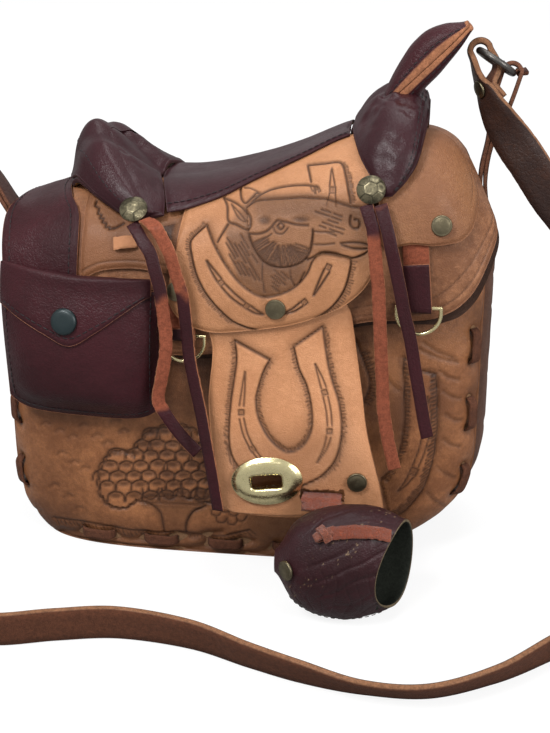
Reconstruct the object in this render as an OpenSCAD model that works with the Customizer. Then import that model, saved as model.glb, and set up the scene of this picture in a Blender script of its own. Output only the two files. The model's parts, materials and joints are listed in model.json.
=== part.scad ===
// Leather crossbody purse made as a small western saddle.
// The saddle is the flap of the bag and turns on a leather hinge along the back of the mouth.
// X runs from the cantle to the horn, the front faces -Y, and the base stands on the XY plane.

/* [Bag body] */
// Half of the width of the bag
bag_half_w = 120; // [110:1:130]
// Half of the depth of the bag
bag_half_d = 48; // [44:0.5:50]
// Height of the mouth of the bag
mouth_h = 155; // [148:1:156]
// Thickness of the tooled leather
hide_t = 2.2; // [1.6:0.1:2.4]
// Width of the lace that joins the panels
lace_w = 5; // [3:0.5:7]
// Thickness of the lace
lace_t = 1.2; // [0.8:0.1:1.6]
// Length of one stitch of lace
lace_stitch = 16; // [10:1:18]
// How far the gusset bulges out between the panels
gusset_bow = 3; // [1:0.5:4]

/* [Saddle flap] */
// Height of the low ends of the saddle's ridge
ridge_low_h = 172; // [168:1:180]
// How far the ridge climbs towards the horn
ridge_rise = 36.5; // [30:0.5:40]
// How far the flap stands forward of the ridge
front_reach = 50; // [49.5:0.5:56]
// How far the flap's shoulder drops before it hangs straight
shoulder_drop = 75; // [65:1:85]
// How far the hinge of the flap lies behind the ridge
back_reach = 38; // [37:0.5:40]
// Height of the hinge of the flap
hinge_h = 150; // [148:0.5:152]
// Thickness of the lining under the skirt
lining_t = 1.5; // [1:0.1:1.6]
// How far the fender stands off at its lower end
fender_bow = 12.5; // [11:0.5:16]

/* [Seat, cantle and horn] */
// Padding of the seat at its crown
seat_pad = 3; // [2:0.5:5]
// Height of the cantle over the ridge
cantle_rise = 24; // [18:1:30]
// How far the top of the cantle leans back
cantle_lean = 7; // [3:0.5:10]
// Height of the pommel over the ridge
pommel_rise = 15; // [14:1:24]
// Length of the horn
horn_l = 48; // [35:1:60]
// Width of the horn at its root
horn_w = 20; // [14:1:24]
// Slope of the horn over the level
horn_slope = 44.5; // [35:0.5:60]

/* [Saddlebag] */
// Height of the pouch's mouth
pouch_mouth_h = 142.5; // [138:0.5:144]
// Height of the pouch from its bottom seam to its mouth
pouch_h = 64; // [56:1:68]
// Fall of the point of the pouch's flap below the mouth
lid_fall = 23.5; // [18:0.5:28]
// Half of the width of the pouch
pouch_half_w = 39; // [34:0.5:40]
// Depth of the pouch at its fullest
pouch_full = 13; // [8:0.5:18]
// Thickness of the garment leather
soft_t = 1.5; // [1:0.1:1.6]
// Radius of the snap's cap
snap_r = 6.3; // [4:0.1:8]

/* [Metal] */
// Wire radius of the dee rings
dee_wire_r = 0.9; // [0.7:0.1:1.2]
// Radius of the bow of a dee ring
dee_r = 10; // [9:0.1:12]
// Wire radius of the strap rings
ring_wire_r = 1.6; // [1.2:0.1:2]
// Radius of a strap ring to the middle of its wire
ring_r = 9.2; // [8.6:0.1:12]
// Radius of the conchos
concho_r = 6.4; // [4:0.1:8]
// Height of a concho's dome
concho_h = 3.6; // [2:0.1:5]
// Radius of the rivet caps
rivet_r = 4.7; // [3:0.1:6]
// Half length of the oval turn lock plate
plate_half_l = 17; // [15:0.5:19]
// Half height of the oval turn lock plate
plate_half_h = 12; // [10:0.5:13]
// Half length of the slot in the plate
slot_half_l = 8; // [7:0.5:9]
// Half height of the slot in the plate
slot_half_h = 4; // [3.6:0.1:4.4]

/* [Stirrup] */
// Length of the stirrup hood from its nose to its rim
hood_l = 58; // [50:1:64]
// Half height of the hood's mouth
hood_half_h = 28.5; // [24:0.5:29]
// Half depth of the hood's mouth
hood_half_d = 20; // [16:0.5:21]

/* [Shoulder strap] */
// Width of the shoulder strap
strap_w = 19; // [15:0.5:20]
// Thickness of the shoulder strap
strap_t = 2.8; // [2:0.1:3.2]
// Width of a saddle string
string_w = 6; // [4:0.5:7]
// Thickness of a saddle string
string_t = 1.4; // [1:0.1:1.6]

/* [Hidden] */
$fn = 48;

// Gap between layers of leather that lie on each other
lay_gap = 0.3;
// Overrun of cuts
cut = 1;

tan_hide = [0.72, 0.47, 0.30];
edge_hide = [0.50, 0.28, 0.17];
wine_hide = [0.27, 0.13, 0.16];
suede = [0.60, 0.28, 0.18];
old_brass = [0.42, 0.39, 0.30];
bright_brass = [0.80, 0.72, 0.45];
dark_steel = [0.30, 0.30, 0.30];
dark_enamel = [0.10, 0.17, 0.17];

// Rounding of the bag's lower corners, as shares of its half width
left_round_share = 0.12;
right_round_share = 0.45;
right_width_share = 0.98;
// Heights over which those corners round off
left_round_h = 60;
right_round_h = 75;
// Fall of the bag's depth away from its fullest height
full_h = 50;
// Powers of the rounding of the two ends towards the base and of the bag's plan
left_round_power = 4;
right_round_power = 3.5;
plan_power = 4;
depth_fall_share = 0.63;
// Turn from the X axis at which the panels end and the gusset begins
seam_turn = 31;

// Heights of the ridge as shares of its rise, in even steps from the cantle end to the horn end
ridge_share = [-0.3, -0.05, 0.17, 0.16, 0.17, 0.3, 0.54, 0.84, 1.0, 0.85, 0];
// Heights in the same steps from which the place is worked out where the front hangs straight
shoulder_share = [0, 0.16, 0.24, 0.23, 0.24, 0.36, 0.57, 0.85, 1.0, 0.85, 0];
// Fall of the front reach at the ends of the flap
plan_fall_share = 0.2;
// Drop of the hanging part for one unit of the drape
hang_rate = 1.2 * shoulder_drop;

function lerp(a, b, f) = a + (b - a) * f;
function unit(v) = v / norm(v);
function smooth(f) = let (g = min(max(f, 0), 1)) g * g * (3 - 2 * g);

// Smooth curve through the points p, at u from 0 to 1
function spline(p, u) =
    let (
        n = len(p) - 1,
        k = min(floor(u * n), n - 1),
        f = u * n - k,
        a = p[max(k - 1, 0)],
        b = p[k],
        c = p[k + 1],
        d = p[min(k + 2, n)]
    )
    0.5 * (2 * b + (c - a) * f + (2 * a - 5 * b + 4 * c - d) * f * f
        + (3 * b - a - 3 * c + d) * f * f * f);

// Six times the volume inside a list of triangles
function volume6(pts, faces, i = 0) =
    i >= len(faces) ? 0
    : pts[faces[i][0]] * cross(pts[faces[i][1]], pts[faces[i][2]]) + volume6(pts, faces, i + 1);

// Closed mesh whose faces are turned outwards, whichever way they were listed
module closed_mesh(pts, faces) {
    inside_out = volume6(pts, faces) > 0;
    polyhedron(pts, inside_out ? [for (f = faces) [f[2], f[1], f[0]]] : faces);
}

// Closed wall between two grids of points of the same counts
module wall(top, low) {
    m = len(top) - 1;
    n = len(top[0]) - 1;
    w = n + 1;
    s = (m + 1) * w;
    skin = [
        for (i = [0:m - 1]) for (j = [0:n - 1])
            let (a = i * w + j, b = a + 1, c = a + w, d = c + 1)
            each [[a, b, c], [b, d, c], [s + a, s + c, s + b], [s + b, s + c, s + d]]
    ];
    rim_i = [
        for (i = [0:m - 1]) for (j = [0, n])
            let (a = i * w + j, c = a + w)
            each j == 0 ? [[a, c, s + a], [c, s + c, s + a]] : [[a, s + a, c], [c, s + a, s + c]]
    ];
    rim_j = [
        for (j = [0:n - 1]) for (i = [0, m])
            let (a = i * w + j, b = a + 1)
            each i == 0 ? [[a, s + a, b], [b, s + a, s + b]] : [[a, b, s + a], [b, s + b, s + a]]
    ];
    closed_mesh(concat([for (r = top) each r], [for (r = low) each r]), concat(skin, rim_i, rim_j));
}

// Solid carried through a list of rings of points of the same count
module loft(rings) {
    m = len(rings) - 1;
    n = len(rings[0]);
    side = [
        for (i = [0:m - 1]) for (j = [0:n - 1])
            let (k = (j + 1) % n, a = i * n + j, b = i * n + k, c = a + n, d = b + n)
            each [[a, b, c], [b, d, c]]
    ];
    cap_a = [for (j = [1:n - 2]) [0, j + 1, j]];
    cap_b = [for (j = [1:n - 2]) [m * n, m * n + j, m * n + j + 1]];
    closed_mesh([for (r = rings) each r], concat(side, cap_a, cap_b));
}

// Section of a band of leather, with its corners taken off
band_side_share = [[1, 0.6], [0.97, 1], [-0.97, 1], [-1, 0.6]];
band_share = concat(band_side_share, -band_side_share);

// Flat band along a path: mids are its points, wides the directions of its width, and w is its width
// or a list of its widths
module band(mids, wides, w, t) {
    n = len(mids) - 1;
    loft([
        for (i = [0:n])
            let (
                along = unit(mids[min(i + 1, n)] - mids[max(i - 1, 0)]),
                wide = unit(wides[i] - (wides[i] * along) * along),
                up = cross(along, wide),
                half_w = (is_list(w) ? w[i] : w) / 2
            )
            [for (c = band_share) mids[i] + wide * c[0] * half_w + up * c[1] * t / 2]
    ]);
}

// Unit superellipse of power p in the direction of the angle a, as [cosine, sine]
function oval(a, p) =
    let (r = pow(pow(abs(cos(a)), p) + pow(abs(sin(a)), p), -1 / p)) [r * cos(a), r * sin(a)];

// Half width of the bag at height z, on the side of the sign of side
function bag_w(z, side) =
    side < 0
    ? bag_half_w * (1 - left_round_share * pow(1 - min(z / left_round_h, 1), left_round_power))
    : bag_half_w * right_width_share
        * (1 - right_round_share * pow(1 - min(z / right_round_h, 1), right_round_power));

// Half depth of the bag at height z
function bag_d(z) = bag_half_d * (1 - depth_fall_share * pow((z - full_h) / mouth_h, 2));

// Point of the bag's wall at the angle a and the height z, off outwards
function bag_pt(a, z, off = 0) =
    let (
        q = oval(a, plan_power),
        w = bag_w(z, q[0]),
        d = bag_d(z),
        n = unit([pow(q[0], plan_power - 1) / w, pow(q[1], plan_power - 1) / d])
    )
    [w * q[0] + off * n[0], d * q[1] + off * n[1], z];

// Depth of the bag's front face at the place x and the height z
function bag_y(x, z) =
    let (q = min(abs(x) / bag_w(z, x), 1)) bag_d(z) * pow(1 - pow(q, plan_power), 1 / plan_power);

// Height on the flap at the share xs of the bag's half width, from a table of heights
function rise_z(shares, xs) =
    ridge_low_h + ridge_rise * spline(shares, (min(max(xs, -1), 1) + 1) / 2);

function ridge_z(xs) = rise_z(ridge_share, xs);

function shoulder_z(xs) = rise_z(shoulder_share, xs) - shoulder_drop;

// Powers of the flap's section before and behind the ridge
front_power = 3;
back_power = 2;

// Point of the saddle's drape. xs runs from -1 at the cantle end to 1 at the horn end. t is -1 at the
// hinge, 0 on the ridge, 1 where the front hangs straight, and more below. off lifts it off the drape.
function drape(xs, t, off = 0) =
    let (
        p = t < 0 ? back_power : front_power,
        q = oval(90 * (1 - min(abs(t), 1)), p),
        reach = t < 0 ? back_reach : front_reach * (1 - plan_fall_share * pow(abs(xs), 3)),
        drop = ridge_z(xs) - (t < 0 ? hinge_h : shoulder_z(xs)),
        n = unit([pow(q[0], p - 1) / reach, pow(q[1], p - 1) / drop]),
        y = reach * q[0] + off * n[0],
        z = ridge_z(xs) - drop * (1 - q[1]) - max(abs(t) - 1, 0) * hang_rate + off * n[1]
    )
    [xs * bag_half_w, t < 0 ? y : -y, z];

// Value of t at which the front of the drape reaches the height z
function drape_t(xs, z) =
    let (q = 1 - (ridge_z(xs) - z) / (ridge_z(xs) - shoulder_z(xs)))
    q < 0
    ? 1 + (shoulder_z(xs) - z) / hang_rate
    : 1 - atan2(q, pow(1 - pow(q, front_power), 1 / front_power)) / 90;

// Small step along the drape by which its directions are found
near_share = 0.02;

// Outward direction of the drape
function drape_n(xs, t) = unit(drape(xs, t, 1) - drape(xs, t, 0));

// Piece of leather on the drape between two edges of [xs, t] places. low and high are its distances
// from the drape at u along the edges and v across them, reach is the v of its last row, and shift
// moves its places along the flap.
module draped(edge_a, edge_b, m, n, low, high, reach = 1, shift = function (u, v) 0) {
    across = [for (j = [0:n]) j < n ? j / n : reach];
    at = [
        for (i = [0:m]) [
            for (v = across)
                lerp(spline(edge_a, i / m), spline(edge_b, i / m), v) + [shift(i / m, v), 0]
        ]
    ];
    face = function (off)
        [for (i = [0:m]) [for (j = [0:n]) drape(at[i][j][0], at[i][j][1], off(i / m, across[j]))]];
    wall(face(high), face(low));
}

// Frame that lays a small part on a point p with its own Z along the direction n
module seated(p, n) {
    a = atan2(n[1], n[0]);
    b = acos(n[2] / norm(n));
    translate(p) rotate([0, b, a]) children();
}

// Domed cap of radius r and height h on a shank of radius s and length l below it
module stud(r, h, s, l) {
    rim = h / 4;
    rotate_extrude() union() {
        translate([0, -l]) square([s, l + rim]);
        square([r, rim]);
        intersection() {
            translate([0, rim]) square([r, h]);
            scale([1, (h - rim) / r]) translate([0, rim * r / (h - rim)]) circle(r);
        }
    }
}

// Bag body

module front_panel() {
    m = 20;
    n = 8;
    top = [for (i = [0:m]) [for (j = [0:n]) panel_pt(i / m, j / n, 0)]];
    low = [for (i = [0:m]) [for (j = [0:n]) panel_pt(i / m, j / n, -hide_t)]];
    color(tan_hide) wall(top, low);
}

// Point of the front panel: u from the left seam to the right one, v from the base to the mouth
function panel_pt(u, v, off) =
    bag_pt(lerp(-180 + seam_turn, -seam_turn, u), lerp(lay_gap, mouth_h, v), off);

module back_panel() {
    m = 16;
    n = 6;
    at = function (u, v, off) bag_pt(
        lerp(180 - seam_turn, seam_turn, u), lerp(lay_gap, mouth_h, v), off
    );
    top = [for (i = [0:m]) [for (j = [0:n]) at(i / m, j / n, 0)]];
    low = [for (i = [0:m]) [for (j = [0:n]) at(i / m, j / n, -hide_t)]];
    color(tan_hide) wall(top, low);
}

// Depth inside the bag's surface at which the gusset lies, behind the edges of the panels
gusset_in = hide_t + lay_gap;

// Point of the gusset: side is 1 on the right end, v runs across it from front to back
function gusset_pt(side, z, v, off) =
    bag_pt(
        (side > 0 ? 0 : 180) + side * lerp(-seam_turn, seam_turn, v), z,
        off + gusset_bow * sin(180 * v) * smooth(z / full_h)
    );

// Point of the base between the ends of the gusset, at f from the right end to the left one
function base_pt(f, v, in) =
    let (
        a = gusset_pt(1, 0, v, -in),
        b = gusset_pt(-1, 0, v, -in),
        ea = gusset_pt(1, 0, 0, -in),
        eb = gusset_pt(-1, 0, 0, -in),
        x = lerp(a[0], b[0], f),
        ex = lerp(ea[0], eb[0], f),
        swell = (bag_y(ex, 0) - in) / (bag_y(ea[0], 0) - in)
    )
    [x, a[1] * swell, 0];

module gusset() {
    m = 8;
    k = 8;
    n = 6;
    // its rows lie closer together towards the base
    close_power = 1.4;
    rise = function (i) mouth_h * pow(i / m, close_power);
    row = function (side, i, in, lift) [
        for (j = [0:n])
            let (p = gusset_pt(side, rise(i), j / n, -in)) [p[0], p[1], max(p[2], lift)]
    ];
    ring = function (in, lift) concat(
        [for (i = [m:-1:0]) row(1, i, in, lift)],
        [for (i = [1:k - 1]) [for (j = [0:n]) let (p = base_pt(i / k, j / n, in)) [p[0], p[1], lift]]],
        [for (i = [0:m]) row(-1, i, in, lift)]
    );
    color(edge_hide) wall(ring(gusset_in, 0), ring(gusset_in + hide_t, hide_t));
}

// Heights at which the lace shows beside the right and left seams, as shares of the mouth's height
right_lace_share = [0.28, 0.51, 0.73];
left_lace_share = [0.22, 0.45, 0.68];
// Places along the base at which it shows, as shares of the bag's half width
base_lace_share = [-0.6, -0.33, -0.06, 0.21, 0.48];
// Turn inside the seam and height over the base at which the lace runs
lace_turn = 5;
lace_h = 7;

// One stitch of lace that lies on the bag's wall between two [angle, height] places
module lace(a, b) {
    m = 2;
    mids = [
        for (i = [0:m])
            let (q = lerp(a, b, i / m)) bag_pt(q[0], q[1], 2 * lay_gap + lace_t / 2)
    ];
    along = unit(mids[m] - mids[0]);
    out = unit(bag_pt(a[0], a[1], 1) - bag_pt(a[0], a[1], 0));
    band(mids, [for (i = [0:m]) cross(along, out)], lace_w, lace_t);
}

// Row of stitches beside both seams and over the base of the face whose middle is at the angle mid
module lacing(mid) {
    half = lace_stitch / 2;
    side = 90 - seam_turn - lace_turn;
    for (s = [-1, 1]) for (h = (s * mid < 0 ? right_lace_share : left_lace_share) * mouth_h)
        lace([mid + s * side, h - half], [mid + s * side, h + half]);
    for (x = base_lace_share * bag_half_w)
        lace([bag_angle(x - half, mid), lace_h], [bag_angle(x + half, mid), lace_h]);
}

// Angle of the bag's wall at the place x near its base, on the face whose middle is at the angle mid
function bag_angle(x, mid) =
    let (q = x / bag_w(lace_h, x), a = atan2(pow(1 - pow(q, plan_power), 1 / plan_power), q))
    mid < 0 ? -a : a;

module front_lacing() { color(suede) lacing(-90); }

module back_lacing() { color(suede) lacing(90); }

// Leather strip that carries the flap on the back panel
strip_share = 0.74;
strip_h = 18;
strip_t = 1.6;

module hinge_strip() {
    m = 12;
    n = 2;
    top_z = hinge_h - 2 * lay_gap;
    at = function (u, v, off)
        let (
            x = lerp(-1, 1, u) * strip_share * bag_half_w,
            z = lerp(top_z - strip_h, top_z, v),
            y = bag_y(x, min(z, mouth_h)) + lay_gap
        )
        [x, y + off, z];
    top = [for (i = [0:m]) [for (j = [0:n]) at(i / m, j / n, strip_t)]];
    low = [for (i = [0:m]) [for (j = [0:n]) at(i / m, j / n, 0)]];
    color(edge_hide) wall(top, low);
}

// Strap rings and tabs

// How far the loops that hold the rings stand beyond the tabs' feet and over the mouth
tab_out_right = 8;
tab_rise_right = 80.5;
tab_out_left = -34;
tab_rise_left = 40;
// Ways of the tabs to those loops, as shares of how far they go out and up
tab_right_share = [[0, -0.11], [-0.05, 0.13], [-0.3, 0.38], [0, 0.6], [0.5, 0.81], [1, 1]];
tab_left_share = [[0, -0.22], [0, 0.06], [0.17, 0.3], [0.36, 0.56], [0.66, 0.78], [1, 1]];
tab_y = 2;
loop_y = 5;
tab_w = 15;
tab_t = 2;
// Width to which tabs and strap narrow where they pass a ring
loop_w = 7.6;
// How far a ring's wire curves away over that width, and the radius of the hole that leaves it room
ring_sag = ring_r - sqrt(ring_r * ring_r - loop_w * loop_w / 4);
ring_hole_r = ring_wire_r + ring_sag / 2 + 4 * lay_gap;
// Middle of a tab's foot, which is sewn to the inside of the gusset
tab_foot_gap = 1.4;
function tab_foot(side) =
    gusset_pt(side, mouth_h, 0.5, -gusset_in - hide_t - tab_foot_gap - tab_t)[0];

function tab_route(side, shares, out, rise) = [
    for (q = shares)
        [tab_foot(side) + q[0] * out, lerp(tab_y, loop_y, smooth(2 * q[1])), mouth_h + q[1] * rise]
];

tab_route_right = tab_route(1, tab_right_share, tab_out_right, tab_rise_right);
tab_route_left = tab_route(-1, tab_left_share, tab_out_left, tab_rise_left);
// Direction from those loops to the middles of the rings
ring_dir = unit([-0.84, 0, 0.54]);
// Direction in which the loops round the rings are wide
loop_wide = [0, -0.95, 0.3];

// Leather round a wire at p, from one side to the other: away points to the far side of the loop and
// r is the radius of the leather's middle
function loop_pts(p, away, r) =
    let (
        steps = 8,
        out = unit(away - (away * unit(loop_wide)) * unit(loop_wide)),
        side = unit(cross(loop_wide, out))
    )
    [for (i = [0:steps]) let (a = -90 + 180 * i / steps) p + r * (cos(a) * out + sin(a) * side)];

// Tab of two thicknesses of leather along a route, with a ring's wire in the loop at its end
module tab(route) {
    last = len(route) - 1;
    p = route[last];
    away = p - route[last - 1];
    // the legs lie on each other and open towards the loop
    leg_share = 0.9;
    spread = function (i) i == last - 1 ? leg_share * loop_r : tab_t / 2 + lay_gap / 2;
    width = function (i) lerp(tab_w, loop_w, smooth(2 * i / last - 1));
    wide = function (i) lerp([0, -1, 0], unit(loop_wide), smooth(i / last));
    side = function (i) unit(cross(wide(i), route[i + 1] - route[i]));
    up = [for (i = [0:last - 1]) route[i] - spread(i) * side(i)];
    down = [for (i = [last - 1:-1:0]) route[i] + spread(i) * side(i)];
    bend = loop_pts(p, away, loop_r);
    band(
        concat(up, bend, down),
        concat(
            [for (i = [0:last - 1]) wide(i)],
            [for (q = bend) loop_wide],
            [for (i = [last - 1:-1:0]) wide(i)]
        ),
        concat(
            [for (i = [0:last - 1]) width(i)],
            [for (q = bend) loop_w],
            [for (i = [last - 1:-1:0]) width(i)]
        ),
        tab_t
    );
}

// Radius of the middle of a tab's leather round the wire
loop_r = ring_hole_r + tab_t / 2;
loop_right = tab_route_right[len(tab_route_right) - 1];
loop_left = tab_route_left[len(tab_route_left) - 1];

module strap_tab_right() { color(edge_hide) tab(tab_route_right); }

module strap_tab_left() { color(edge_hide) tab(tab_route_left); }

// Middle of a ring's wire in the loop of a tab at p
function wire_at(p) = p - ring_sag / 2 * ring_dir;

module strap_ring(p) {
    seated(wire_at(p) + ring_r * ring_dir, cross(ring_dir, unit(loop_wide)))
        rotate_extrude() translate([ring_r, 0]) circle(ring_wire_r, $fn = 24);
}

module strap_ring_right() { color(dark_steel) strap_ring(loop_right); }

module strap_ring_left() { color(dark_steel) strap_ring(loop_left); }

// Shoulder strap: it loops over the right ring, lies on its edge in front of the bag and comes back
// up to the left ring. Each row is a place of its middle, then the direction of its width.
strap_route = [
    [[103, 2, 240.5], [0.1, -0.9, 0.3]],
    [[105, 0.5, 235], [0.2, -0.9, 0.3]],
    [[108, -1, 229.5], [0.4, -0.8, 0.4]],
    [[111.5, -5.6, 223.6], [0.6, -0.6, 0.5]],
    [[115, -7.5, 218.5], [0.7, -0.4, 0.5]],
    [[119, -8, 212.5], [0.8, -0.3, 0.5]],
    [[124, -10, 206], [0.8, -0.2, 0.6]],
    [[131, -14, 197.5], [0.8, -0.2, 0.6]],
    [[140.5, -18, 184.5], [0.8, -0.2, 0.6]],
    [[154, -22, 169], [0.8, -0.2, 0.6]],
    [[168, -27, 150], [0.8, -0.2, 0.5]],
    [[182, -34, 125], [0.9, -0.2, 0.4]],
    [[193, -44, 98], [0.9, -0.3, 0.4]],
    [[199, -56, 72], [0.8, -0.4, 0.5]],
    [[199, -68, 48], [0.6, -0.5, 0.7]],
    [[192, -80, 29], [0.4, -0.4, 0.9]],
    [[181, -92, 16], [0.2, -0.3, 0.9]],
    [[167, -105, 10.5], [0.1, -0.3, 1]],
    [[150, -120, 9.8], [0, -0.4, 0.9]],
    [[126, -141, 9], [0, -0.6, 0.8]],
    [[98, -156, 8.5], [0, -0.7, 0.8]],
    [[70, -157, 8.5], [0, -0.7, 0.8]],
    [[42, -150, 9], [0, -0.5, 0.9]],
    [[18, -141, 9.5], [0, -0.4, 0.9]],
    [[-10, -129, 9.8], [0, -0.3, 1]],
    [[-44, -124, 9.8], [0, -0.2, 1]],
    [[-72, -129, 9.8], [0, -0.2, 1]],
    [[-98, -136, 9.8], [0, -0.2, 1]],
    [[-130, -137, 9.8], [0, -0.2, 1]],
    [[-160, -124, 11], [0, -0.2, 1]],
    [[-182, -101, 19], [-0.2, -0.2, 0.9]],
    [[-195, -73, 42], [-0.4, -0.3, 0.8]],
    [[-200, -48, 76], [-0.5, -0.5, 0.6]],
    [[-196, -26, 114], [-0.4, -0.7, 0.6]],
    [[-187, -11, 148], [-0.2, -0.8, 0.6]],
    [[-179, -3, 172], [-0.1, -0.8, 0.6]],
    [[-174.5, 1, 185], [-0.1, -0.8, 0.6]],
    [[-171, 3.5, 197], [0, -0.7, 0.7]]
];
strap_rows = len(strap_route) - 1;
// Places of the two loops between which that route lies, and how many of its rows go along with a loop
// that is moved
route_right = [120.5, 5, 235.5];
route_left = [-148.9, 5, 195];
moved_rows = 14;
// Radius of the middle of the strap's leather round the wire, and how far the middles of the loops of a
// tab and the strap lie apart on a ring
strap_loop_r = ring_hole_r + strap_t / 2;
loops_apart = 2 * ring_r - ring_sag;
// Distance of the short end from the long part beside a loop, as a share of the loop's radius
strap_open_share = 2.1;
// Widths of the strap from its loop on, as shares of its full width
strap_narrow_share = [0.4, 0.54, 0.68, 0.78, 0.88, 0.95];

function strap_wide(i) =
    let (k = min(i, strap_rows - i)) strap_w * (k < len(strap_narrow_share) ? strap_narrow_share[k] : 1);

// Middle of the strap at row i, lifted where it would reach below the surface it lies on
function strap_at(i) =
    let (
        right = smooth(1 - i / moved_rows) * (loop_right - route_right),
        left = smooth(1 - (strap_rows - i) / moved_rows) * (loop_left - route_left),
        p = strap_route[i][0] + right + left,
        w = unit(strap_route[i][1])
    )
    [
        p[0], p[1],
        max(p[2], lay_gap + strap_w / 2 * w[2] + strap_t / 2 * sqrt(1 - w[2] * w[2]))
    ];

// Direction through the strap at row i, towards its short end at the right ring
function strap_up(i) =
    let (along = strap_at(min(i + 1, strap_rows)) - strap_at(max(i - 1, 0)))
    unit(cross(strap_route[i][1], along));

module shoulder_strap() {
    n = strap_rows;
    right = loop_pts(loop_right + loops_apart * ring_dir, [-0.2, 0, 1], strap_loop_r);
    left = loop_pts(loop_left + loops_apart * ring_dir, [0, 0, 1], strap_loop_r);
    k = len(right) - 1;
    // rows beside which the short ends lie, and their distances from the long part
    near = [1, 2, 3];
    apart = [strap_open_share * strap_loop_r, strap_t + lay_gap, strap_t + lay_gap];
    color(edge_hide) band(
        concat(
            [for (i = [2:-1:0]) strap_at(near[i]) + apart[i] * strap_up(near[i])],
            right,
            [for (i = [0:n]) strap_at(i)],
            [for (i = [k:-1:0]) left[i]],
            [for (i = [0:2]) strap_at(n - near[i]) - apart[i] * strap_up(n - near[i])]
        ),
        concat(
            [for (i = [2:-1:0]) strap_route[near[i]][1]],
            [for (q = right) loop_wide],
            [for (r = strap_route) r[1]],
            [for (q = left) loop_wide],
            [for (i = near) strap_route[n - i][1]]
        ),
        concat(
            [for (i = [2:-1:0]) strap_wide(near[i])],
            [for (q = right) strap_wide(0)],
            [for (i = [0:n]) strap_wide(i)],
            [for (q = left) strap_wide(0)],
            [for (i = near) strap_wide(i)]
        ),
        strap_t
    );
}

strap_rivet_r = 4;
strap_rivet_h = 1.6;

// Rivets through both thicknesses of the strap below its rings
module strap_rivets() {
    shank_l = 2 * (strap_t + lay_gap);
    for (q = [[2, -1], [strap_rows - 2, 1]]) {
        out = q[1] * strap_up(q[0]);
        color(old_brass) seated(strap_at(q[0]) + (strap_t / 2 + lay_gap) * out, out)
            stud(strap_rivet_r, strap_rivet_h, strap_rivet_r / 3, shank_l);
    }
}

// Turn lock: base and knob on the front panel, plate on the fender

lock_x = 16.6;
// Height of the knob and of the plate's slot: the slot hangs higher until the flap is drawn down
knob_z = 38;
slot_z = 55.2;
lock_base_half_l = 11;
lock_base_half_h = 5;
lock_base_t = 1.5;
knob_shaft_r = 1.5;
knob_run = 0.05;
knob_boss_r = 3.2;
knob_boss_h = 1.6;
knob_half_l = 6.5;
knob_half_h = 2;
knob_t = 3;
knob_neck = 1.5;
lock_y = -bag_y(lock_x, knob_z) - lay_gap;

// Ellipse of the half sizes a and b as a polygon
module ellipse(a, b) { polygon([for (i = [0:47]) [a * cos(i * 7.5), b * sin(i * 7.5)]]); }

module turn_lock_base() {
    color(bright_brass) translate([lock_x, lock_y, knob_z]) rotate([90, 0, 0]) difference() {
        union() {
            linear_extrude(lock_base_t) ellipse(lock_base_half_l, lock_base_half_h);
            cylinder(r = knob_boss_r, h = lock_base_t + knob_boss_h);
        }
        translate([0, 0, -cut])
            cylinder(r = knob_shaft_r + knob_run, h = lock_base_t + knob_boss_h + 2 * cut);
    }
}

module turn_lock_knob() {
    boss_top = lock_base_t + knob_boss_h;
    knob_flat = knob_half_l - knob_half_h;
    color(bright_brass) translate([lock_x, lock_y, knob_z]) rotate([90, 0, 0]) union() {
        cylinder(r = knob_shaft_r, h = boss_top + knob_neck);
        translate([0, 0, boss_top + knob_neck]) linear_extrude(knob_t) {
            square([2 * knob_flat, 2 * knob_half_h], center = true);
            for (s = [-1, 1]) translate([s * knob_flat, 0]) circle(knob_half_h, $fn = 24);
        }
    }
}

// Layers of the flap, from the drape outwards

layer_1 = hide_t + lay_gap;
layer_2 = 2 * layer_1;
seat_base = 3 * layer_1;

// Hinge edge and free edge of the skirt, and how far the lining reaches beyond the free edge
skirt_back_share = [[-0.8, -0.99], [-0.4, -0.99], [0, -0.99], [0.4, -0.99], [0.8, -0.99]];
skirt_front_share = [
    [-0.84, -0.8], [-0.88, -0.4], [-0.91, 0], [-0.93, 0.4], [-0.92, 0.75], [-0.86, 0.92],
    [-0.7, 0.97], [-0.4, 0.95], [-0.14, 0.95], [0.15, 0.97], [0.43, 0.99], [0.68, 1], [0.8, 0.93],
    [0.89, 0.75], [0.955, 0.53], [0.98, 0.36], [0.95, 0.22], [0.875, 0.06], [0.86, -0.1],
    [0.84, -0.4], [0.82, -0.8]
];
lining_reach_share = 1.015;

module skirt(low, high, reach) {
    draped(
        skirt_back_share, skirt_front_share, 28, 14,
        function (u, v) low, function (u, v) high, reach
    );
}

module flap_skirt() { color(tan_hide) skirt(0, hide_t, 1); }

module skirt_lining() { color(edge_hide) skirt(-lining_t - lay_gap, -lay_gap, lining_reach_share); }

module rear_jockey() {
    top_share = [[-0.6, 0.2], [-0.5, 0.22], [-0.38, 0.22], [-0.26, 0.24], [-0.17, 0.28]];
    low_share = [[-0.6, 0.67], [-0.52, 0.63], [-0.4, 0.61], [-0.27, 0.62], [-0.17, 0.63]];
    color(tan_hide) draped(
        top_share, low_share, 10, 5, function (u, v) layer_1, function (u, v) layer_1 + hide_t
    );
}

module front_jockey() {
    inner_share = [[0.535, 0.24], [0.535, 0.38], [0.535, 0.5], [0.54, 0.6], [0.54, 0.7]];
    outer_share = [
        [0.72, 0.1], [0.8, 0.14], [0.86, 0.2], [0.9, 0.3], [0.9, 0.42], [0.88, 0.53], [0.83, 0.63],
        [0.75, 0.69], [0.66, 0.7], [0.6, 0.71]
    ];
    // its lower part rides over the strap of the front dee ring
    lift = function (u, v) layer_1 + (soft_t + 2 * lay_gap) * smooth((u - 0.35) / 0.25);
    color(tan_hide) draped(inner_share, outer_share, 15, 7, lift, function (u, v) lift(u, v) + hide_t);
}

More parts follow.
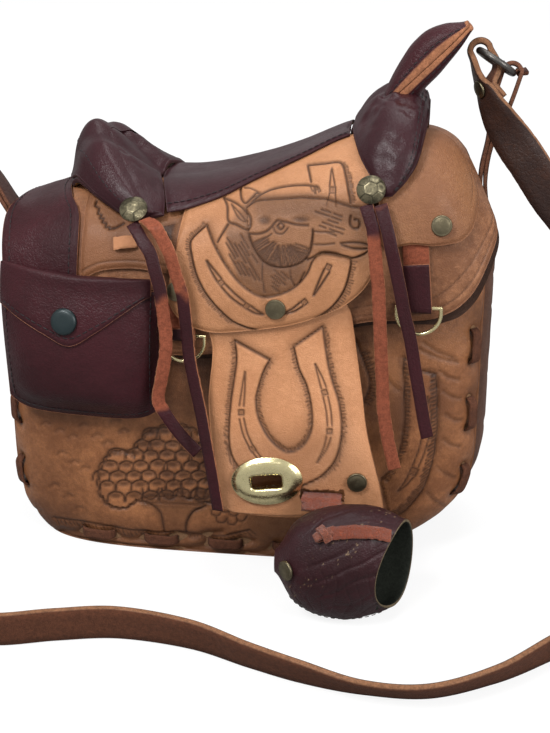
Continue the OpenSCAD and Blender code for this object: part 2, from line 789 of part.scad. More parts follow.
module seat_jockey() {
    top_share = [[-0.2, 0.33], [-0.06, 0.28], [0.08, 0.24], [0.24, 0.18], [0.38, 0.15], [0.49, 0.22]];
    low_share = [
        [-0.24, 0.62], [-0.255, 0.7], [-0.21, 0.78], [-0.1, 0.84], [0.06, 0.866], [0.25, 0.895],
        [0.37, 0.9], [0.44, 0.88], [0.5, 0.835], [0.525, 0.77], [0.52, 0.6]
    ];
    color(tan_hide) draped(
        top_share, low_share, 20, 8, function (u, v) layer_2, function (u, v) layer_2 + hide_t
    );
}

// Clearance of the fender from the skirt: it stands off more towards its lower end
function bow(t) = fender_bow * smooth((t - 0.86) / 1.05);

// Place on the fender's outer face
function fender_pt(xs, t, off = 0) = drape(xs, t, layer_1 + bow(t) + hide_t + off);

slit_half_w = 10;
slit_h = 5;
hanger_t = 1.6;
hanger_x = 42.8;
hanger_z = 49.3;

// Cut through the fender of the size given, its middle at the place x and the height z
module fender_cut(x, z, size) {
    p = drape(x / bag_half_w, drape_t(x / bag_half_w, z), layer_1 + fender_bow);
    translate([x, p[1], z]) cube(size, center = true);
}

module fender() {
    left_share = [
        [-0.1, 0.5], [-0.11, 0.7], [-0.105, 0.82], [-0.085, 0.92], [-0.096, 1.08], [-0.1, 1.2],
        [-0.087, 1.4], [-0.062, 1.72], [0, 1.81]
    ];
    right_share = [
        [0.38, 0.5], [0.4, 0.7], [0.42, 0.86], [0.45, 0.95], [0.475, 1.15], [0.5, 1.36],
        [0.525, 1.575], [0.585, 1.9], [0.605, 2.1]
    ];
    low = function (u, v)
        let (p = lerp(spline(left_share, u), spline(right_share, u), v)) layer_1 + bow(p[1]);
    deep = 6 * hide_t;
    color(tan_hide) difference() {
        draped(left_share, right_share, 16, 6, low, function (u, v) low(u, v) + hide_t);
        fender_cut(lock_x, slot_z, [2 * slot_half_l + 4 * lay_gap, deep, 2 * slot_half_h + 4 * lay_gap]);
        fender_cut(hanger_x, hanger_z, [2 * slit_half_w, deep, slit_h]);
    }
}

// Distance of the seat's underside from the drape: it steps up over the jockeys towards both edges,
// and w runs from 0 on the ridge to 1 at an edge
function seat_low(w) = lerp(layer_1, seat_base, smooth((w - 0.2) / 0.3));

// How far the ends of the seat curve back to the cantle and the pommel at its middle
seat_rear_share = 0.068;
seat_front_share = 0.03;
// How much of its padding the seat loses at its ends, and its thickness at its edges in hides
crown_fade_share = 0.45;
seat_edge_share = 0.8;

module seat() {
    front_share = [
        [-0.272, 0.4], [-0.2, 0.385], [-0.15, 0.37], [-0.06, 0.34], [0.06, 0.28], [0.2, 0.235],
        [0.33, 0.21], [0.405, 0.2]
    ];
    back_share = [for (p = front_share) [p[0], -1.3 * p[1]]];
    // the crown fades towards the cantle and the pommel, and the edges are drawn in
    crown = function (u) hide_t + seat_pad * lerp(1, sin(180 * u), crown_fade_share);
    top = function (u, w) lerp(layer_1 + crown(u), seat_base + seat_edge_share * hide_t, smooth(w));
    color(wine_hide) draped(
        front_share, back_share, 16, 14,
        function (u, v) seat_low(abs(2 * v - 1)), function (u, v) top(u, abs(2 * v - 1)),
        shift = function (u, v)
            -sin(180 * v) * (seat_rear_share * smooth(1 - 3 * u) + seat_front_share * smooth(4 * u - 3))
    );
}

// Cantle: an arch of padded leather that leans back over the rear end of the seat

cantle_m = 18;
cantle_n = 10;
// Rear and seat edges of its foot, from the front end over the ridge to the back end
cantle_rear_share = [
    [-0.35, 0.44], [-0.45, 0.42], [-0.58, 0.33], [-0.68, 0.17], [-0.71, 0], [-0.68, -0.22],
    [-0.58, -0.44], [-0.45, -0.56], [-0.35, -0.58]
];
cantle_seat_share = [
    [-0.285, 0.415], [-0.29, 0.35], [-0.315, 0.23], [-0.345, 0.1], [-0.355, 0], [-0.345, -0.12],
    [-0.315, -0.3], [-0.29, -0.48], [-0.285, -0.55]
];
// Heights across its roll, from the rear edge to the seat edge, and along its arch
cantle_roll_share = [0.1, 0.62, 0.93, 1, 0.8, 0.42, 0.08];
cantle_arch_share = [0.16, 0.22, 0.42, 0.72, 1, 0.72, 0.36, 0.2, 0.14];

function cantle_pad(u, v) = cantle_rise * spline(cantle_arch_share, u) * spline(cantle_roll_share, v);

// Point of the cantle at u along the arch and v across it. face is 1 on its skin and 0 under it, and
// off lifts it off the skin.
function cantle_pt(u, v, off, face = 1) =
    let (
        p = lerp(spline(cantle_rear_share, u), spline(cantle_seat_share, u), v),
        pad = cantle_pad(u, v) * face
    )
    drape(p[0], p[1], seat_low(abs(2 * u - 1) * 1.4) + soft_t * face + pad + off)
        - [cantle_lean * pad / cantle_rise, 0, 0];

// Rows of the cantle's points across the share to of its roll
function cantle_grid(n, to, off, face = 1) =
    [for (i = [0:cantle_m]) [for (j = [0:n]) cantle_pt(i / cantle_m, to * j / n, off, face)]];

module cantle() { color(wine_hide) wall(cantle_grid(cantle_n, 1, 0), cantle_grid(cantle_n, 1, 0, 0)); }

binding_share = 0.6;

module cantle_binding() {
    n = cantle_n * binding_share;
    color(wine_hide)
        wall(cantle_grid(n, binding_share, lay_gap + soft_t), cantle_grid(n, binding_share, lay_gap));
}

// Pommel: swells that carry the horn

pommel_seat_share = [
    [0.545, 0.545], [0.5, 0.465], [0.455, 0.37], [0.425, 0.24], [0.41, 0.1], [0.4, 0], [0.41, -0.12],
    [0.425, -0.3], [0.455, -0.46], [0.5, -0.58], [0.545, -0.66]
];
pommel_horn_share = [
    [0.585, 0.545], [0.637, 0.49], [0.675, 0.41], [0.695, 0.25], [0.7, 0.1], [0.7, 0], [0.7, -0.12],
    [0.695, -0.3], [0.675, -0.5], [0.637, -0.6], [0.585, -0.66]
];
// Heights along its arch and across it, from the seat edge to the horn edge
pommel_arch_share = [0.14, 0.22, 0.42, 0.72, 0.95, 1, 0.9, 0.66, 0.38, 0.2, 0.14];
pommel_roll_share = [0.12, 0.6, 0.88, 1, 1, 0.9, 0.6];

module pommel() {
    foot = function (u) seat_low(abs(2 * u - 1) * 2);
    pad = function (u, v)
        soft_t + pommel_rise * spline(pommel_arch_share, u) * spline(pommel_roll_share, v);
    color(wine_hide) draped(
        pommel_seat_share, pommel_horn_share, 18, 9,
        function (u, v) foot(u), function (u, v) foot(u) + pad(u, v)
    );
}

// Horn: an upper and a lower piece of leather sewn together along their raw edges

// Place of the foot of the horn's seam, as a share of the bag's half width and of the pommel's height
horn_root_share = [0.55, 0.92];
horn_root = [
    horn_root_share[0] * bag_half_w, 0,
    ridge_z(horn_root_share[0]) + layer_1 + horn_root_share[1] * pommel_rise
];
horn_dir = [cos(horn_slope), 0, sin(horn_slope)];
horn_up = [-sin(horn_slope), 0, cos(horn_slope)];
// Width of the horn and heights of its two pieces along it, as shares of its width at the root
horn_wide_share = [0.95, 1, 0.98, 0.94, 0.86, 0.74, 0.45];
horn_top_share = [0.16, 0.3, 0.42, 0.51, 0.5, 0.34, 0.05];
horn_low_share = [0.45, 0.4, 0.34, 0.32, 0.26, 0.18, 0.08];

// Half ring of the horn at the share f of its length, on the side of the sign of s of its seam
function horn_ring(f, s, shares) =
    let (
        mid = horn_root + horn_l * f * horn_dir + s * lay_gap / 2 * horn_up,
        half = horn_w / 2 * spline(horn_wide_share, f),
        rise = horn_w * spline(shares, f)
    )
    [
        for (a = [0:20:180]) mid + [0, half * cos(a), 0]
            + s * (rise * pow(sin(a), 0.8) + soft_t / 2) * horn_up,
        mid - [0, half, 0],
        mid + [0, half, 0]
    ];

module horn() { color(wine_hide) loft([for (i = [0:10]) horn_ring(i / 10, 1, horn_top_share)]); }

module horn_facing() {
    color(wine_hide) loft([for (i = [0:10]) horn_ring(i / 10, -1, horn_low_share)]);
}

// Conchos, saddle strings, rivets and dee rings

concho_rear_share = [-0.392, 0.425];
concho_front_share = [0.508, 0.52];
concho_rear_off = seat_base + 2 * soft_t + 0.17 * cantle_rise;
concho_front_off = seat_base + hide_t + 2 * lay_gap + soft_t;
// Place of the hammered flats on a concho, as shares of its radius and height, and their slope
flat_share = [0.62, 0.86];
flat_slope = 38;

module concho(place, off) {
    seated(drape(place[0], place[1], off), drape_n(place[0], place[1])) difference() {
        stud(concho_r, concho_h, concho_r / 4, concho_h);
        for (a = [0:60:300]) rotate([0, 0, a])
            translate([flat_share[0] * concho_r, 0, flat_share[1] * concho_h])
                rotate([0, flat_slope, 0]) cylinder(r = concho_r / 2, h = concho_h, $fn = 24);
    }
}

module concho_rear() { color(old_brass) concho(concho_rear_share, concho_rear_off); }

module concho_front() { color(old_brass) concho(concho_front_share, concho_front_off); }

// Routes of the saddle strings from their conchos down
front_long_route = [
    [65.5, -52.5, 189.5], [67.5, -55.5, 184], [69.5, -58, 178], [71, -59.5, 172], [72.5, -60, 166],
    [75.5, -60.5, 153], [78, -60.5, 141], [81, -60.5, 129], [83.5, -60, 115], [86, -60, 102],
    [88.5, -60, 89], [90.5, -60, 80]
];
front_short_route = [
    [59, -52.5, 189], [61, -55, 184], [63, -57, 178], [64.5, -59.5, 165], [66, -60, 152],
    [67, -60.5, 138], [68, -60.5, 123], [69, -60, 108], [70, -60, 93], [72.5, -59.5, 77], [76, -59, 62]
];
rear_long_route = [
    [-41.5, -47.5, 176], [-38.5, -50.5, 176], [-35, -53.5, 174.5], [-31.5, -56, 170],
    [-28, -58.5, 164], [-25, -59.5, 154], [-22.5, -60.5, 146], [-21.5, -61, 137], [-20.5, -61.5, 126],
    [-19.5, -62.5, 115], [-17, -64, 102], [-14, -66.5, 89], [-11.5, -69, 76], [-9, -70.5, 62],
    [-6, -71.5, 41]
];
rear_short_route = [
    [-47, -48, 174], [-44, -51.5, 171.5], [-41, -54.5, 168], [-37.5, -57, 164], [-35, -59.5, 157],
    [-32.5, -61, 147], [-31.5, -61.5, 137], [-30.5, -62, 128], [-30.5, -63, 118], [-32.5, -64, 106],
    [-34.5, -64, 94], [-31, -64, 86], [-25, -63, 76], [-17, -62, 66]
];

// Flat string along a route, its width turned by the angle twist from the X axis at its end
module saddle_string(route, twist) {
    n = len(route) - 1;
    wide = function (a) [cos(a), sin(a), 0.1];
    band(route, [for (i = [0:n]) wide(twist * i / n)], string_w, string_t);
}

module rear_string_long() { color(wine_hide) saddle_string(rear_long_route, -20); }

module rear_string_short() { color(suede) saddle_string(rear_short_route, 30); }

module front_string_long() { color(wine_hide) saddle_string(front_long_route, 15); }

module front_string_short() { color(suede) saddle_string(front_short_route, 10); }

rivet_h = 1.8;
rivet_shank_r = 1.6;
// Places of the jockeys' rivets and the distances of the leather's face there from the drape
jockey_rivet_share = [[0.163, 0.808], [-0.217, 0.68], [0.771, 0.615]];
jockey_face = [layer_2 + hide_t, layer_2 + hide_t, layer_1 + soft_t + lay_gap + hide_t];

module jockey_rivets() {
    color(old_brass) for (i = [0:2])
        let (q = jockey_rivet_share[i])
        seated(drape(q[0], q[1], jockey_face[i] + lay_gap), drape_n(q[0], q[1]))
            stud(rivet_r, rivet_h, rivet_shank_r, jockey_face[i]);
}

fender_rivet_x = 59;
fender_rivet_z = 57.6;

module fender_rivet() {
    xs = fender_rivet_x / bag_half_w;
    t = drape_t(xs, fender_rivet_z);
    n = cross(
        fender_pt(xs + near_share, t) - fender_pt(xs - near_share, t),
        fender_pt(xs, t - near_share) - fender_pt(xs, t + near_share)
    );
    color(old_brass) seated(fender_pt(xs, t, lay_gap), n) stud(rivet_r, rivet_h, rivet_shank_r, hide_t);
}

// Straps that carry the dee rings: [top, bar] places of the strap and half of its width, as shares
dee_strap_w = 12;
dee_front_share = [[0.667, 0.6], [0.70, 0.93]];
dee_rear_share = [[-0.215, 0.67], [-0.198, 0.85]];
dee_loop_r = dee_wire_r + lay_gap + soft_t / 2;
dee_first = layer_1 + lay_gap + soft_t / 2;

// Middle of the bar of a dee ring
function dee_bar(p) = drape(p[1][0], p[1][1], dee_first + dee_loop_r);

module dee_strap(p, tail) {
    bar = dee_bar(p);
    down = drape(p[1][0], p[1][1] + near_share, dee_first) - drape(p[1][0], p[1][1], dee_first);
    out = drape_n(p[1][0], p[1][1]);
    bend = [for (a = [-60:30:90]) bar + dee_loop_r * (cos(a) * unit(down) + sin(a) * out)];
    inner = [for (f = [0:0.25:1]) let (q = lerp(p[0], p[1], f)) drape(q[0], q[1], dee_first)];
    outer = [
        for (f = [0.93, tail])
            let (q = lerp(p[0], p[1], f)) drape(q[0], q[1], dee_first + 2 * dee_loop_r)
    ];
    mids = concat(inner, bend, outer);
    // the strap lies on the skirt at its top and hangs level at the bar
    side = drape(p[0][0] + near_share, p[0][1]) - drape(p[0][0] - near_share, p[0][1]);
    wides = [for (i = [0:len(mids) - 1]) lerp(unit(side), [1, 0, 0], smooth(i / 4))];
    band(mids, wides, dee_strap_w, soft_t);
}

module dee_strap_front() { color(wine_hide) dee_strap(dee_front_share, 0.5); }

module dee_strap_rear() { color(wine_hide) dee_strap(dee_rear_share, 0.82); }

dee_leg = 3;

// Dee ring that hangs from its bar at p
module dee_ring(p) {
    translate(p) rotate([90, 0, 0]) {
        rotate([0, 90, 0]) cylinder(r = dee_wire_r, h = 2 * dee_r, center = true, $fn = 24);
        for (s = [-1, 1]) translate([s * dee_r, 0, 0]) {
            sphere(r = dee_wire_r, $fn = 24);
            translate([0, -dee_leg, 0]) rotate([-90, 0, 0]) cylinder(r = dee_wire_r, h = dee_leg, $fn = 24);
        }
        translate([0, -dee_leg, 0]) rotate([0, 0, 180])
            rotate_extrude(angle = 180) translate([dee_r, 0]) circle(dee_wire_r, $fn = 24);
    }
}

module dee_ring_front() { color(bright_brass) dee_ring(dee_bar(dee_front_share)); }

module dee_ring_rear() { color(bright_brass) dee_ring(dee_bar(dee_rear_share)); }

// Oval plate of the turn lock

plate_t = 1;
plate_dome = 1.6;
// Size of the dome's flat top and of the backing, as shares of the plate's size
dome_top_share = 0.62;
backing_share = 0.9;
backing_t = 0.8;
plate_tilt = 7;
lock_t = drape_t(lock_x / bag_half_w, slot_z);
// Lean of the fender where the plate sits
plate_lean = let (
        a = fender_pt(lock_x / bag_half_w, lock_t - 5 * near_share),
        b = fender_pt(lock_x / bag_half_w, lock_t + 5 * near_share)
    )
    atan2(a[1] - b[1], a[2] - b[2]);

// Turn of the fender there about the vertical
plate_yaw = let (
        a = fender_pt((lock_x - plate_half_l) / bag_half_w, lock_t),
        b = fender_pt((lock_x + plate_half_l) / bag_half_w, lock_t)
    )
    atan2(b[1] - a[1], b[0] - a[0]);

// Frame on the fender at its slot, off over its face
module on_fender(off) {
    p = fender_pt(lock_x / bag_half_w, lock_t);
    translate([p[0], p[1], slot_z]) rotate([90 - plate_lean, 0, plate_yaw])
        rotate([0, 0, plate_tilt]) translate([0, 0, off]) children();
}

// Slot of the plate, with edge added round it
module lock_slot(edge) {
    square([2 * (slot_half_l + edge), 2 * (slot_half_h + edge)], center = true);
}

module eyelet_plate() {
    collar_l = hide_t + 3 * lay_gap;
    color(bright_brass) on_fender(2 * lay_gap) difference() {
        union() {
            linear_extrude(plate_t) ellipse(plate_half_l, plate_half_h);
            translate([0, 0, plate_t]) linear_extrude(plate_dome, scale = dome_top_share)
                ellipse(plate_half_l, plate_half_h);
            // collar of the slot, which goes back through the fender
            translate([0, 0, -collar_l]) linear_extrude(collar_l + lay_gap) lock_slot(0);
        }
        translate([0, 0, -collar_l - cut])
            linear_extrude(collar_l + plate_t + plate_dome + 2 * cut) lock_slot(-backing_t);
    }
}

module eyelet_backing() {
    color(bright_brass) on_fender(-hide_t - 3 * lay_gap - backing_t) difference() {
        linear_extrude(backing_t) ellipse(backing_share * plate_half_l, backing_share * plate_half_h);
        translate([0, 0, -cut]) linear_extrude(backing_t + 2 * cut) lock_slot(lay_gap);
    }
}

jockey_lace_share = [[-0.47, 0.53], [-0.385, 0.515]];

module jockey_lace() {
    off = layer_1 + hide_t + lay_gap + string_t / 2;
    at = function (f, more)
        let (q = lerp(jockey_lace_share[0], jockey_lace_share[1], f))
        drape(q[0], q[1] + more, off + string_t * sin(180 * f));
    run = [0:0.25:1];
    color(suede) band(
        [for (f = run) at(f, 0)], [for (f = run) at(f, -near_share) - at(f, near_share)],
        string_w, string_t
    );
}

// Saddlebag

pouch_mid_share = -0.612;
// Height at which the yoke ends over the pouch's back
yoke_end_h = pouch_mouth_h + 2 * lay_gap;
// Rear and front edges of the yoke from behind the ridge down to its end
yoke_left_share = [
    [-0.88, -0.75], [-0.93, -0.4], [-0.965, 0], [-0.965, 0.2], [-0.95, 0.4], [-0.93, 0.5]
];
yoke_right_share = [
    [-0.66, -0.75], [-0.7, -0.4], [-0.715, 0], [-0.68, 0.25], [-0.625, 0.42], [-0.62, 0.5]
];

module saddlebag_yoke() {
    // the last place of each edge is set by the yoke's end
    ended = function (edge)
        [for (i = [0:5]) i < 5 ? edge[i] : [edge[i][0], drape_t(edge[i][0], yoke_end_h)]];
    color(wine_hide) draped(
        ended(yoke_left_share), ended(yoke_right_share), 14, 5,
        function (u, v) layer_1, function (u, v) layer_1 + soft_t
    );
}

// Fullness of the pouch down its height, from its mouth to its bottom seam
pouch_full_share = [0.5, 0.78, 0.96, 1, 0.82, 0.1];
// Rounding of its lower corners and taper of its sides
pouch_round_share = 0.09;
pouch_taper_share = 0.05;
// Powers of that rounding and of the pouch's fullness across it
pouch_round_power = 6;
pouch_full_power = 4;

// Distance of the pouch's front from its back at u across, from -1 to 1, and v down
function pouch_swell(u, v) =
    pouch_full * (1 - pow(min(abs(u), 1), pouch_full_power))
        * max(spline(pouch_full_share, min(max(v, 0), 1)), 0);

function pouch_half(v) = pouch_half_w / bag_half_w * (1 - pouch_taper_share * v);

// Place on the drape of the pouch at u and v
function pouch_at(u, v) =
    let (
        xs = pouch_mid_share + u * pouch_half(v),
        deep = pouch_h * (1 - pouch_round_share * pow(abs(u), pouch_round_power))
    )
    [xs, drape_t(xs, pouch_mouth_h - v * deep)];

pouch_back = layer_1 + soft_t + lay_gap;

module pouch_sheet(low) {
    m = 12;
    n = 9;
    grid = function (off) [
        for (i = [0:m]) [
            for (j = [0:n])
                let (u = 2 * i / m - 1, p = pouch_at(u, j / n)) drape(p[0], p[1], low(u, j / n) + off)
        ]
    ];
    color(wine_hide) wall(grid(soft_t), grid(0));
}

module saddlebag_back() { pouch_sheet(function (u, v) layer_1); }

module saddlebag_pouch() { pouch_sheet(function (u, v) pouch_back + pouch_swell(u, v)); }

// Flap of the pouch: a lid over its mouth, then a front that comes to a point
lid_h = 2 * (soft_t + lay_gap);
lid_back = layer_1 + hide_t + 2 * lay_gap;
lid_left = pouch_mid_share - 0.99 * pouch_half(0);
lid_right = pouch_mid_share + 0.91 * pouch_half(0);
lid_steps = 3;
front_steps = 7;
// Fall of its lower edge below the mouth, in even steps from left to right
lid_edge_share = [0.51, 0.65, 0.83, 1, 0.72, 0.38, 0.08];
// Place of the snap across and down the flap's front
snap_share = [0.475, 0.55];

// Clearance of the flap over the pouch's front at the place xs and the height z
function lid_off(xs, z) =
    let (u = (xs - pouch_mid_share) / pouch_half(0))
    pouch_back + soft_t + lay_gap + pouch_swell(u, (pouch_mouth_h - z) / pouch_h);

// Point of the flap's inner face (face 0) or outer face (face 1) at u across and node k down
function lid_pt(u, k, face) =
    let (
        xs = lerp(lid_left, lid_right, u),
        top = pouch_mouth_h + lid_h + soft_t * face,
        low = pouch_mouth_h - lid_fall * spline(lid_edge_share, u),
        z = k <= lid_steps ? top : lerp(top, low, (k - lid_steps) / front_steps),
        out = lid_off(xs, z) + soft_t * face
    )
    drape(xs, drape_t(xs, z), k < lid_steps ? lerp(lid_back, max(out, lid_back), k / lid_steps) : out);

snap_mid_share = lerp(lid_left, lid_right, snap_share[0]);
snap_z = pouch_mouth_h - lid_fall * snap_share[1];

// Place on the inner face of the flap's front at the place xs and the height z
function lid_face(xs, z) = drape(xs, drape_t(xs, z), lid_off(xs, z));

// Frame on the flap's front at its snap, off over its inner face
module at_snap(off) {
    n = cross(
        lid_face(snap_mid_share + near_share, snap_z) - lid_face(snap_mid_share - near_share, snap_z),
        lid_face(snap_mid_share, snap_z + snap_r) - lid_face(snap_mid_share, snap_z - snap_r)
    );
    seated(lid_face(snap_mid_share, snap_z) + off * unit(n), n) children();
}

snap_stud_r = 3;
snap_hole_r = 3.5;
snap_h = 2.2;
snap_recess = 0.9;

module saddlebag_flap() {
    m = 12;
    n = lid_steps + front_steps;
    grid = function (face) [for (i = [0:m]) [for (j = [0:n]) lid_pt(i / m, j, face)]];
    color(wine_hide) difference() {
        wall(grid(1), grid(0));
        at_snap(-pouch_full / 2) cylinder(r = snap_hole_r, h = pouch_full, $fn = 24);
    }
}

module snap_cap() {
    color(dark_enamel) at_snap(soft_t + lay_gap) difference() {
        stud(snap_r, snap_h, snap_r / 2, 0);
        translate([0, 0, -cut]) cylinder(r = snap_hole_r, h = snap_recess + cut);
    }
}

module snap_stud() {
    color(old_brass) at_snap(0)
        cylinder(r = snap_stud_r, h = soft_t + 2 * lay_gap + snap_recess / 2);
}

// Stirrup

// Place of the middle of the hood at its nose, and how far its mouth stands back and up from there
hood_x = 23.5;
hood_y = -91;
hood_z = 27.5;
mouth_back = 2;
mouth_up = 2;
hood_nose = [hood_x, hood_y, hood_z];
hood_mouth = [hood_x + hood_l, hood_y + mouth_back, hood_z + mouth_up];
// How far the far side of the hood's mouth reaches beyond its near side
hood_skew = 9;
// Size of the hood along it from its nose to its mouth
hood_share = [0.2, 0.66, 0.87, 0.97, 1, 0.98, 0.9, 0.76];

// Point of the hood at f along it and the angle b round it from the front, off outwards
function hood_pt(f, b, off = 0) =
    let (c = lerp(hood_nose, hood_mouth, f), r = spline(hood_share, f))
    [
        c[0] - hood_skew / 2 * f * f * cos(b),
        c[1] - (hood_half_d * r + off) * cos(b),
        c[2] + (hood_half_h * r + off) * sin(b)
    ];

module tapadero() {
    m = 12;
    k = 20;
    ring = function (f, off) [for (j = [0:k - 1]) hood_pt(f, 360 * j / k, off)];
    // its rings lie closer together towards the nose
    close_power = 1.3;
    run = function (i) pow(i / m, close_power);
    color(wine_hide) loft(concat(
        [for (i = [0:m]) ring(run(i), 0)],
        [for (i = [m:-1:1]) ring(run(i), -soft_t)]
    ));
}

// Angle round the hood at which its strap lies on it
hanger_turn = 140;

// Strap that hangs the hood in the fender's slit
module stirrup_hanger() {
    xs = hanger_x / bag_half_w;
    slot = fender_pt(xs, drape_t(xs, hanger_z));
    rest = hood_pt((hanger_x - hood_x) / hood_l, hanger_turn, 2 * lay_gap + hanger_t / 2);
    start = [hanger_x, slot[1] + hide_t, hanger_z];
    end = [hanger_x, rest[1], rest[2] + lay_gap];
    mids = [start, start - [0, 2 * hide_t, 0], lerp(start, end, 0.6) + [0, 0, hanger_t / 2], end];
    color(suede) band(mids, [for (q = mids) [1, 0, 0]], 2 * slit_half_w - 4 * lay_gap, hanger_t);
}

// Place of the hood's rivet along it and its angle round it
hood_rivet_share = 0.12;
hood_rivet_turn = 8;
small_turn = 2;

module tapadero_rivet() {
    at = function (f, b) hood_pt(hood_rivet_share + f, hood_rivet_turn + b, lay_gap);
    n = cross(at(near_share, 0) - at(-near_share, 0), at(0, small_turn) - at(0, -small_turn));
    color(old_brass) seated(at(0, 0), n[1] > 0 ? -n : n)
        stud(rivet_r, rivet_h, rivet_shank_r, soft_t + lay_gap);
}

// Angle round the hood at which its lace starts, and how far the lace turns towards the mouth
hood_lace_turn = 46;
hood_lace_twist = 10;

module tapadero_lace() {
    at = function (f, more) hood_pt(
        f, hood_lace_turn + hood_lace_twist * f + more, 2 * lay_gap + string_t / 2
    );
    run = [0.36:0.08:0.96];
    color(suede) band(
        [for (f = run) at(f, 0)], [for (f = run) at(f, small_turn) - at(f, -small_turn)],
        string_w, string_t
    );
}

front_panel();
back_panel();
gusset();
front_lacing();
back_lacing();
hinge_strip();
strap_tab_right();
strap_tab_left();
strap_ring_right();
strap_ring_left();
shoulder_strap();
strap_rivets();
turn_lock_base();
turn_lock_knob();
flap_skirt();
skirt_lining();
rear_jockey();
front_jockey();
seat_jockey();
fender();
seat();
cantle();
cantle_binding();
pommel();
horn();
horn_facing();
concho_rear();
concho_front();
rear_string_long();
rear_string_short();
front_string_long();
front_string_short();
jockey_rivets();
fender_rivet();
dee_strap_front();
dee_strap_rear();
dee_ring_front();
dee_ring_rear();
eyelet_plate();
eyelet_backing();
jockey_lace();
saddlebag_yoke();
saddlebag_back();
saddlebag_pouch();
saddlebag_flap();
snap_cap();
snap_stud();
stirrup_hanger();
tapadero();
tapadero_lace();
tapadero_rivet();
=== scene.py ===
"""Leather crossbody bag made as a small western saddle, dressed and lit for its picture.

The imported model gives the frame, the moving bodies and the metal parts. This script lays fine
leather over it: carved panels, a padded seat, a stitched pouch, a stirrup hood, strings and a
strap.

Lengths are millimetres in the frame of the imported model, with X towards the horn, Z up and the
front at -Y. They become metres where a mesh is made.
"""

from __future__ import annotations

import json
import logging
from dataclasses import dataclass, field
from enum import Enum
from functools import reduce
from itertools import product
from typing import Callable, Sequence

import bpy
import numpy as np
from mathutils import Matrix

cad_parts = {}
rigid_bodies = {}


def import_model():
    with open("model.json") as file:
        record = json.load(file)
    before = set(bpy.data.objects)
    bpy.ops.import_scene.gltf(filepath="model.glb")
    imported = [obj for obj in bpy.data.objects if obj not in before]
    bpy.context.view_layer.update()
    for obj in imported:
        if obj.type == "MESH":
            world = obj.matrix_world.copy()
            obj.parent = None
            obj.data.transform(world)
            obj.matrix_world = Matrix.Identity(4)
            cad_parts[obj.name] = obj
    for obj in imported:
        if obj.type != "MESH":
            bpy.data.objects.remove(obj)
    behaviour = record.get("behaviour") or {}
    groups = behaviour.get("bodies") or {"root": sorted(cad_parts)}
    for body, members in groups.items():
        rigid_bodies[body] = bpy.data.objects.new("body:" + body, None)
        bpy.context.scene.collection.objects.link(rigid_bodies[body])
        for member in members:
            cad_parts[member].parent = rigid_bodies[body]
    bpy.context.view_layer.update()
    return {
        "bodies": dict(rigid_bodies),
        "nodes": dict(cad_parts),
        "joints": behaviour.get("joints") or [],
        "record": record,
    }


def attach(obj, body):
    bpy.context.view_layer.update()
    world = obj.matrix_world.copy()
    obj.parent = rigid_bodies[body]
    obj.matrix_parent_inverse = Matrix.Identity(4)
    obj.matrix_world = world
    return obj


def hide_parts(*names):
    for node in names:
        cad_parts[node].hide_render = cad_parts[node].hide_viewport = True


LOG = logging.getLogger("saddle_bag")
METRES = 0.001
HASH_AXES = (374761393, 668265263, 2147483629)
HASH_SEED = 974711
HASH_MIX = 1274126177
Array = np.ndarray
Point = tuple[float, float, float]
Surface = Callable[[Array, Array, Array], Array]
Relief = Callable[[Array], tuple[Array, Array]]


def unit(v: Array) -> Array:
    """Vectors divided by their lengths along the last axis."""
    v = np.asarray(v, float)
    return v / np.maximum(np.linalg.norm(v, axis=-1, keepdims=True), 1e-12)


def lerp(a: Array, b: Array, f: Array) -> Array:
    """Value at the share f of the way from a to b."""
    return a + (b - a) * f


def smooth(f: Array) -> Array:
    """Smooth step of f from 0 to 1, clipped outside."""
    g = np.clip(f, 0.0, 1.0)
    return g * g * (3 - 2 * g)


def bell(d: Array, width: float) -> Array:
    """Bell curve exp(-(d / width)^2)."""
    return np.exp(-((np.asarray(d) / width) ** 2))


def spline(knots: Sequence, u: Array) -> Array:
    """Smooth curve through evenly spaced knots, a Catmull-Rom cubic.

    Args:
        knots: Numbers or points that the curve passes through.
        u: Places on the curve, from 0 to 1.

    Returns:
        A value or a point for each u.
    """
    p = np.asarray(knots, float)
    n = len(p) - 1
    x = np.asarray(u, float) * n
    k = np.clip(np.floor(x).astype(int), 0, n - 1)
    f = x - k
    if p.ndim == 2:
        f = f[..., None]
    a, b, c, d = p[np.maximum(k - 1, 0)], p[k], p[k + 1], p[np.minimum(k + 2, n)]
    return 0.5 * (
        2 * b + (c - a) * f + (2 * a - 5 * b + 4 * c - d) * f**2 + (3 * b - a - 3 * c + d) * f**3
    )


def noise(points: Array, cell: float, seed: int) -> Array:
    """Smooth noise from -1 to 1: random values at the corners of cubes of the cell's size, blended.

    Args:
        points: Places, with their coordinates on the last axis.
        cell: Size of a cube.
        seed: Number that picks the random values.

    Returns:
        One value for each place.
    """
    p = np.asarray(points, float) / cell
    base = np.floor(p).astype(np.int64)
    f = p - base
    f = f * f * (3 - 2 * f)
    total = np.zeros(p.shape[:-1])
    for corner in product((0, 1), repeat=3):
        q = base + np.array(corner)
        h = sum(q[..., k] * factor for k, factor in enumerate(HASH_AXES)) + seed * HASH_SEED
        h = (h ^ (h >> 13)) * HASH_MIX
        value = ((h ^ (h >> 16)) & 0xFFFF) / 32767.5 - 1
        weight = np.prod(np.where(np.array(corner) == 1, f, 1 - f), axis=-1)
        total += value * weight
    return total


def along(path: Array) -> Array:
    """Distance of each point of a path from its start, measured along it."""
    steps = np.linalg.norm(np.diff(path, axis=0), axis=-1)
    return np.concatenate([[0.0], np.cumsum(steps)])


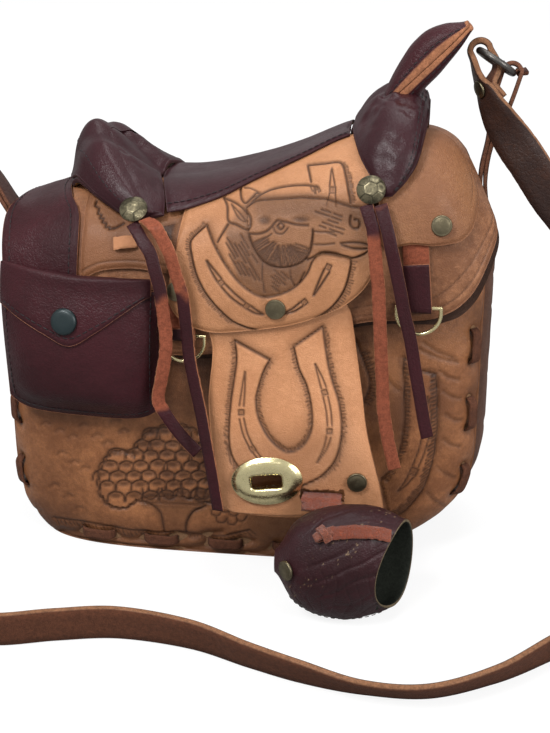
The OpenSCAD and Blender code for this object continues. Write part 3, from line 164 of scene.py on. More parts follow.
@dataclass
class MeshData:
    """Points, faces and painted marks of one piece."""

    points: Array
    faces: list[Array]
    marks: dict[str, Array] = field(default_factory=dict)

    def joined(self, other: "MeshData") -> "MeshData":
        """Both meshes as one."""
        shift = len(self.points)
        names = set(self.marks) | set(other.marks)
        marks = {
            n: np.concatenate([
                self.marks.get(n, np.zeros(shift)), other.marks.get(n, np.zeros(len(other.points)))
            ])
            for n in names
        }
        faces = self.faces + [f + shift for f in other.faces]
        return MeshData(np.vstack([self.points, other.points]), faces, marks)

    def volume(self) -> float:
        """Six times the signed volume, the sum of the faces' triple products."""
        total = 0.0
        for f in self.faces:
            a = self.points[f[:, 0]]
            for k in range(1, f.shape[1] - 1):
                total += float(np.sum(a * np.cross(self.points[f[:, k]], self.points[f[:, k + 1]])))
        return total

    def outward(self) -> "MeshData":
        """The mesh with its faces turned outwards."""
        if self.volume() < 0:
            self.faces = [f[:, ::-1] for f in self.faces]
        return self


def grid_faces(m: int, n: int, start: int = 0, closed: bool = False) -> Array:
    """Quads of a grid of m rows of n points; closed joins the last point of a row to its first."""
    i, j = np.meshgrid(np.arange(m - 1), np.arange(n if closed else n - 1), indexing="ij")
    k = (j + 1) % n
    quads = np.stack([i * n + j, (i + 1) * n + j, (i + 1) * n + k, i * n + k], axis=-1)
    return quads.reshape(-1, 4) + start


def edge_distance(face: Array) -> Array:
    """Distance of each point of a grid from its nearest edge, along its rows and columns."""
    near = []
    for axis in (0, 1):
        steps = np.linalg.norm(np.diff(face, axis=axis), axis=-1)
        pad = [(1, 0), (0, 0)] if axis == 0 else [(0, 0), (1, 0)]
        run = np.cumsum(np.pad(steps, pad), axis=axis)
        whole = np.take(run, [-1], axis=axis)
        near += [run, whole - run]
    return np.min(near, axis=0)


def hide_sheet(
    surface: Surface, rows: Array, columns: Array, thick: float, relief: Relief | None = None,
    coarse: int = 5, roll: float = 0.35,
) -> MeshData:
    """Sheet of leather with a carved skin, a rounded raw edge and a plain flesh side.

    The skin is surface(u, v, thick + height), the edge runs round four loops of points, and the
    flesh side is surface(u, v, 0) on a coarser grid.

    Args:
        surface: Point for u, v and the distance off the sheet's flesh side.
        rows: Values of u.
        columns: Values of v.
        thick: Thickness of the leather.
        relief: Height and ink of the carving at points of the skin.
        coarse: How many fine cells make one cell of the flesh side.
        roll: How far the skin falls at its edges, as a share of the thickness.

    Returns:
        The mesh with its marks ink, raw, flesh and rim.
    """
    u, v = np.meshgrid(rows, columns, indexing="ij")
    face = surface(u, v, np.full_like(u, thick))
    height, ink = relief(face) if relief else (np.zeros_like(u), np.zeros_like(u))
    near = edge_distance(face)
    height = height - roll * thick * bell(near, 0.6 * thick)
    skin = surface(u, v, thick + height)
    m, n = u.shape
    order = np.arange(m * n).reshape(m, n)
    ring = np.concatenate([order[0, :-1], order[:-1, -1], order[-1, :0:-1], order[:0:-1, 0]])
    inner = np.concatenate([order[1, :-1], order[:-1, -2], order[-2, :0:-1], order[:0:-1, 1]])
    flat = face.reshape(-1, 3)
    out = unit(flat[ring] - flat[inner]) * 0.1 * thick
    ru, rv = u.ravel()[ring], v.ravel()[ring]
    loops = [
        surface(ru, rv, np.full(len(ring), share * thick)) + push * out
        for share, push in ((0.72, 1.0), (0.25, 1.0), (0.0, 0.0))
    ]
    low_rows = np.unique(np.append(np.arange(0, m, coarse), m - 1))
    low_columns = np.unique(np.append(np.arange(0, n, coarse), n - 1))
    lu, lv = np.meshgrid(rows[low_rows], columns[low_columns], indexing="ij")
    low = surface(lu, lv, np.zeros_like(lu))
    points = np.vstack([skin.reshape(-1, 3), *loops, low.reshape(-1, 3)])
    size, count = m * n, len(ring)
    starts = [size + k * count for k in range(3)]
    turn = np.roll(np.arange(count), -1)
    faces = [grid_faces(m, n)]
    before = ring
    for start in starts:
        after = start + np.arange(count)
        faces.append(np.stack([before, before[turn], after[turn], after], axis=-1))
        before = after
    faces.append(grid_faces(*lu.shape, start=size + 3 * count)[:, ::-1])
    low_count = lu.size
    marks = {
        "ink": np.concatenate([ink.ravel(), np.zeros(3 * count + low_count)]),
        "raw": np.concatenate([np.zeros(size), np.ones(3 * count), np.zeros(low_count)]),
        "flesh": np.concatenate([np.zeros(size), np.zeros(2 * count), np.ones(count + low_count)]),
        "rim": np.concatenate([bell(near.ravel(), 2.2), np.ones(3 * count), np.zeros(low_count)]),
    }
    return MeshData(points, faces, marks).outward()


BAND_SECTION = (
    (-1.0, 0.0), (-0.99, 0.6), (-0.95, 0.96), (-0.5, 1.0), (0.0, 1.0), (0.5, 1.0), (0.95, 0.96),
    (0.99, 0.6), (1.0, 0.0), (0.99, -0.6), (0.95, -0.96), (0.5, -1.0), (0.0, -1.0), (-0.5, -1.0),
    (-0.95, -0.96), (-0.99, -0.6),
)


def strip(
    path: Array, wides: Array, width: Array | float, thick: float, fuzz: float = 0.0
) -> MeshData:
    """Flat strip of leather: a rounded rectangle carried along a path.

    Args:
        path: Middle of the strip.
        wides: Directions of its width along the path.
        width: Its width, or one for each point.
        thick: Its thickness.
        fuzz: Roughness of its cut edges.

    Returns:
        The mesh with its marks raw, flesh and rim; the skin is on the side of tangent x width.
    """
    tangent = unit(np.gradient(path, axis=0))
    wide = unit(wides - np.sum(wides * tangent, axis=-1, keepdims=True) * tangent)
    up = np.cross(tangent, wide)
    section = np.array(BAND_SECTION)
    half = (np.broadcast_to(width, len(path)) / 2)[:, None, None]
    rings = (
        path[:, None] + wide[:, None] * section[None, :, :1] * half
        + up[:, None] * section[None, :, 1:] * thick / 2
    )
    if fuzz:
        edge = (np.abs(section[:, 0]) > 0.97)[None, :, None]
        rings = rings + edge * wide[:, None] * fuzz * noise(rings, 1.6, 5)[..., None]
    m, n = rings.shape[:2]
    faces = [grid_faces(m, n, closed=True)]
    ends = np.stack([path[0], path[-1]])
    first, last = m * n, m * n + 1
    k = np.arange(n)
    faces.append(np.stack([np.full(n, first), (k + 1) % n, k], axis=-1)[:, ::-1])
    faces.append(
        np.stack([np.full(n, last), (m - 1) * n + k, (m - 1) * n + (k + 1) % n], axis=-1)[:, ::-1]
    )
    raw = np.tile((np.abs(section[:, 0]) > 0.97) * 1.0, m)
    flesh = np.tile((section[:, 1] < -0.9) * 1.0, m)
    rim = np.tile(bell(1 - np.abs(section[:, 0]), 0.25), m)
    marks = {k: np.append(v, [1.0, 1.0]) for k, v in (("raw", raw), ("flesh", flesh), ("rim", rim))}
    return MeshData(np.vstack([rings.reshape(-1, 3), ends]), faces, marks).outward()


@dataclass(frozen=True)
class Sewing:
    """Size of a row of stitches: their distance, their length and the radius of the thread."""

    pitch: float
    length: float
    radius: float


HINGE_SEWING = Sewing(4.2, 3.2, 0.4)
SEAT_SEWING = Sewing(3.0, 2.4, 0.22)
HORN_SEWING = Sewing(3.3, 2.6, 0.24)
POUCH_SEWING = Sewing(3.3, 2.7, 0.24)
HOOD_SEWING = Sewing(3.0, 2.2, 0.2)


def stitches(path: Array, normals: Array, sewing: Sewing) -> MeshData:
    """Row of thread stitches: small spindles laid end to end along a path.

    Args:
        path: Line of the seam on the leather.
        normals: Outward direction of the leather along it.
        sewing: Size of the stitches.

    Returns:
        One mesh with all the stitches.
    """
    run = along(path)
    count = max(int(run[-1] / sewing.pitch), 1)
    at = (np.arange(count) + 0.5) * run[-1] / count
    centre, slope, normal = (
        np.stack([np.interp(at, run, q[:, k]) for k in range(3)], axis=-1)
        for q in (path, np.gradient(path, run, axis=0), normals)
    )
    tangent = unit(slope)
    side = unit(np.cross(tangent, normal))
    normal = np.cross(side, tangent)
    turn = np.arange(6) * np.pi / 3
    rings = ((-1.0, 0.5, -1.1), (-0.6, 1.0, 0.1), (0.6, 1.0, 0.1), (1.0, 0.5, -1.1))
    shape = np.array([[x, r * np.cos(a), r * np.sin(a) + z] for x, r, z in rings for a in turn])
    points = (
        centre[:, None]
        + tangent[:, None] * shape[None, :, :1] * sewing.length / 2
        + side[:, None] * shape[None, :, 1:2] * sewing.radius
        + normal[:, None] * shape[None, :, 2:] * sewing.radius
    )
    one = grid_faces(4, 6, closed=True)
    faces = (one[None] + (np.arange(count) * len(shape))[:, None, None]).reshape(-1, 4)
    return MeshData(points.reshape(-1, 3), [faces]).outward()


def seam(surface: Surface, u: Array, v: Array, lift: float, sewing: Sewing) -> MeshData:
    """Stitches along the line (u, v) of a sheet, at the distance lift off its flesh side."""
    line = surface(u, v, np.full_like(u, lift))
    return stitches(line, surface(u, v, np.full_like(u, lift + 1.0)) - line, sewing)


class Lens:
    """The photograph's camera, which also lays drawings on the leather it sees."""

    azimuth = 7.0
    elevation = 25.0
    distance = 750.0
    target = np.array([16.0, -30.0, 98.0])
    frame_px = (550.0, 733.0)
    mm_per_px = 0.48
    sensor_mm = 36.0

    def __init__(self) -> None:
        """Work out the camera's axes and place from its angles."""
        az, el = np.radians(self.azimuth), np.radians(self.elevation)
        self.back = np.array([np.sin(az) * np.cos(el), -np.cos(az) * np.cos(el), np.sin(el)])
        self.right = np.array([np.cos(az), np.sin(az), 0.0])
        self.up = np.cross(self.back, self.right)
        self.place = self.target + self.back * self.distance

    def paper(self, points: Array) -> Array:
        """Places (across, down) of points on paper through the target, in photo pixels."""
        rel = np.asarray(points, float) - self.place
        depth = -(rel @ self.back)
        scale = self.distance / (depth * self.mm_per_px)
        return np.stack([
            self.frame_px[0] / 2 + (rel @ self.right) * scale,
            self.frame_px[1] / 2 - (rel @ self.up) * scale,
        ], axis=-1)

    def camera(self) -> bpy.types.Object:
        """Create the scene's camera."""
        data = bpy.data.cameras.new("camera")
        data.lens = self.distance / self.mm_per_px * self.sensor_mm / self.frame_px[1]
        data.sensor_width = self.sensor_mm
        data.clip_start = 0.05
        data.clip_end = 20.0
        obj = bpy.data.objects.new("camera", data)
        bpy.context.collection.objects.link(obj)
        turn = np.column_stack([self.right, self.up, self.back])
        matrix = np.eye(4)
        matrix[:3, :3] = turn
        matrix[:3, 3] = self.place * METRES
        obj.matrix_world = Matrix(matrix.tolist())
        bpy.context.scene.camera = obj
        return obj


class Cut(Enum):
    """Ways in which a drawn line is worked into the leather, as (depth, half width, ink)."""

    KNIFE = (0.85, 0.56, 1.0)
    FINE = (0.55, 0.42, 0.95)
    HAIR = (0.45, 0.38, 0.85)
    SOFT = (0.6, 1.0, 0.45)
    FOLD = (1.6, 1.8, 0.6)


@dataclass
class Carving:
    """Lines and bevelled shapes drawn on paper before the lens and carved into leather.

    corner and pitch place the drawing: a drawn place (x, y) is corner + pitch * (x, y) in photo
    pixels.
    """

    lens: Lens
    corner: tuple[float, float] = (0.0, 0.0)
    pitch: float = 1.0
    lines: list[tuple[Array, Cut]] = field(default_factory=list)
    bevels: list[tuple[Array, float, float, bool]] = field(default_factory=list)
    shades: list[tuple[Array, float, float]] = field(default_factory=list)
    tones: list[tuple[Array, float, float]] = field(default_factory=list)

    def place(self, points: Sequence) -> Array:
        """Drawn points in photo pixels."""
        return np.asarray(self.corner) + self.pitch * np.asarray(points, float)

    def curve(self, points: Sequence, cut: Cut = Cut.KNIFE, closed: bool = False) -> "Carving":
        """Add a smooth line through the points."""
        p = self.place(list(points) + [points[0]] if closed else points)
        if len(p) > 2:
            p = spline(p, np.linspace(0, 1, 5 * (len(p) - 1) + 1))
        self.lines.append((p, cut))
        return self

    def straight(self, points: Sequence, cut: Cut = Cut.KNIFE) -> "Carving":
        """Add a line with corners at the points."""
        self.lines.append((self.place(points), cut))
        return self

    def shape(self, points: Sequence, depth: float, fall: float, outside: bool = True) -> "Carving":
        """Bevel the leather down beside a closed outline, outside it or inside."""
        self.bevels.append((self.place(list(points) + [points[0]]), depth, fall, outside))
        return self

    def shade(self, centre: Sequence, radii: Sequence, depth: float, ink: float) -> "Carving":
        """Press and darken an oval hollow."""
        spot = np.array([*self.place(centre), *(self.pitch * np.asarray(radii, float))])
        self.shades.append((spot, depth, ink))
        return self

    def tone(self, region: Sequence, ink: float, blur: float = 3.0) -> "Carving":
        """Darken a region with ink, used both for stains and for painted shade, with a soft border
        as wide as blur in photo pixels.
        """
        self.tones.append((self.place(list(region) + [region[0]]), ink, blur))
        return self

    def hatch(
        self, line: Sequence, length: float, step: float, lean: float = 0.0, cut: Cut = Cut.HAIR,
        seed: int = 1,
    ) -> "Carving":
        """Add short strokes beside a line, on its left for a positive length.

        Args:
            line: The line's points.
            length: Length of the strokes, in drawn units.
            step: Distance between them, in drawn units.
            lean: Turn of the strokes from the line's normal, in degrees.
            cut: How they are cut.
            seed: Number that picks their unevenness.

        Returns:
            The carving.
        """
        p = self.place(line)
        if len(p) > 2:
            p = spline(p, np.linspace(0, 1, 8 * (len(p) - 1) + 1))
        run = along(p)
        at = np.arange(0.5 * step * self.pitch, run[-1], step * self.pitch)
        rng = np.random.default_rng(seed)
        x, y = np.interp(at, run, p[:, 0]), np.interp(at, run, p[:, 1])
        g = np.gradient(p, run, axis=0)
        t = unit(np.stack([np.interp(at, run, g[:, 0]), np.interp(at, run, g[:, 1])], axis=-1))
        a = np.radians(90 + lean + rng.uniform(-6, 6, len(at)))
        d = np.stack([
            t[:, 0] * np.cos(a) - t[:, 1] * np.sin(a), t[:, 0] * np.sin(a) + t[:, 1] * np.cos(a)
        ], axis=-1)
        reach = length * self.pitch * rng.uniform(0.7, 1.15, len(at))
        start = np.stack([x, y], axis=-1)
        for s, e in zip(start, start + d * reach[:, None]):
            self.lines.append((np.stack([s, e]), cut))
        return self

    def ribbon(self, points: Sequence, halves: Sequence, cut: Cut = Cut.FINE) -> "Carving":
        """Two lines beside a centre line, at the half widths given at its points."""
        line = np.asarray(points, float)
        way = unit(np.gradient(line, axis=0))
        side = np.stack([-way[:, 1], way[:, 0]], axis=-1) * np.asarray(halves, float)[:, None]
        return self.curve(line + side, cut).curve(line - side, cut)

    def nail(self, centre: Sequence, half: float, way: Sequence) -> "Carving":
        """Small square nail hole between two ribbons."""
        x = unit(np.asarray(way, float)) * half
        y = np.array([-x[1], x[0]])
        c = np.asarray(centre, float)
        self.straight([c + x + y, c - x + y, c - x - y, c + x - y, c + x + y], Cut.FINE)
        return self.shade(centre, (0.9 * half, 0.9 * half), 0.5, 0.55)

    def scallops(self, outline: Sequence, count: int, bulge: float) -> "Carving":
        """Small bulges side by side along an outline."""
        p = spline(np.asarray(outline, float), np.linspace(0, 1, count + 1))
        for a, b in zip(p[:-1], p[1:]):
            out = np.array([b[1] - a[1], a[0] - b[0]]) * bulge
            self.curve([
                a, lerp(a, b, 0.2) + 0.8 * out, lerp(a, b, 0.5) + out, lerp(a, b, 0.8) + 0.8 * out,
                b,
            ])
        return self

    def fill(
        self, region: Sequence, direction: Sequence, step: float, stroke: float, seed: int = 2
    ) -> "Carving":
        """Fill a region with broken strokes that run in one direction."""
        poly = self.place(region)
        d = unit(np.asarray(direction, float))
        side = np.array([-d[1], d[0]])
        rng = np.random.default_rng(seed)
        low, high = (poly @ side).min(), (poly @ side).max()
        start, end = (poly @ d).min(), (poly @ d).max()
        for s in np.arange(low, high, step * self.pitch):
            at = start + rng.uniform(0, stroke * self.pitch)
            while at < end:
                reach = stroke * self.pitch * rng.uniform(0.5, 1.2)
                ends = np.stack(
                    [side * s + d * at, side * (s + rng.uniform(-0.3, 0.3)) + d * (at + reach)]
                )
                if inside(ends, poly).all():
                    self.lines.append((ends, Cut.FINE))
                at += reach + stroke * self.pitch * rng.uniform(0.1, 0.4)
        return self

    def __call__(self, points: Array) -> tuple[Array, Array]:
        """Height and ink of the carving at points of the skin.

        Height is minus depth times a bell of the distance from each line, and a bevel falls with
        exp(-distance / fall) beside its outline. The deepest cut counts.
        """
        p = self.lens.paper(points).reshape(-1, 2)
        cut, ramp, ink = np.zeros(len(p)), np.zeros(len(p)), np.zeros(len(p))
        mm = self.lens.mm_per_px
        for line, kind in self.lines:
            depth, half, dark = kind.value
            near, d = self.distance(p, line, 3 * half / mm)
            d = d * mm
            cut[near] = np.maximum(cut[near], depth * bell(d, half))
            ink[near] = np.maximum(ink[near], dark * bell(d, 1.15 * half))
        for outline, depth, fall, outside in self.bevels:
            near, d = self.distance(p, outline, 4 * fall / mm)
            keep = inside(p[near], outline) != outside
            amount = np.exp(-d * mm / fall) * keep
            ramp[near] = np.maximum(ramp[near], depth * amount)
            # Beside the outline the bevel's ink is partly the darker pressed leather of a bevel and
            # partly painted shade for the bevel's depth.
            ink[near] = np.maximum(ink[near], 0.75 * amount)
        for spot, depth, dark in self.shades:
            r = np.hypot((p[:, 0] - spot[0]) / spot[2], (p[:, 1] - spot[1]) / spot[3])
            amount = smooth(1.3 - r)
            ramp = np.maximum(ramp, depth * amount)
            ink = np.maximum(ink, dark * amount)
        # Tones add real stains and painted shade alike.
        for region, dark, blur in self.tones:
            near, d = self.distance(p, region, 3 * blur)
            amount = np.where(inside(p, region), 1.0, 0.0)
            amount[near] = smooth(0.5 + np.where(amount[near] > 0, d, -d) / (2 * blur))
            stain_and_shade = dark * amount
            ink = ink + stain_and_shade * (1 - ink)
        shape = np.shape(points)[:-1]
        return -(cut + ramp).reshape(shape), ink.reshape(shape)

    @staticmethod
    def distance(p: Array, line: Array, reach: float) -> tuple[Array, Array]:
        """Which points lie near a line of segments, and their distances from it."""
        low, high = line.min(0) - reach, line.max(0) + reach
        near = np.flatnonzero(((p > low) & (p < high)).all(axis=1))
        a, b = line[:-1], line[1:]
        q = p[near][:, None] - a[None]
        e = (b - a)[None]
        f = np.clip(np.sum(q * e, axis=-1) / np.maximum(np.sum(e * e, axis=-1), 1e-9), 0, 1)
        return (
            near, np.linalg.norm(q - f[..., None] * e, axis=-1).min(axis=1)
            if len(near) else np.zeros(0)
        )


def inside(p: Array, outline: Array) -> Array:
    """Whether points lie inside a closed outline: an odd number of its sides passes above them."""
    a, b = outline, np.roll(outline, -1, axis=0)
    over = (a[None, :, 1] > p[:, None, 1]) != (b[None, :, 1] > p[:, None, 1])
    with np.errstate(divide="ignore", invalid="ignore"):
        x = a[:, 0] + (p[:, None, 1] - a[:, 1]) * (b[:, 0] - a[:, 0]) / (b[:, 1] - a[:, 1])
    return (np.sum(over & (p[:, None, 0] < x), axis=1) % 2).astype(bool)


@dataclass(frozen=True)
class Hide:
    """Thicknesses that the pieces share."""

    hide_t: float = 2.2
    soft_t: float = 1.5
    lining_t: float = 1.5
    gap: float = 0.3

    @property
    def layer_1(self) -> float:
        """Height of the second layer of leather over the drape."""
        return self.hide_t + self.gap

    @property
    def seat_base(self) -> float:
        """Height of the seat's edges over the drape, above three layers."""
        return 3 * self.layer_1


HIDE = Hide()


@dataclass(frozen=True)
class BagForm:
    """Walls of the bag's body: ovals of a high power stacked up to the mouth."""

    half_w: float = 120.0
    half_d: float = 48.0
    mouth_h: float = 155.0
    left_round: float = 0.12
    right_round: float = 0.45
    right_width: float = 0.98
    left_round_h: float = 60.0
    right_round_h: float = 75.0
    full_h: float = 50.0
    depth_fall: float = 0.63
    plan_power: float = 4.0
    left_power: float = 4.0
    right_power: float = 3.5
    seam_turn: float = 31.0

    def width(self, z: Array, side: Array) -> Array:
        """Half width at height z on the side of the sign of side."""
        left = 1 - self.left_round * (1 - np.minimum(z / self.left_round_h, 1)) ** self.left_power
        right = self.right_width * (
            1 - self.right_round * (1 - np.minimum(z / self.right_round_h, 1)) ** self.right_power
        )
        return self.half_w * np.where(np.asarray(side) < 0, left, right)

    def depth(self, z: Array) -> Array:
        """Half depth at height z."""
        return self.half_d * (1 - self.depth_fall * ((z - self.full_h) / self.mouth_h) ** 2)

    def wall(self, angle: Array, z: Array, off: Array) -> Array:
        """Point of the wall at an angle in degrees from X and a height, off outwards."""
        a = np.radians(angle)
        c, s = np.cos(a), np.sin(a)
        r = (np.abs(c) ** self.plan_power + np.abs(s) ** self.plan_power) ** (-1 / self.plan_power)
        qx, qy = r * c, r * s
        w, d = self.width(z, qx), self.depth(z)
        k = self.plan_power - 1
        n = unit(
            np.stack(
                [np.sign(qx) * np.abs(qx) ** k / w, np.sign(qy) * np.abs(qy) ** k / d], axis=-1
            )
        )
        return np.stack([w * qx + off * n[..., 0], d * qy + off * n[..., 1], z + 0 * off], axis=-1)


@dataclass(frozen=True)
class SaddleDrape:
    """Surface over which the flap's leather is laid.

    xs runs from -1 at the cantle end to 1 at the horn end. t is -1 at the hinge, 0 on the ridge and
    1 where the front hangs straight. A section is a quarter of an oval on either side of the ridge.
    """

    half_w: float = 120.0
    ridge_low: float = 172.0
    ridge_rise: float = 36.5
    front_reach: float = 50.0
    back_reach: float = 38.0
    front_power: float = 3.0
    back_power: float = 2.0
    shoulder_drop: float = 75.0
    hinge_h: float = 150.0
    plan_fall: float = 0.2
    ridge: tuple[float, ...] = (-0.3, -0.05, 0.17, 0.16, 0.17, 0.3, 0.54, 0.84, 1.0, 0.85, 0)
    shoulder: tuple[float, ...] = (0, 0.16, 0.24, 0.23, 0.24, 0.36, 0.57, 0.85, 1.0, 0.85, 0)

    @property
    def hang(self) -> float:
        """Drop of the hanging part for one unit of t."""
        return 1.2 * self.shoulder_drop

    def heights(self, shares: Sequence, xs: Array) -> Array:
        """Height at xs from a table of shares."""
        return self.ridge_low + self.ridge_rise * spline(shares, (np.clip(xs, -1, 1) + 1) / 2)

    def point(self, xs: Array | float, t: Array | float, off: Array | float = 0.0) -> Array:
        """Point of the drape at xs and t, lifted by off along its normal."""
        xs, t, off = np.broadcast_arrays(*(np.asarray(q, float) for q in (xs, t, off)))
        behind = t < 0
        p = np.where(behind, self.back_power, self.front_power)
        a = np.radians(90 * (1 - np.minimum(np.abs(t), 1)))
        c, s = np.abs(np.cos(a)), np.abs(np.sin(a))
        r = (c**p + s**p) ** (-1 / p)
        q0, q1 = r * c, r * s
        top = self.heights(self.ridge, xs)
        reach = np.where(
            behind, self.back_reach, self.front_reach * (1 - self.plan_fall * np.abs(xs) ** 3)
        )
        drop = top - np.where(
            behind, self.hinge_h, self.heights(self.shoulder, xs) - self.shoulder_drop
        )
        n = unit(np.stack([q0 ** (p - 1) / reach, q1 ** (p - 1) / drop], axis=-1))
        y = reach * q0 + off * n[..., 0]
        z = top - drop * (1 - q1) - np.maximum(np.abs(t) - 1, 0) * self.hang + off * n[..., 1]
        return np.stack([xs * self.half_w, np.where(behind, y, -y), z], axis=-1)

    def t_at(self, xs: Array, z: Array) -> Array:
        """Value of t at which the front reaches the height z."""
        top = self.heights(self.ridge, xs)
        low = self.heights(self.shoulder, xs) - self.shoulder_drop
        q = 1 - (top - z) / (top - low)
        up = np.maximum(q, 0)
        bend = 1 - np.degrees(
            np.arctan2(up, (1 - up**self.front_power) ** (1 / self.front_power))
        ) / 90
        return np.where(q < 0, 1 + (low - z) / self.hang, bend)

    def normal(self, xs: Array, t: Array) -> Array:
        """Outward direction at xs and t."""
        return unit(self.point(xs, t, 1.0) - self.point(xs, t, 0.0))


BAG = BagForm()
DRAPE = SaddleDrape()


class Graph:
    """A node tree with short calls to add and join nodes."""

    def __init__(self, tree: bpy.types.NodeTree) -> None:
        """Start from an emptied tree."""
        self.tree = tree
        tree.nodes.clear()

    def add(self, kind: str, inputs: dict | None = None, **settings: object) -> bpy.types.Node:
        """Add a node, set its properties and its inputs, and join those given as sockets."""
        node = self.tree.nodes.new(kind)
        for key, value in settings.items():
            setattr(node, key, value)
        for key, value in (inputs or {}).items():
            if isinstance(value, bpy.types.NodeSocket):
                self.tree.links.new(value, node.inputs[key])
            else:
                node.inputs[key].default_value = value
        return node

    def output(self, kind: str, result: bpy.types.NodeSocket) -> None:
        """Add the tree's output node and join the result to it."""
        self.tree.links.new(result, self.add(kind).inputs[0])

    def math(self, how: str, a: object, b: object, clamp: bool = False) -> bpy.types.NodeSocket:
        """Result of a Math node."""
        return self.add("ShaderNodeMath", {0: a, 1: b}, operation=how, use_clamp=clamp).outputs[0]

    def plus(self, a: object, b: object, clamp: bool = False) -> bpy.types.NodeSocket:
        """Sum of two values."""
        return self.math("ADD", a, b, clamp)

    def times(self, a: object, b: object, clamp: bool = False) -> bpy.types.NodeSocket:
        """Product of two values."""
        return self.math("MULTIPLY", a, b, clamp)

    def cloud(
        self, vector: object, scale: object, detail: float, roughness: float = 0.5
    ) -> bpy.types.NodeSocket:
        """Value of a noise texture."""
        inputs = {"Vector": vector, "Scale": scale, "Detail": detail, "Roughness": roughness}
        return self.add("ShaderNodeTexNoise", inputs).outputs["Fac"]

    def mix(self, factor: object, a: object, b: object, blend: str = "MIX") -> bpy.types.NodeSocket:
        """Mixed colour."""
        node = self.add("ShaderNodeMix", data_type="RGBA", blend_type=blend)
        for key, value in ((0, factor), (6, a), (7, b)):
            if isinstance(value, bpy.types.NodeSocket):
                self.tree.links.new(value, node.inputs[key])
            elif key == 0:
                node.inputs[key].default_value = value
            else:
                node.inputs[key].default_value = (*value, 1.0)
        return node.outputs[2]

    def ramp(self, value: object, low: float, high: float) -> bpy.types.NodeSocket:
        """Value stretched so that low becomes 0 and high becomes 1, smoothly."""
        return self.add(
            "ShaderNodeMapRange", {"Value": value, "From Min": low, "From Max": high},
            interpolation_type="SMOOTHSTEP",
        ).outputs[0]

    def mark(self, name: str) -> bpy.types.NodeSocket:
        """Value painted on the piece's points."""
        return self.add("ShaderNodeAttribute", attribute_name=name).outputs["Fac"]

    def objects(self) -> bpy.types.NodeSocket:
        """Object coordinates."""
        return self.add("ShaderNodeTexCoord").outputs["Object"]


def new_material(name: str) -> tuple[bpy.types.Material, Graph]:
    """New material and the graph of its nodes."""
    mat = bpy.data.materials.new(name)
    mat.use_nodes = True
    return mat, Graph(mat.node_tree)


def shader_group(
    name: str, inputs: dict[str, float], outputs: Sequence[str]
) -> tuple[Graph, dict, dict]:
    """New node group with a Vector input, value inputs and value outputs.

    Args:
        name: The group's name.
        inputs: Names and defaults of its value inputs.
        outputs: Names of its outputs.

    Returns:
        The graph, its input sockets and its output sockets.
    """
    tree = bpy.data.node_groups.new(name, "ShaderNodeTree")
    tree.interface.new_socket("Vector", in_out="INPUT", socket_type="NodeSocketVector")
    for key, value in inputs.items():
        tree.interface.new_socket(
            key, in_out="INPUT", socket_type="NodeSocketFloat"
        ).default_value = value
    for key in outputs:
        tree.interface.new_socket(key, in_out="OUTPUT", socket_type="NodeSocketFloat")
    graph = Graph(tree)
    source, sink = graph.add("NodeGroupInput"), graph.add("NodeGroupOutput")
    return graph, source.outputs, sink.inputs


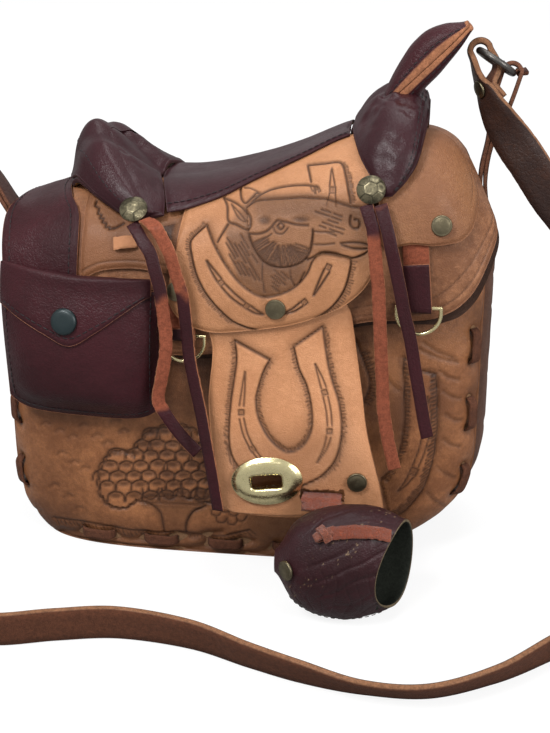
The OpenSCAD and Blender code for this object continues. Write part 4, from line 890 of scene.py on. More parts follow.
class Effects:
    """Shader groups that several finishes share."""

    def __init__(self) -> None:
        """Build each group once."""
        self.grain = self.grain_group()
        self.mottle = self.mottle_group()
        self.scuff = self.scuff_group()
        self.fuzz = self.fuzz_group()

    @staticmethod
    def grain_group() -> bpy.types.NodeTree:
        """Leather grain: pebbles from distances to scattered cells, with fine noise and pores."""
        g, i, o = shader_group("leather_grain", {"Size": 900.0, "Pores": 0.3}, ["Height", "Crease"])
        warp = g.add("ShaderNodeTexNoise", {"Vector": i["Vector"], "Scale": 320.0, "Detail": 3.0})
        shift = g.add(
            "ShaderNodeVectorMath", {0: warp.outputs["Color"], 1: (0.004, 0.004, 0.004)},
            operation="MULTIPLY",
        )
        place = g.add(
            "ShaderNodeVectorMath", {0: i["Vector"], 1: shift.outputs[0]}, operation="ADD"
        ).outputs[0]
        cells = g.add(
            "ShaderNodeTexVoronoi", {"Vector": place, "Scale": i["Size"]},
            feature="DISTANCE_TO_EDGE",
        )
        crease = g.math("SUBTRACT", 1.0, g.ramp(cells.outputs["Distance"], 0.0, 0.25))
        fine = g.cloud(i["Vector"], 2600.0, 3.0)
        pores = g.ramp(fine, 0.62, 0.75)
        height = g.math("SUBTRACT", g.times(crease, -0.7), g.times(pores, i["Pores"]))
        g.tree.links.new(g.plus(height, g.times(fine, 0.25)), o["Height"])
        g.tree.links.new(crease, o["Crease"])
        return g.tree

    @staticmethod
    def mottle_group() -> bpy.types.NodeTree:
        """Uneven tone: broad noise and finer noise added."""
        g, i, o = shader_group("tone_mottle", {"Size": 28.0}, ["Tone", "Spots"])
        broad = g.cloud(i["Vector"], i["Size"], 4.0, 0.6)
        fine = g.cloud(i["Vector"], 420.0, 4.0, 0.7)
        tone = g.plus(g.times(broad, 0.7), g.times(fine, 0.3))
        g.tree.links.new(g.ramp(tone, 0.38, 0.64), o["Tone"])
        g.tree.links.new(g.ramp(fine, 0.6, 0.72), o["Spots"])
        return g.tree

    @staticmethod
    def scuff_group() -> bpy.types.NodeTree:
        """Rubbed places: noise stretched along X and cut off high."""
        g, i, o = shader_group("scuff", {"Size": 60.0, "Amount": 0.5}, ["Mask"])
        stretch = g.add("ShaderNodeMapping", {"Vector": i["Vector"], "Scale": (1.0, 1.0, 2.4)})
        spots = g.cloud(stretch.outputs[0], i["Size"], 6.0, 0.72)
        limit = g.math("SUBTRACT", 0.78, g.times(i["Amount"], 0.25))
        over = g.times(g.math("SUBTRACT", spots, limit), 9.0, clamp=True)
        g.tree.links.new(over, o["Mask"])
        return g.tree

    @staticmethod
    def fuzz_group() -> bpy.types.NodeTree:
        """Nap of a suede side or a cut edge: very fine noise in two sizes."""
        g, i, o = shader_group("leather_fuzz", {"Size": 1400.0}, ["Height"])
        nap = g.cloud(i["Vector"], i["Size"], 5.0, 0.8)
        clump = g.cloud(i["Vector"], 500.0, 3.0, 0.7)
        total = g.plus(g.times(nap, 0.55), g.times(clump, 0.45))
        g.tree.links.new(g.ramp(total, 0.36, 0.64), o["Height"])
        return g.tree

    @staticmethod
    def place(
        g: Graph, group: bpy.types.NodeTree, vector: bpy.types.NodeSocket, **values: float
    ) -> bpy.types.Node:
        """Put a group into a material with its own values."""
        node = g.add("ShaderNodeGroup", node_tree=group)
        g.tree.links.new(vector, node.inputs["Vector"])
        for key, value in values.items():
            node.inputs[key].default_value = value
        return node


Colour = tuple[float, float, float]


@dataclass(frozen=True)
class LeatherFinish:
    """Finish of a leather: its colours, its grain and its gloss."""

    name: str
    slot: str
    colour: Colour
    shadow: Colour
    raw: Colour
    flesh: Colour
    ink: Colour = (0.035, 0.012, 0.005)
    worn: Colour = (0.5, 0.28, 0.14)
    roughness: float = 0.42
    pebble: float = 900.0
    depth: float = 0.25
    pores: float = 0.3
    mottle: float = 0.5
    scuffs: float = 0.2
    rim: float = 0.5
    sheen: float = 0.0
    coat: float = 0.0
    gloss: float = 0.35

    def material(self, effects: Effects) -> bpy.types.Material:
        """Material whose colour and bump follow the marks ink, raw, flesh and rim of the piece."""
        mat, g = new_material(self.name)
        place = g.objects()
        mottle = effects.place(g, effects.mottle, place)
        grain = effects.place(g, effects.grain, place, Size=self.pebble, Pores=self.pores)
        scuff = effects.place(g, effects.scuff, place, Amount=self.scuffs)
        fuzz = effects.place(g, effects.fuzz, place)
        raw, flesh, ink, rim = (g.mark(k) for k in ("raw", "flesh", "ink", "rim"))
        tone = g.times(g.math("SUBTRACT", 1.0, mottle.outputs["Tone"]), self.mottle)
        colour = g.mix(tone, self.colour, self.shadow)
        colour = g.mix(g.times(grain.outputs["Crease"], 0.25), colour, self.shadow)
        colour = g.mix(g.times(scuff.outputs["Mask"], 0.45), colour, self.worn)
        colour = g.mix(g.times(rim, self.rim), colour, self.shadow)
        colour = g.mix(g.times(ink, 0.93), colour, self.ink)
        nap = fuzz.outputs["Height"]
        colour = g.mix(flesh, colour, g.mix(nap, tuple(0.55 * c for c in self.flesh), self.flesh))
        colour = g.mix(
            g.times(raw, 0.9), colour, g.mix(nap, tuple(0.5 * c for c in self.raw), self.raw)
        )
        soft = g.math("MAXIMUM", raw, flesh)
        pebbles = g.times(grain.outputs["Height"], g.math("SUBTRACT", 1.0, soft))
        height = g.plus(pebbles, g.times(nap, g.times(soft, 1.6)))
        bump = g.add(
            "ShaderNodeBump", {"Strength": self.depth, "Distance": 0.0006, "Height": height}
        )
        rough = g.plus(self.roughness, g.times(tone, 0.18))
        rough = g.plus(rough, g.times(soft, 0.9 - self.roughness), clamp=True)
        bsdf = g.add("ShaderNodeBsdfPrincipled", {
            "Base Color": colour, "Roughness": rough, "Normal": bump.outputs[0],
            "Sheen Weight": self.sheen, "Coat Weight": self.coat, "Coat Roughness": 0.25,
            "Specular IOR Level": self.gloss,
        })
        g.output("ShaderNodeOutputMaterial", bsdf.outputs[0])
        return mat


@dataclass(frozen=True)
class MetalFinish:
    """Finish of a metal: its bright and its tarnished colour."""

    name: str
    slot: str
    colour: Colour
    tarnish: Colour
    roughness: float = 0.2
    cover: float = 0.4
    scratch: float = 0.1
    metallic: float = 1.0

    def material(self, effects: Effects) -> bpy.types.Material:
        """Metal with patches of tarnish, fine scratches and dents."""
        mat, g = new_material(self.name)
        place = g.objects()
        mottle = effects.place(g, effects.mottle, place, Size=160.0)
        scuff = effects.place(g, effects.scuff, place, Size=500.0, Amount=1.0)
        tone = g.times(g.math("SUBTRACT", 1.0, mottle.outputs["Tone"]), self.cover)
        tone = g.math("MAXIMUM", tone, g.mark("ink"), clamp=True)
        colour = g.mix(tone, self.colour, self.tarnish)
        rough = g.plus(self.roughness, g.times(tone, 0.3))
        rough = g.plus(rough, g.times(scuff.outputs["Mask"], 0.12), clamp=True)
        height = g.plus(g.times(scuff.outputs["Mask"], -0.4), mottle.outputs["Spots"])
        bump = g.add(
            "ShaderNodeBump", {"Strength": self.scratch, "Distance": 0.0002, "Height": height}
        )
        bsdf = g.add("ShaderNodeBsdfPrincipled", {
            "Base Color": colour, "Roughness": rough, "Metallic": self.metallic,
            "Normal": bump.outputs[0],
        })
        g.output("ShaderNodeOutputMaterial", bsdf.outputs[0])
        return mat


@dataclass(frozen=True)
class ThreadFinish:
    """Finish of sewing thread."""

    name: str
    slot: str
    colour: Colour

    def material(self, effects: Effects) -> bpy.types.Material:
        """Waxed thread with its twist as fine waves."""
        mat, g = new_material(self.name)
        place = g.objects()
        mottle = effects.place(g, effects.mottle, place, Size=300.0)
        twist = g.add(
            "ShaderNodeTexWave", {"Vector": place, "Scale": 900.0, "Distortion": 1.0},
            bands_direction="DIAGONAL",
        )
        colour = g.mix(mottle.outputs["Tone"], self.colour, tuple(1.8 * c for c in self.colour))
        bump = g.add(
            "ShaderNodeBump", {"Strength": 0.4, "Distance": 0.0002, "Height": twist.outputs["Fac"]}
        )
        bsdf = g.add("ShaderNodeBsdfPrincipled", {
            "Base Color": colour, "Roughness": 0.7, "Normal": bump.outputs[0]
        })
        g.output("ShaderNodeOutputMaterial", bsdf.outputs[0])
        return mat


class Finish(Enum):
    """Finishes of the bag."""

    TAN = LeatherFinish(
        "tooled_tan_leather", "tan_leather", (0.7, 0.335, 0.165), (0.47, 0.2, 0.085),
        (0.36, 0.17, 0.08), (0.3, 0.16, 0.08), roughness=0.45, pebble=1000.0, depth=0.4,
        mottle=0.75, scuffs=0.2, rim=0.35, coat=0.04,
    )
    SADDLE = LeatherFinish(
        "tooled_jockey_leather", "tan_leather", (0.52, 0.242, 0.113), (0.34, 0.145, 0.06),
        (0.4, 0.19, 0.09), (0.3, 0.16, 0.08), roughness=0.45, pebble=1000.0, depth=0.4, mottle=0.75,
        scuffs=0.2, rim=0.35, coat=0.04,
    )
    # Tan leather of the rear and front jockeys, kept darker than the fender's by painted shade
    # where they lie in shadow.
    JOCKEY = LeatherFinish(
        "jockey_leather_painted_shade", "tan_leather", (0.29, 0.128, 0.055), (0.17, 0.062, 0.024),
        (0.3, 0.13, 0.06), (0.3, 0.16, 0.08), roughness=0.45, pebble=800.0, depth=0.4, mottle=0.7,
        scuffs=0.15, rim=0.45, coat=0.04,
    )
    SKIRT = LeatherFinish(
        "stained_tan_leather", "tan_leather", (0.4, 0.18, 0.085), (0.15, 0.055, 0.022),
        (0.3, 0.13, 0.06), (0.3, 0.16, 0.08), roughness=0.42, pebble=900.0, depth=0.35, mottle=0.9,
        scuffs=0.2, rim=0.7, coat=0.06,
    )
    PANEL = LeatherFinish(
        "waxed_brown_leather", "tan_leather", (0.43, 0.176, 0.07), (0.18, 0.064, 0.023),
        (0.3, 0.13, 0.06), (0.3, 0.16, 0.08), roughness=0.38, pebble=900.0, depth=0.3, mottle=0.9,
        scuffs=0.25, rim=0.7, coat=0.1,
    )
    EDGE = LeatherFinish(
        "dark_brown_leather", "brown_leather", (0.12, 0.043, 0.018), (0.05, 0.018, 0.009),
        (0.2, 0.08, 0.04), (0.25, 0.12, 0.06), roughness=0.5, pebble=900.0, depth=0.35, mottle=0.8,
        scuffs=0.5, rim=0.3,
    )
    STRAP = LeatherFinish(
        "cracked_strap_leather", "brown_leather", (0.052, 0.0195, 0.011), (0.02, 0.0085, 0.0065),
        (0.3, 0.14, 0.07), (0.13, 0.045, 0.022), worn=(0.17, 0.075, 0.04), roughness=0.42,
        pebble=420.0, depth=0.28, mottle=0.9, scuffs=0.5, rim=0.35, coat=0.05, gloss=0.3,
    )
    STRAP_BACK = LeatherFinish(
        "red_brown_strap_leather", "brown_leather", (0.074, 0.026, 0.017), (0.036, 0.012, 0.008),
        (0.22, 0.09, 0.05), (0.13, 0.045, 0.022), worn=(0.18, 0.08, 0.045), roughness=0.45,
        pebble=650.0, depth=0.4, mottle=0.8, scuffs=0.6, rim=0.4,
    )
    WINE = LeatherFinish(
        "burgundy_leather", "burgundy_leather", (0.048, 0.011, 0.0145), (0.025, 0.0065, 0.008),
        (0.48, 0.2, 0.1), (0.3, 0.085, 0.045), ink=(0.012, 0.006, 0.006),
        worn=(0.095, 0.045, 0.035), roughness=0.36, pebble=620.0, depth=0.3, pores=0.4, mottle=0.7,
        scuffs=0.3, rim=0.2, coat=0.03, gloss=0.16,
    )
    SEAT = LeatherFinish(
        "seat_leather", "burgundy_leather", (0.036, 0.0085, 0.012), (0.022, 0.006, 0.008),
        (0.05, 0.016, 0.018), (0.3, 0.2, 0.1), ink=(0.012, 0.006, 0.006), worn=(0.1, 0.06, 0.05),
        roughness=0.33, pebble=760.0, depth=0.2, mottle=0.6, scuffs=0.3, rim=0.1, coat=0.06,
        gloss=0.2,
    )
    HOOD = LeatherFinish(
        "hood_leather", "burgundy_leather", (0.042, 0.0125, 0.0155), (0.02, 0.007, 0.008),
        (0.2, 0.15, 0.085), (0.03, 0.034, 0.026), ink=(0.4, 0.27, 0.15), worn=(0.1, 0.055, 0.045),
        roughness=0.34, pebble=700.0, depth=0.3, mottle=0.7, scuffs=0.2, rim=0.1, coat=0.08,
        gloss=0.2,
    )
    SUEDE = LeatherFinish(
        "raw_suede", "suede", (0.33, 0.085, 0.04), (0.19, 0.042, 0.02), (0.4, 0.12, 0.06),
        (0.33, 0.085, 0.04), roughness=0.88, pebble=1500.0, depth=0.9, mottle=0.9, scuffs=0.0,
        rim=0.0, sheen=0.2, gloss=0.2,
    )
    LACE = LeatherFinish(
        "brown_lace", "suede", (0.14, 0.05, 0.022), (0.06, 0.02, 0.01), (0.16, 0.06, 0.03),
        (0.14, 0.05, 0.025), roughness=0.6, pebble=1200.0, depth=0.5, mottle=0.8, scuffs=0.3,
        rim=0.4,
    )
    TAN_LACE = LeatherFinish(
        "tan_lace", "suede", (0.66, 0.31, 0.16), (0.46, 0.2, 0.09), (0.45, 0.2, 0.1),
        (0.45, 0.2, 0.1), roughness=0.6, pebble=1200.0, depth=0.4, mottle=0.6, scuffs=0.0, rim=0.3,
    )
    LINING = LeatherFinish(
        "lining_suede", "brown_leather", (0.06, 0.028, 0.017), (0.025, 0.012, 0.008),
        (0.14, 0.065, 0.036), (0.06, 0.03, 0.018), roughness=0.9, pebble=1800.0, depth=0.5,
        mottle=0.8, scuffs=0.1, rim=0.0,
    )
    GOLD = MetalFinish(
        "polished_plate", "polished_brass", (0.84, 0.74, 0.42), (0.5, 0.42, 0.22), 0.17, 0.3, 0.12
    )
    OLD = MetalFinish(
        "antique_brass", "old_brass", (0.26, 0.225, 0.14), (0.012, 0.012, 0.01), 0.26, 0.8, 0.3
    )
    RIVET = MetalFinish(
        "rivet_brass", "old_brass", (0.22, 0.185, 0.115), (0.1, 0.085, 0.055), 0.3, 0.7, 0.2
    )
    STEEL = MetalFinish(
        "dark_steel", "dark_steel", (0.16, 0.15, 0.14), (0.06, 0.055, 0.05), 0.3, 0.6, 0.2
    )
    ENAMEL = MetalFinish(
        "snap_enamel", "dark_enamel", (0.008, 0.018, 0.02), (0.012, 0.022, 0.024), 0.3, 0.3, 0.1,
        0.2,
    )
    THREAD = ThreadFinish("black_thread", "burgundy_leather", (0.008, 0.005, 0.006))
    BROWN_THREAD = ThreadFinish("brown_thread", "brown_leather", (0.03, 0.014, 0.01))


class Workshop:
    """Keeps the finishes and turns meshes into pieces that ride on the bodies."""

    def __init__(self, frame: dict) -> None:
        """Remember the frame and build the shared shader groups."""
        self.frame = frame
        self.effects = Effects()
        self.made: dict[Finish, bpy.types.Material] = {}

    def material(self, finish: Finish) -> bpy.types.Material:
        """Material of a finish, built on its first use."""
        if finish not in self.made:
            self.made[finish] = finish.value.material(self.effects)
        return self.made[finish]

    def piece(
        self, name: str, mesh: MeshData, finish: Finish, body: str, replaces: Sequence[str] = ()
    ) -> bpy.types.Object:
        """Make an object of a mesh and let it ride on a body.

        Args:
            name: The piece's name.
            mesh: Its mesh in millimetres.
            finish: Its finish.
            body: The body it rides on.
            replaces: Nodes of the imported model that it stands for.

        Returns:
            The object.
        """
        data = bpy.data.meshes.new(name)
        faces = [f for block in mesh.faces for f in block.tolist()]
        data.from_pydata((mesh.points * METRES).tolist(), [], faces)
        data.polygons.foreach_set("use_smooth", np.ones(len(data.polygons), bool))
        for key, values in mesh.marks.items():
            data.attributes.new(key, "FLOAT", "POINT").data.foreach_set(
                "value", values.astype(np.float32)
            )
        data.materials.append(self.material(finish))
        obj = bpy.data.objects.new(name, data)
        bpy.context.collection.objects.link(obj)
        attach(obj, body)
        if replaces:
            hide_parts(*replaces)
        LOG.info("%s: %d faces on %s", name, len(data.polygons), body)
        return obj

    def dress(self, finish: Finish, *nodes: str) -> None:
        """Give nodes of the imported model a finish."""
        for node in nodes:
            obj = self.frame["nodes"][node]
            obj.data.materials.clear()
            obj.data.materials.append(self.material(finish))
            LOG.info("%s keeps its shape, finish %s", node, finish.value.name)


def sheet_between(
    edge_a: Sequence, edge_b: Sequence, low: Callable[[Array, Array], Array] | float
) -> Surface:
    """Surface on the drape between two edges of (xs, t) places.

    A point is drape(lerp(edge_a(u), edge_b(u), v)), at the distance low + off from the drape.

    Args:
        edge_a: Edge at v = 0.
        edge_b: Edge at v = 1.
        low: Distance of the flesh side from the drape, or a function of u and v.

    Returns:
        The surface.
    """

    def surface(u: Array, v: Array, off: Array) -> Array:
        """Point at u, v and the distance off the flesh side."""
        p = lerp(spline(edge_a, u), spline(edge_b, u), v[..., None])
        base = low(u, v) if callable(low) else low
        return DRAPE.point(p[..., 0], p[..., 1], base + off)

    return surface


def even(count: int) -> Array:
    """Even steps from 0 to 1."""
    return np.linspace(0.0, 1.0, count)


def finer(points: Sequence, count: int) -> Array:
    """Points of a smooth curve through the given ones."""
    return spline(points, even(count))


def lumps(depth: float, cell: float, seed: int) -> Relief:
    """Soft unevenness of a skin."""
    return lambda p: (depth * noise(p, cell, seed), np.zeros(p.shape[:-1]))


def dimples(places: Array, depth: float, width: float, dark: float = 0.6) -> Relief:
    """Round hollows at places, such as lace draws into a skin."""

    def relief(p: Array) -> tuple[Array, Array]:
        """Height and ink of the hollows."""
        near = np.zeros(p.shape[:-1])
        for q in places:
            near = np.maximum(near, np.exp(-np.sum((p - q) ** 2, axis=-1) / width**2))
        return -depth * near, dark * near**2

    return relief


def together(*reliefs: Relief) -> Relief:
    """Sum of the heights of several reliefs with the darkest of their inks."""

    def relief(p: Array) -> tuple[Array, Array]:
        """Height and ink of all of them."""
        found = [r(p) for r in reliefs]
        return np.sum([h for h, _ in found], axis=0), np.max([k for _, k in found], axis=0)

    return relief


def loft(rings: Array, marks: dict[str, Array] | None = None, wrap: bool = False) -> MeshData:
    """Closed skin through rings of points, with a fan at each end or joined end to end.

    Args:
        rings: Rings of the same count of points.
        marks: Values for each ring and point.
        wrap: Whether the last ring joins the first.

    Returns:
        The mesh.
    """
    m, n = rings.shape[:2]
    marks = {k: v.ravel() for k, v in (marks or {}).items()}
    if wrap:
        a = np.arange(m * n).reshape(m, n)
        b = np.roll(a, -1, axis=0)
        quads = np.stack([a, b, np.roll(b, -1, axis=1), np.roll(a, -1, axis=1)], axis=-1)
        return MeshData(rings.reshape(-1, 3), [quads.reshape(-1, 4)], marks).outward()
    j = np.arange(n)
    ends = np.stack([rings[0].mean(0), rings[-1].mean(0)])
    fans = [
        np.stack([np.full(n, m * n), j, (j + 1) % n], axis=-1),
        np.stack([np.full(n, m * n + 1), (m - 1) * n + (j + 1) % n, (m - 1) * n + j], axis=-1),
    ]
    marks = {k: np.append(v, [v[0], v[-1]]) for k, v in marks.items()}
    return MeshData(
        np.vstack([rings.reshape(-1, 3), ends]), [grid_faces(m, n, closed=True), *fans], marks
    ).outward()


@dataclass(frozen=True)
class Seat:
    """Frame on which a small part sits: a place, an outward direction and a direction across."""

    place: Array
    out: Array
    across: Array

    @staticmethod
    def of(place: Array, out: Array, across: Sequence = (1.0, 0.0, 0.0)) -> "Seat":
        """Frame with its axes made square."""
        n = unit(out)
        x = unit(np.asarray(across, float) - np.dot(across, n) * n)
        return Seat(np.asarray(place, float), n, x)

    def lay(self, local: Array) -> Array:
        """Local points (across, up, out) in the frame of the model."""
        up = np.cross(self.out, self.across)
        return self.place + local @ np.stack([self.across, up, self.out])


def turned(
    seat: Seat, profile: Sequence, count: int = 48, dents: Callable | None = None, dark: float = 0.0
) -> MeshData:
    """Round part: a profile of (radius, height) places turned about the seat's outward axis.

    Args:
        seat: Where it sits.
        profile: Places from the top of its axis round its rim to the bottom of its axis.
        count: Points round it.
        dents: Height and tarnish for x, y and the height of the plain part.
        dark: Height below which it is tarnished.

    Returns:
        The mesh.
    """
    p = np.asarray(profile, float)
    a = np.arange(count) * 2 * np.pi / count
    r = np.maximum(p[:, :1], 0.02)
    local = np.stack(
        [r * np.cos(a), r * np.sin(a), np.broadcast_to(p[:, 1:], (len(p), count))], axis=-1
    )
    ink = np.zeros(local.shape[:2])
    if dents:
        local[..., 2], ink = dents(local[..., 0], local[..., 1], local[..., 2])
    if dark:
        ink = np.maximum(ink, smooth((dark - local[..., 2]) / dark))
    return loft(seat.lay(local), {"ink": ink})


LENS = Lens()


class BagBody:
    """Body of the bag: two panels laced to a gusset, and the strip that the flap hangs on."""

    seam_inset = 5.0
    lace_h = 7.0
    lace_w = 5.0
    lace_t = 1.2
    lace_sink = 2.4
    stitch = 16.0
    right_lace = (0.28, 0.51, 0.73)
    left_lace = (0.22, 0.45, 0.68)
    base_lace = (-0.6, -0.33, -0.06, 0.21, 0.48)

    def __init__(self, shop: Workshop) -> None:
        """Remember the workshop."""
        self.shop = shop

    def build(self) -> None:
        """Make all its pieces."""
        self.front()
        self.back()
        self.gusset()
        self.hinge()
        self.lacing(-90.0, "front_lacing")
        self.lacing(90.0, "back_lacing")

    @staticmethod
    def panel(mid: float) -> Surface:
        """Surface of the panel whose middle is at the angle mid, up to the mouth."""
        half = 90.0 - BAG.seam_turn
        sign = 1.0 if mid < 0 else -1.0

        def surface(u: Array, v: Array, off: Array) -> Array:
            """Point of the wall, u across the panel and v up it."""
            return BAG.wall(
                mid + sign * lerp(-half, half, u), lerp(HIDE.gap, BAG.mouth_h, v), off - HIDE.hide_t
            )

        return surface

    def lace_places(self, mid: float) -> list[tuple[tuple, tuple]]:
        """Both ends, as angles and heights, of each stitch of lace on a panel."""
        half = self.stitch / 2
        side = 90.0 - BAG.seam_turn - self.seam_inset
        places = []
        for s in (-1, 1):
            for share in self.right_lace if s * mid < 0 else self.left_lace:
                h = share * BAG.mouth_h
                places.append(((mid + s * side, h - half), (mid + s * side, h + half)))
        for share in self.base_lace:
            x = share * BAG.half_w
            places.append(
                ((self.angle(x - half, mid), self.lace_h), (self.angle(x + half, mid), self.lace_h))
            )
        return places

    def angle(self, x: float, mid: float) -> float:
        """Angle of the wall at the place x near its base."""
        q = x / float(BAG.width(self.lace_h, x))
        a = float(np.degrees(np.arctan2((1 - abs(q) ** BAG.plan_power) ** (1 / BAG.plan_power), q)))
        return -a if mid < 0 else a

    def lace_ends(self, mid: float) -> Array:
        """Holes into which the lace goes."""
        ends = [q for pair in self.lace_places(mid) for q in pair]
        return np.array([BAG.wall(np.array(a), np.array(z), np.array(0.0)) for a, z in ends])

    def front(self) -> None:
        """Front panel with its carved tree, ground and lower horseshoe."""
        relief = together(
            self.tree(), self.right_arm(), lumps(0.5, 26.0, 3), lumps(0.15, 7.0, 4),
            dimples(self.lace_ends(-90.0), 2.2, 4.4, 0.95),
        )
        mesh = hide_sheet(self.panel(-90.0), even(340), even(216), HIDE.hide_t, relief)
        self.shop.piece("front_panel_carved", mesh, Finish.PANEL, "bag", ["front_panel"])

    def back(self) -> None:
        """Plain back panel."""
        relief = together(
            lumps(0.7, 30.0, 13), lumps(0.12, 6.0, 14),
            dimples(self.lace_ends(90.0), 1.8, 4.4, 0.95),
        )
        mesh = hide_sheet(self.panel(90.0), even(200), even(130), HIDE.hide_t, relief)
        self.shop.piece("back_panel_plain", mesh, Finish.PANEL, "bag", ["back_panel"])

    @staticmethod
    def tree() -> Carving:
        """Tree with rows of scalloped leaves over folded ground, drawn on a close view."""
        c = Carving(LENS, (0.0, 400.0), 1 / 5.6)
        crown = [
            (750, 330), (680, 295), (600, 330), (560, 390), (555, 470), (580, 560), (640, 600),
            (700, 600), (760, 560),
        ]
        c.scallops(crown, 13, -0.32)
        top = [
            (780, 250), (830, 195), (900, 165), (980, 150), (1060, 170), (1130, 215), (1180, 280),
        ]
        side = [(1240, 320), (1270, 390), (1262, 470), (1220, 540), (1160, 575)]
        c.scallops([(750, 310), *top], 10, 0.32)
        c.scallops([top[-1], *side, (1100, 560)], 7, 0.32)
        c.shape([*crown, (840, 540), (1000, 540), *side[::-1], *top[::-1]], 0.9, 1.8)
        rng = np.random.default_rng(12)
        leaves = np.array([
            *crown[::-1], (750, 310), (830, 195), (980, 150), (1130, 215), (1240, 320), (1262, 470),
            (1160, 575),
        ])
        for k, y in enumerate(range(200, 590, 56)):
            for x in range(560 + 46 * (k % 2), 1260, 92):
                x, y, r = x + rng.uniform(-10, 10), y + rng.uniform(-6, 6), rng.uniform(44, 54)
                if inside(np.array([[x, y]]), leaves).all():
                    c.curve([
                        (x - r, y + 24), (x - 0.8 * r, y - 0.3 * r), (x, y - 0.62 * r),
                        (x + 0.8 * r, y - 0.3 * r), (x + r, y + 24),
                    ])
                    c.shade((x, y - 0.2 * r), (0.9 * r, 0.4 * r), 0.6, 0.8)
        for x in (840, 950, 1060, 1140):
            c.curve([(x - 45, 500), (x - 34, 545), (x, 562), (x + 34, 545), (x + 45, 500)])
        left = [(770, 570), (850, 590), (900, 640), (918, 740)]
        right = [(1150, 600), (1080, 630), (1045, 690), (1040, 745)]
        c.curve(left).curve(right)
        c.shape([*left, (1040, 745), *right[::-1], (960, 590)], 0.8, 1.6)
        c.tone([*left, (1040, 745), *right[::-1], (960, 590)], 0.45, 2)
        c.tone([(760, 520), (1200, 520), (1180, 600), (800, 600)], 0.5, 3)
        for x, y in ((1210, 620), (1260, 600), (1310, 620), (1240, 660), (1300, 670), (1350, 650)):
            c.curve([(x - 30, y), (x - 20, y + 26), (x + 12, y + 30), (x + 32, y + 4)], Cut.FINE)
        ground = [
            (300, 660), (500, 690), (700, 725), (900, 745), (1040, 745), (1200, 770), (1400, 730)
        ]
        c.curve(ground)
        c.hatch(ground, 40, 22, -40, Cut.FINE, 7)
        for dy, x0, x1 in ((45, 340, 1240), (95, 420, 1420), (150, 560, 1500)):
            c.curve([
                (x0, 690 + dy), (lerp(x0, x1, 0.3), 728 + dy), (lerp(x0, x1, 0.6), 742 + dy),
                (x1, 700 + dy),
            ], Cut.FOLD)
        for x, y in (
            (250, 130), (330, 170), (400, 205), (460, 140), (540, 200), (600, 240), (340, 300),
            (410, 350), (470, 385), (300, 480), (380, 540), (440, 610), (200, 620), (690, 170),
            (640, 110),
        ):
            c.curve([(x - 22, y + 10), (x, y - 6), (x + 26, y + 4)], Cut.SOFT)
        return c

    @staticmethod
    def right_arm() -> Carving:
        """Lower part of the horseshoe's right arm and the leaves above it."""
        c = Carving(LENS)
        inner = [
            (403.4, 358.2), (404.5, 392.7), (404.5, 420.7), (400.8, 448.7), (391.1, 470.3),
            (381.4, 480),
        ]
        outer = [
            (436.4, 375.4), (437.5, 397), (437.5, 429.3), (433.1, 461.6), (423.4, 489.7),
            (406.2, 511.2), (391.1, 519.8),
        ]
        c.curve(inner).curve(outer).straight([(420.2, 372.2), (436.4, 375.4)])
        c.shape([*inner, *outer[::-1], (420.2, 372.2)], 0.8, 2.0)
        for line, halves in (
            (((427.5, 397), (428.6, 410), (428, 425)), (0.2, 2.2, 3.2)),
            (((425.6, 437), (421.5, 452), (415.5, 467)), (3.4, 3.2, 3.0)),
            (((411.5, 476), (405, 485), (398, 492)), (2.8, 1.6, 0.2)),
        ):
            c.ribbon(line, halves)
        c.nail((413.8, 472), 3.4, (-0.5, 1)).nail((427, 431), 3.2, (0, 1))
        c.hatch(outer, 7, 2.2, 10, Cut.FINE, 8)
        c.hatch(inner, -5, 2.2, -10, Cut.FINE, 9)
        for x0, y0, x1, y1 in (
            (419, 349.6, 457.9, 362.5), (423.4, 343.1, 453.6, 358.2), (386.8, 377.6, 398.7, 390.5),
            (440, 372, 459, 380), (444, 392, 461, 399), (446, 415, 462, 421), (444, 440, 460, 447),
            (438, 468, 455, 478), (428, 494, 444, 506),
        ):
            c.curve([(x0, y0), ((x0 + x1) / 2, (y0 + y1) / 2 + 2), (x1, y1)], Cut.SOFT)
        c.curve([(354.5, 338.8), (360, 352), (369.6, 379.7), (368, 392), (363, 403.4)])
        c.hatch([(360, 352), (369.6, 379.7), (368, 392), (363, 403.4)], -8, 3, 0, Cut.FINE, 10)
        # Tones, in order: painted shade along the bag's bottom; a darker left end; painted shadow
        # under the skirt's front edge; painted shadow in the gap under the flap behind the strings;
        # a darker strip beside the fender; a darker right edge.
        for region, ink, blur in (
            (((20, 500), (150, 526), (330, 528), (520, 500), (520, 580), (20, 580)), 0.5, 16),
            (((0, 400), (90, 405), (90, 540), (0, 540)), 0.22, 20),
            (((300, 300), (500, 300), (470, 345), (430, 350), (300, 345)), 0.35, 16),
            (((150, 320), (222, 320), (225, 430), (160, 425)), 0.6, 14),
            (((340, 330), (400, 340), (404, 500), (380, 500)), 0.35, 10),
            (((470, 300), (500, 300), (500, 520), (455, 540), (468, 450)), 0.3, 10),
        ):
            c.tone(region, ink, blur)
        return c

    def gusset(self) -> None:
        """Gusset round both ends and the base of the bag."""
        inset = HIDE.hide_t + HIDE.gap
        bow, edge = 3.0, 0.3

        def side_point(side: float, z: Array, v: Array, off: Array) -> Array:
            """Point of the bowed end wall at height z and v from seam to seam."""
            angle = (0.0 if side > 0 else 180.0) + side * lerp(-BAG.seam_turn, BAG.seam_turn, v)
            return BAG.wall(angle, z, off + bow * np.sin(np.pi * v) * smooth(z / BAG.full_h))

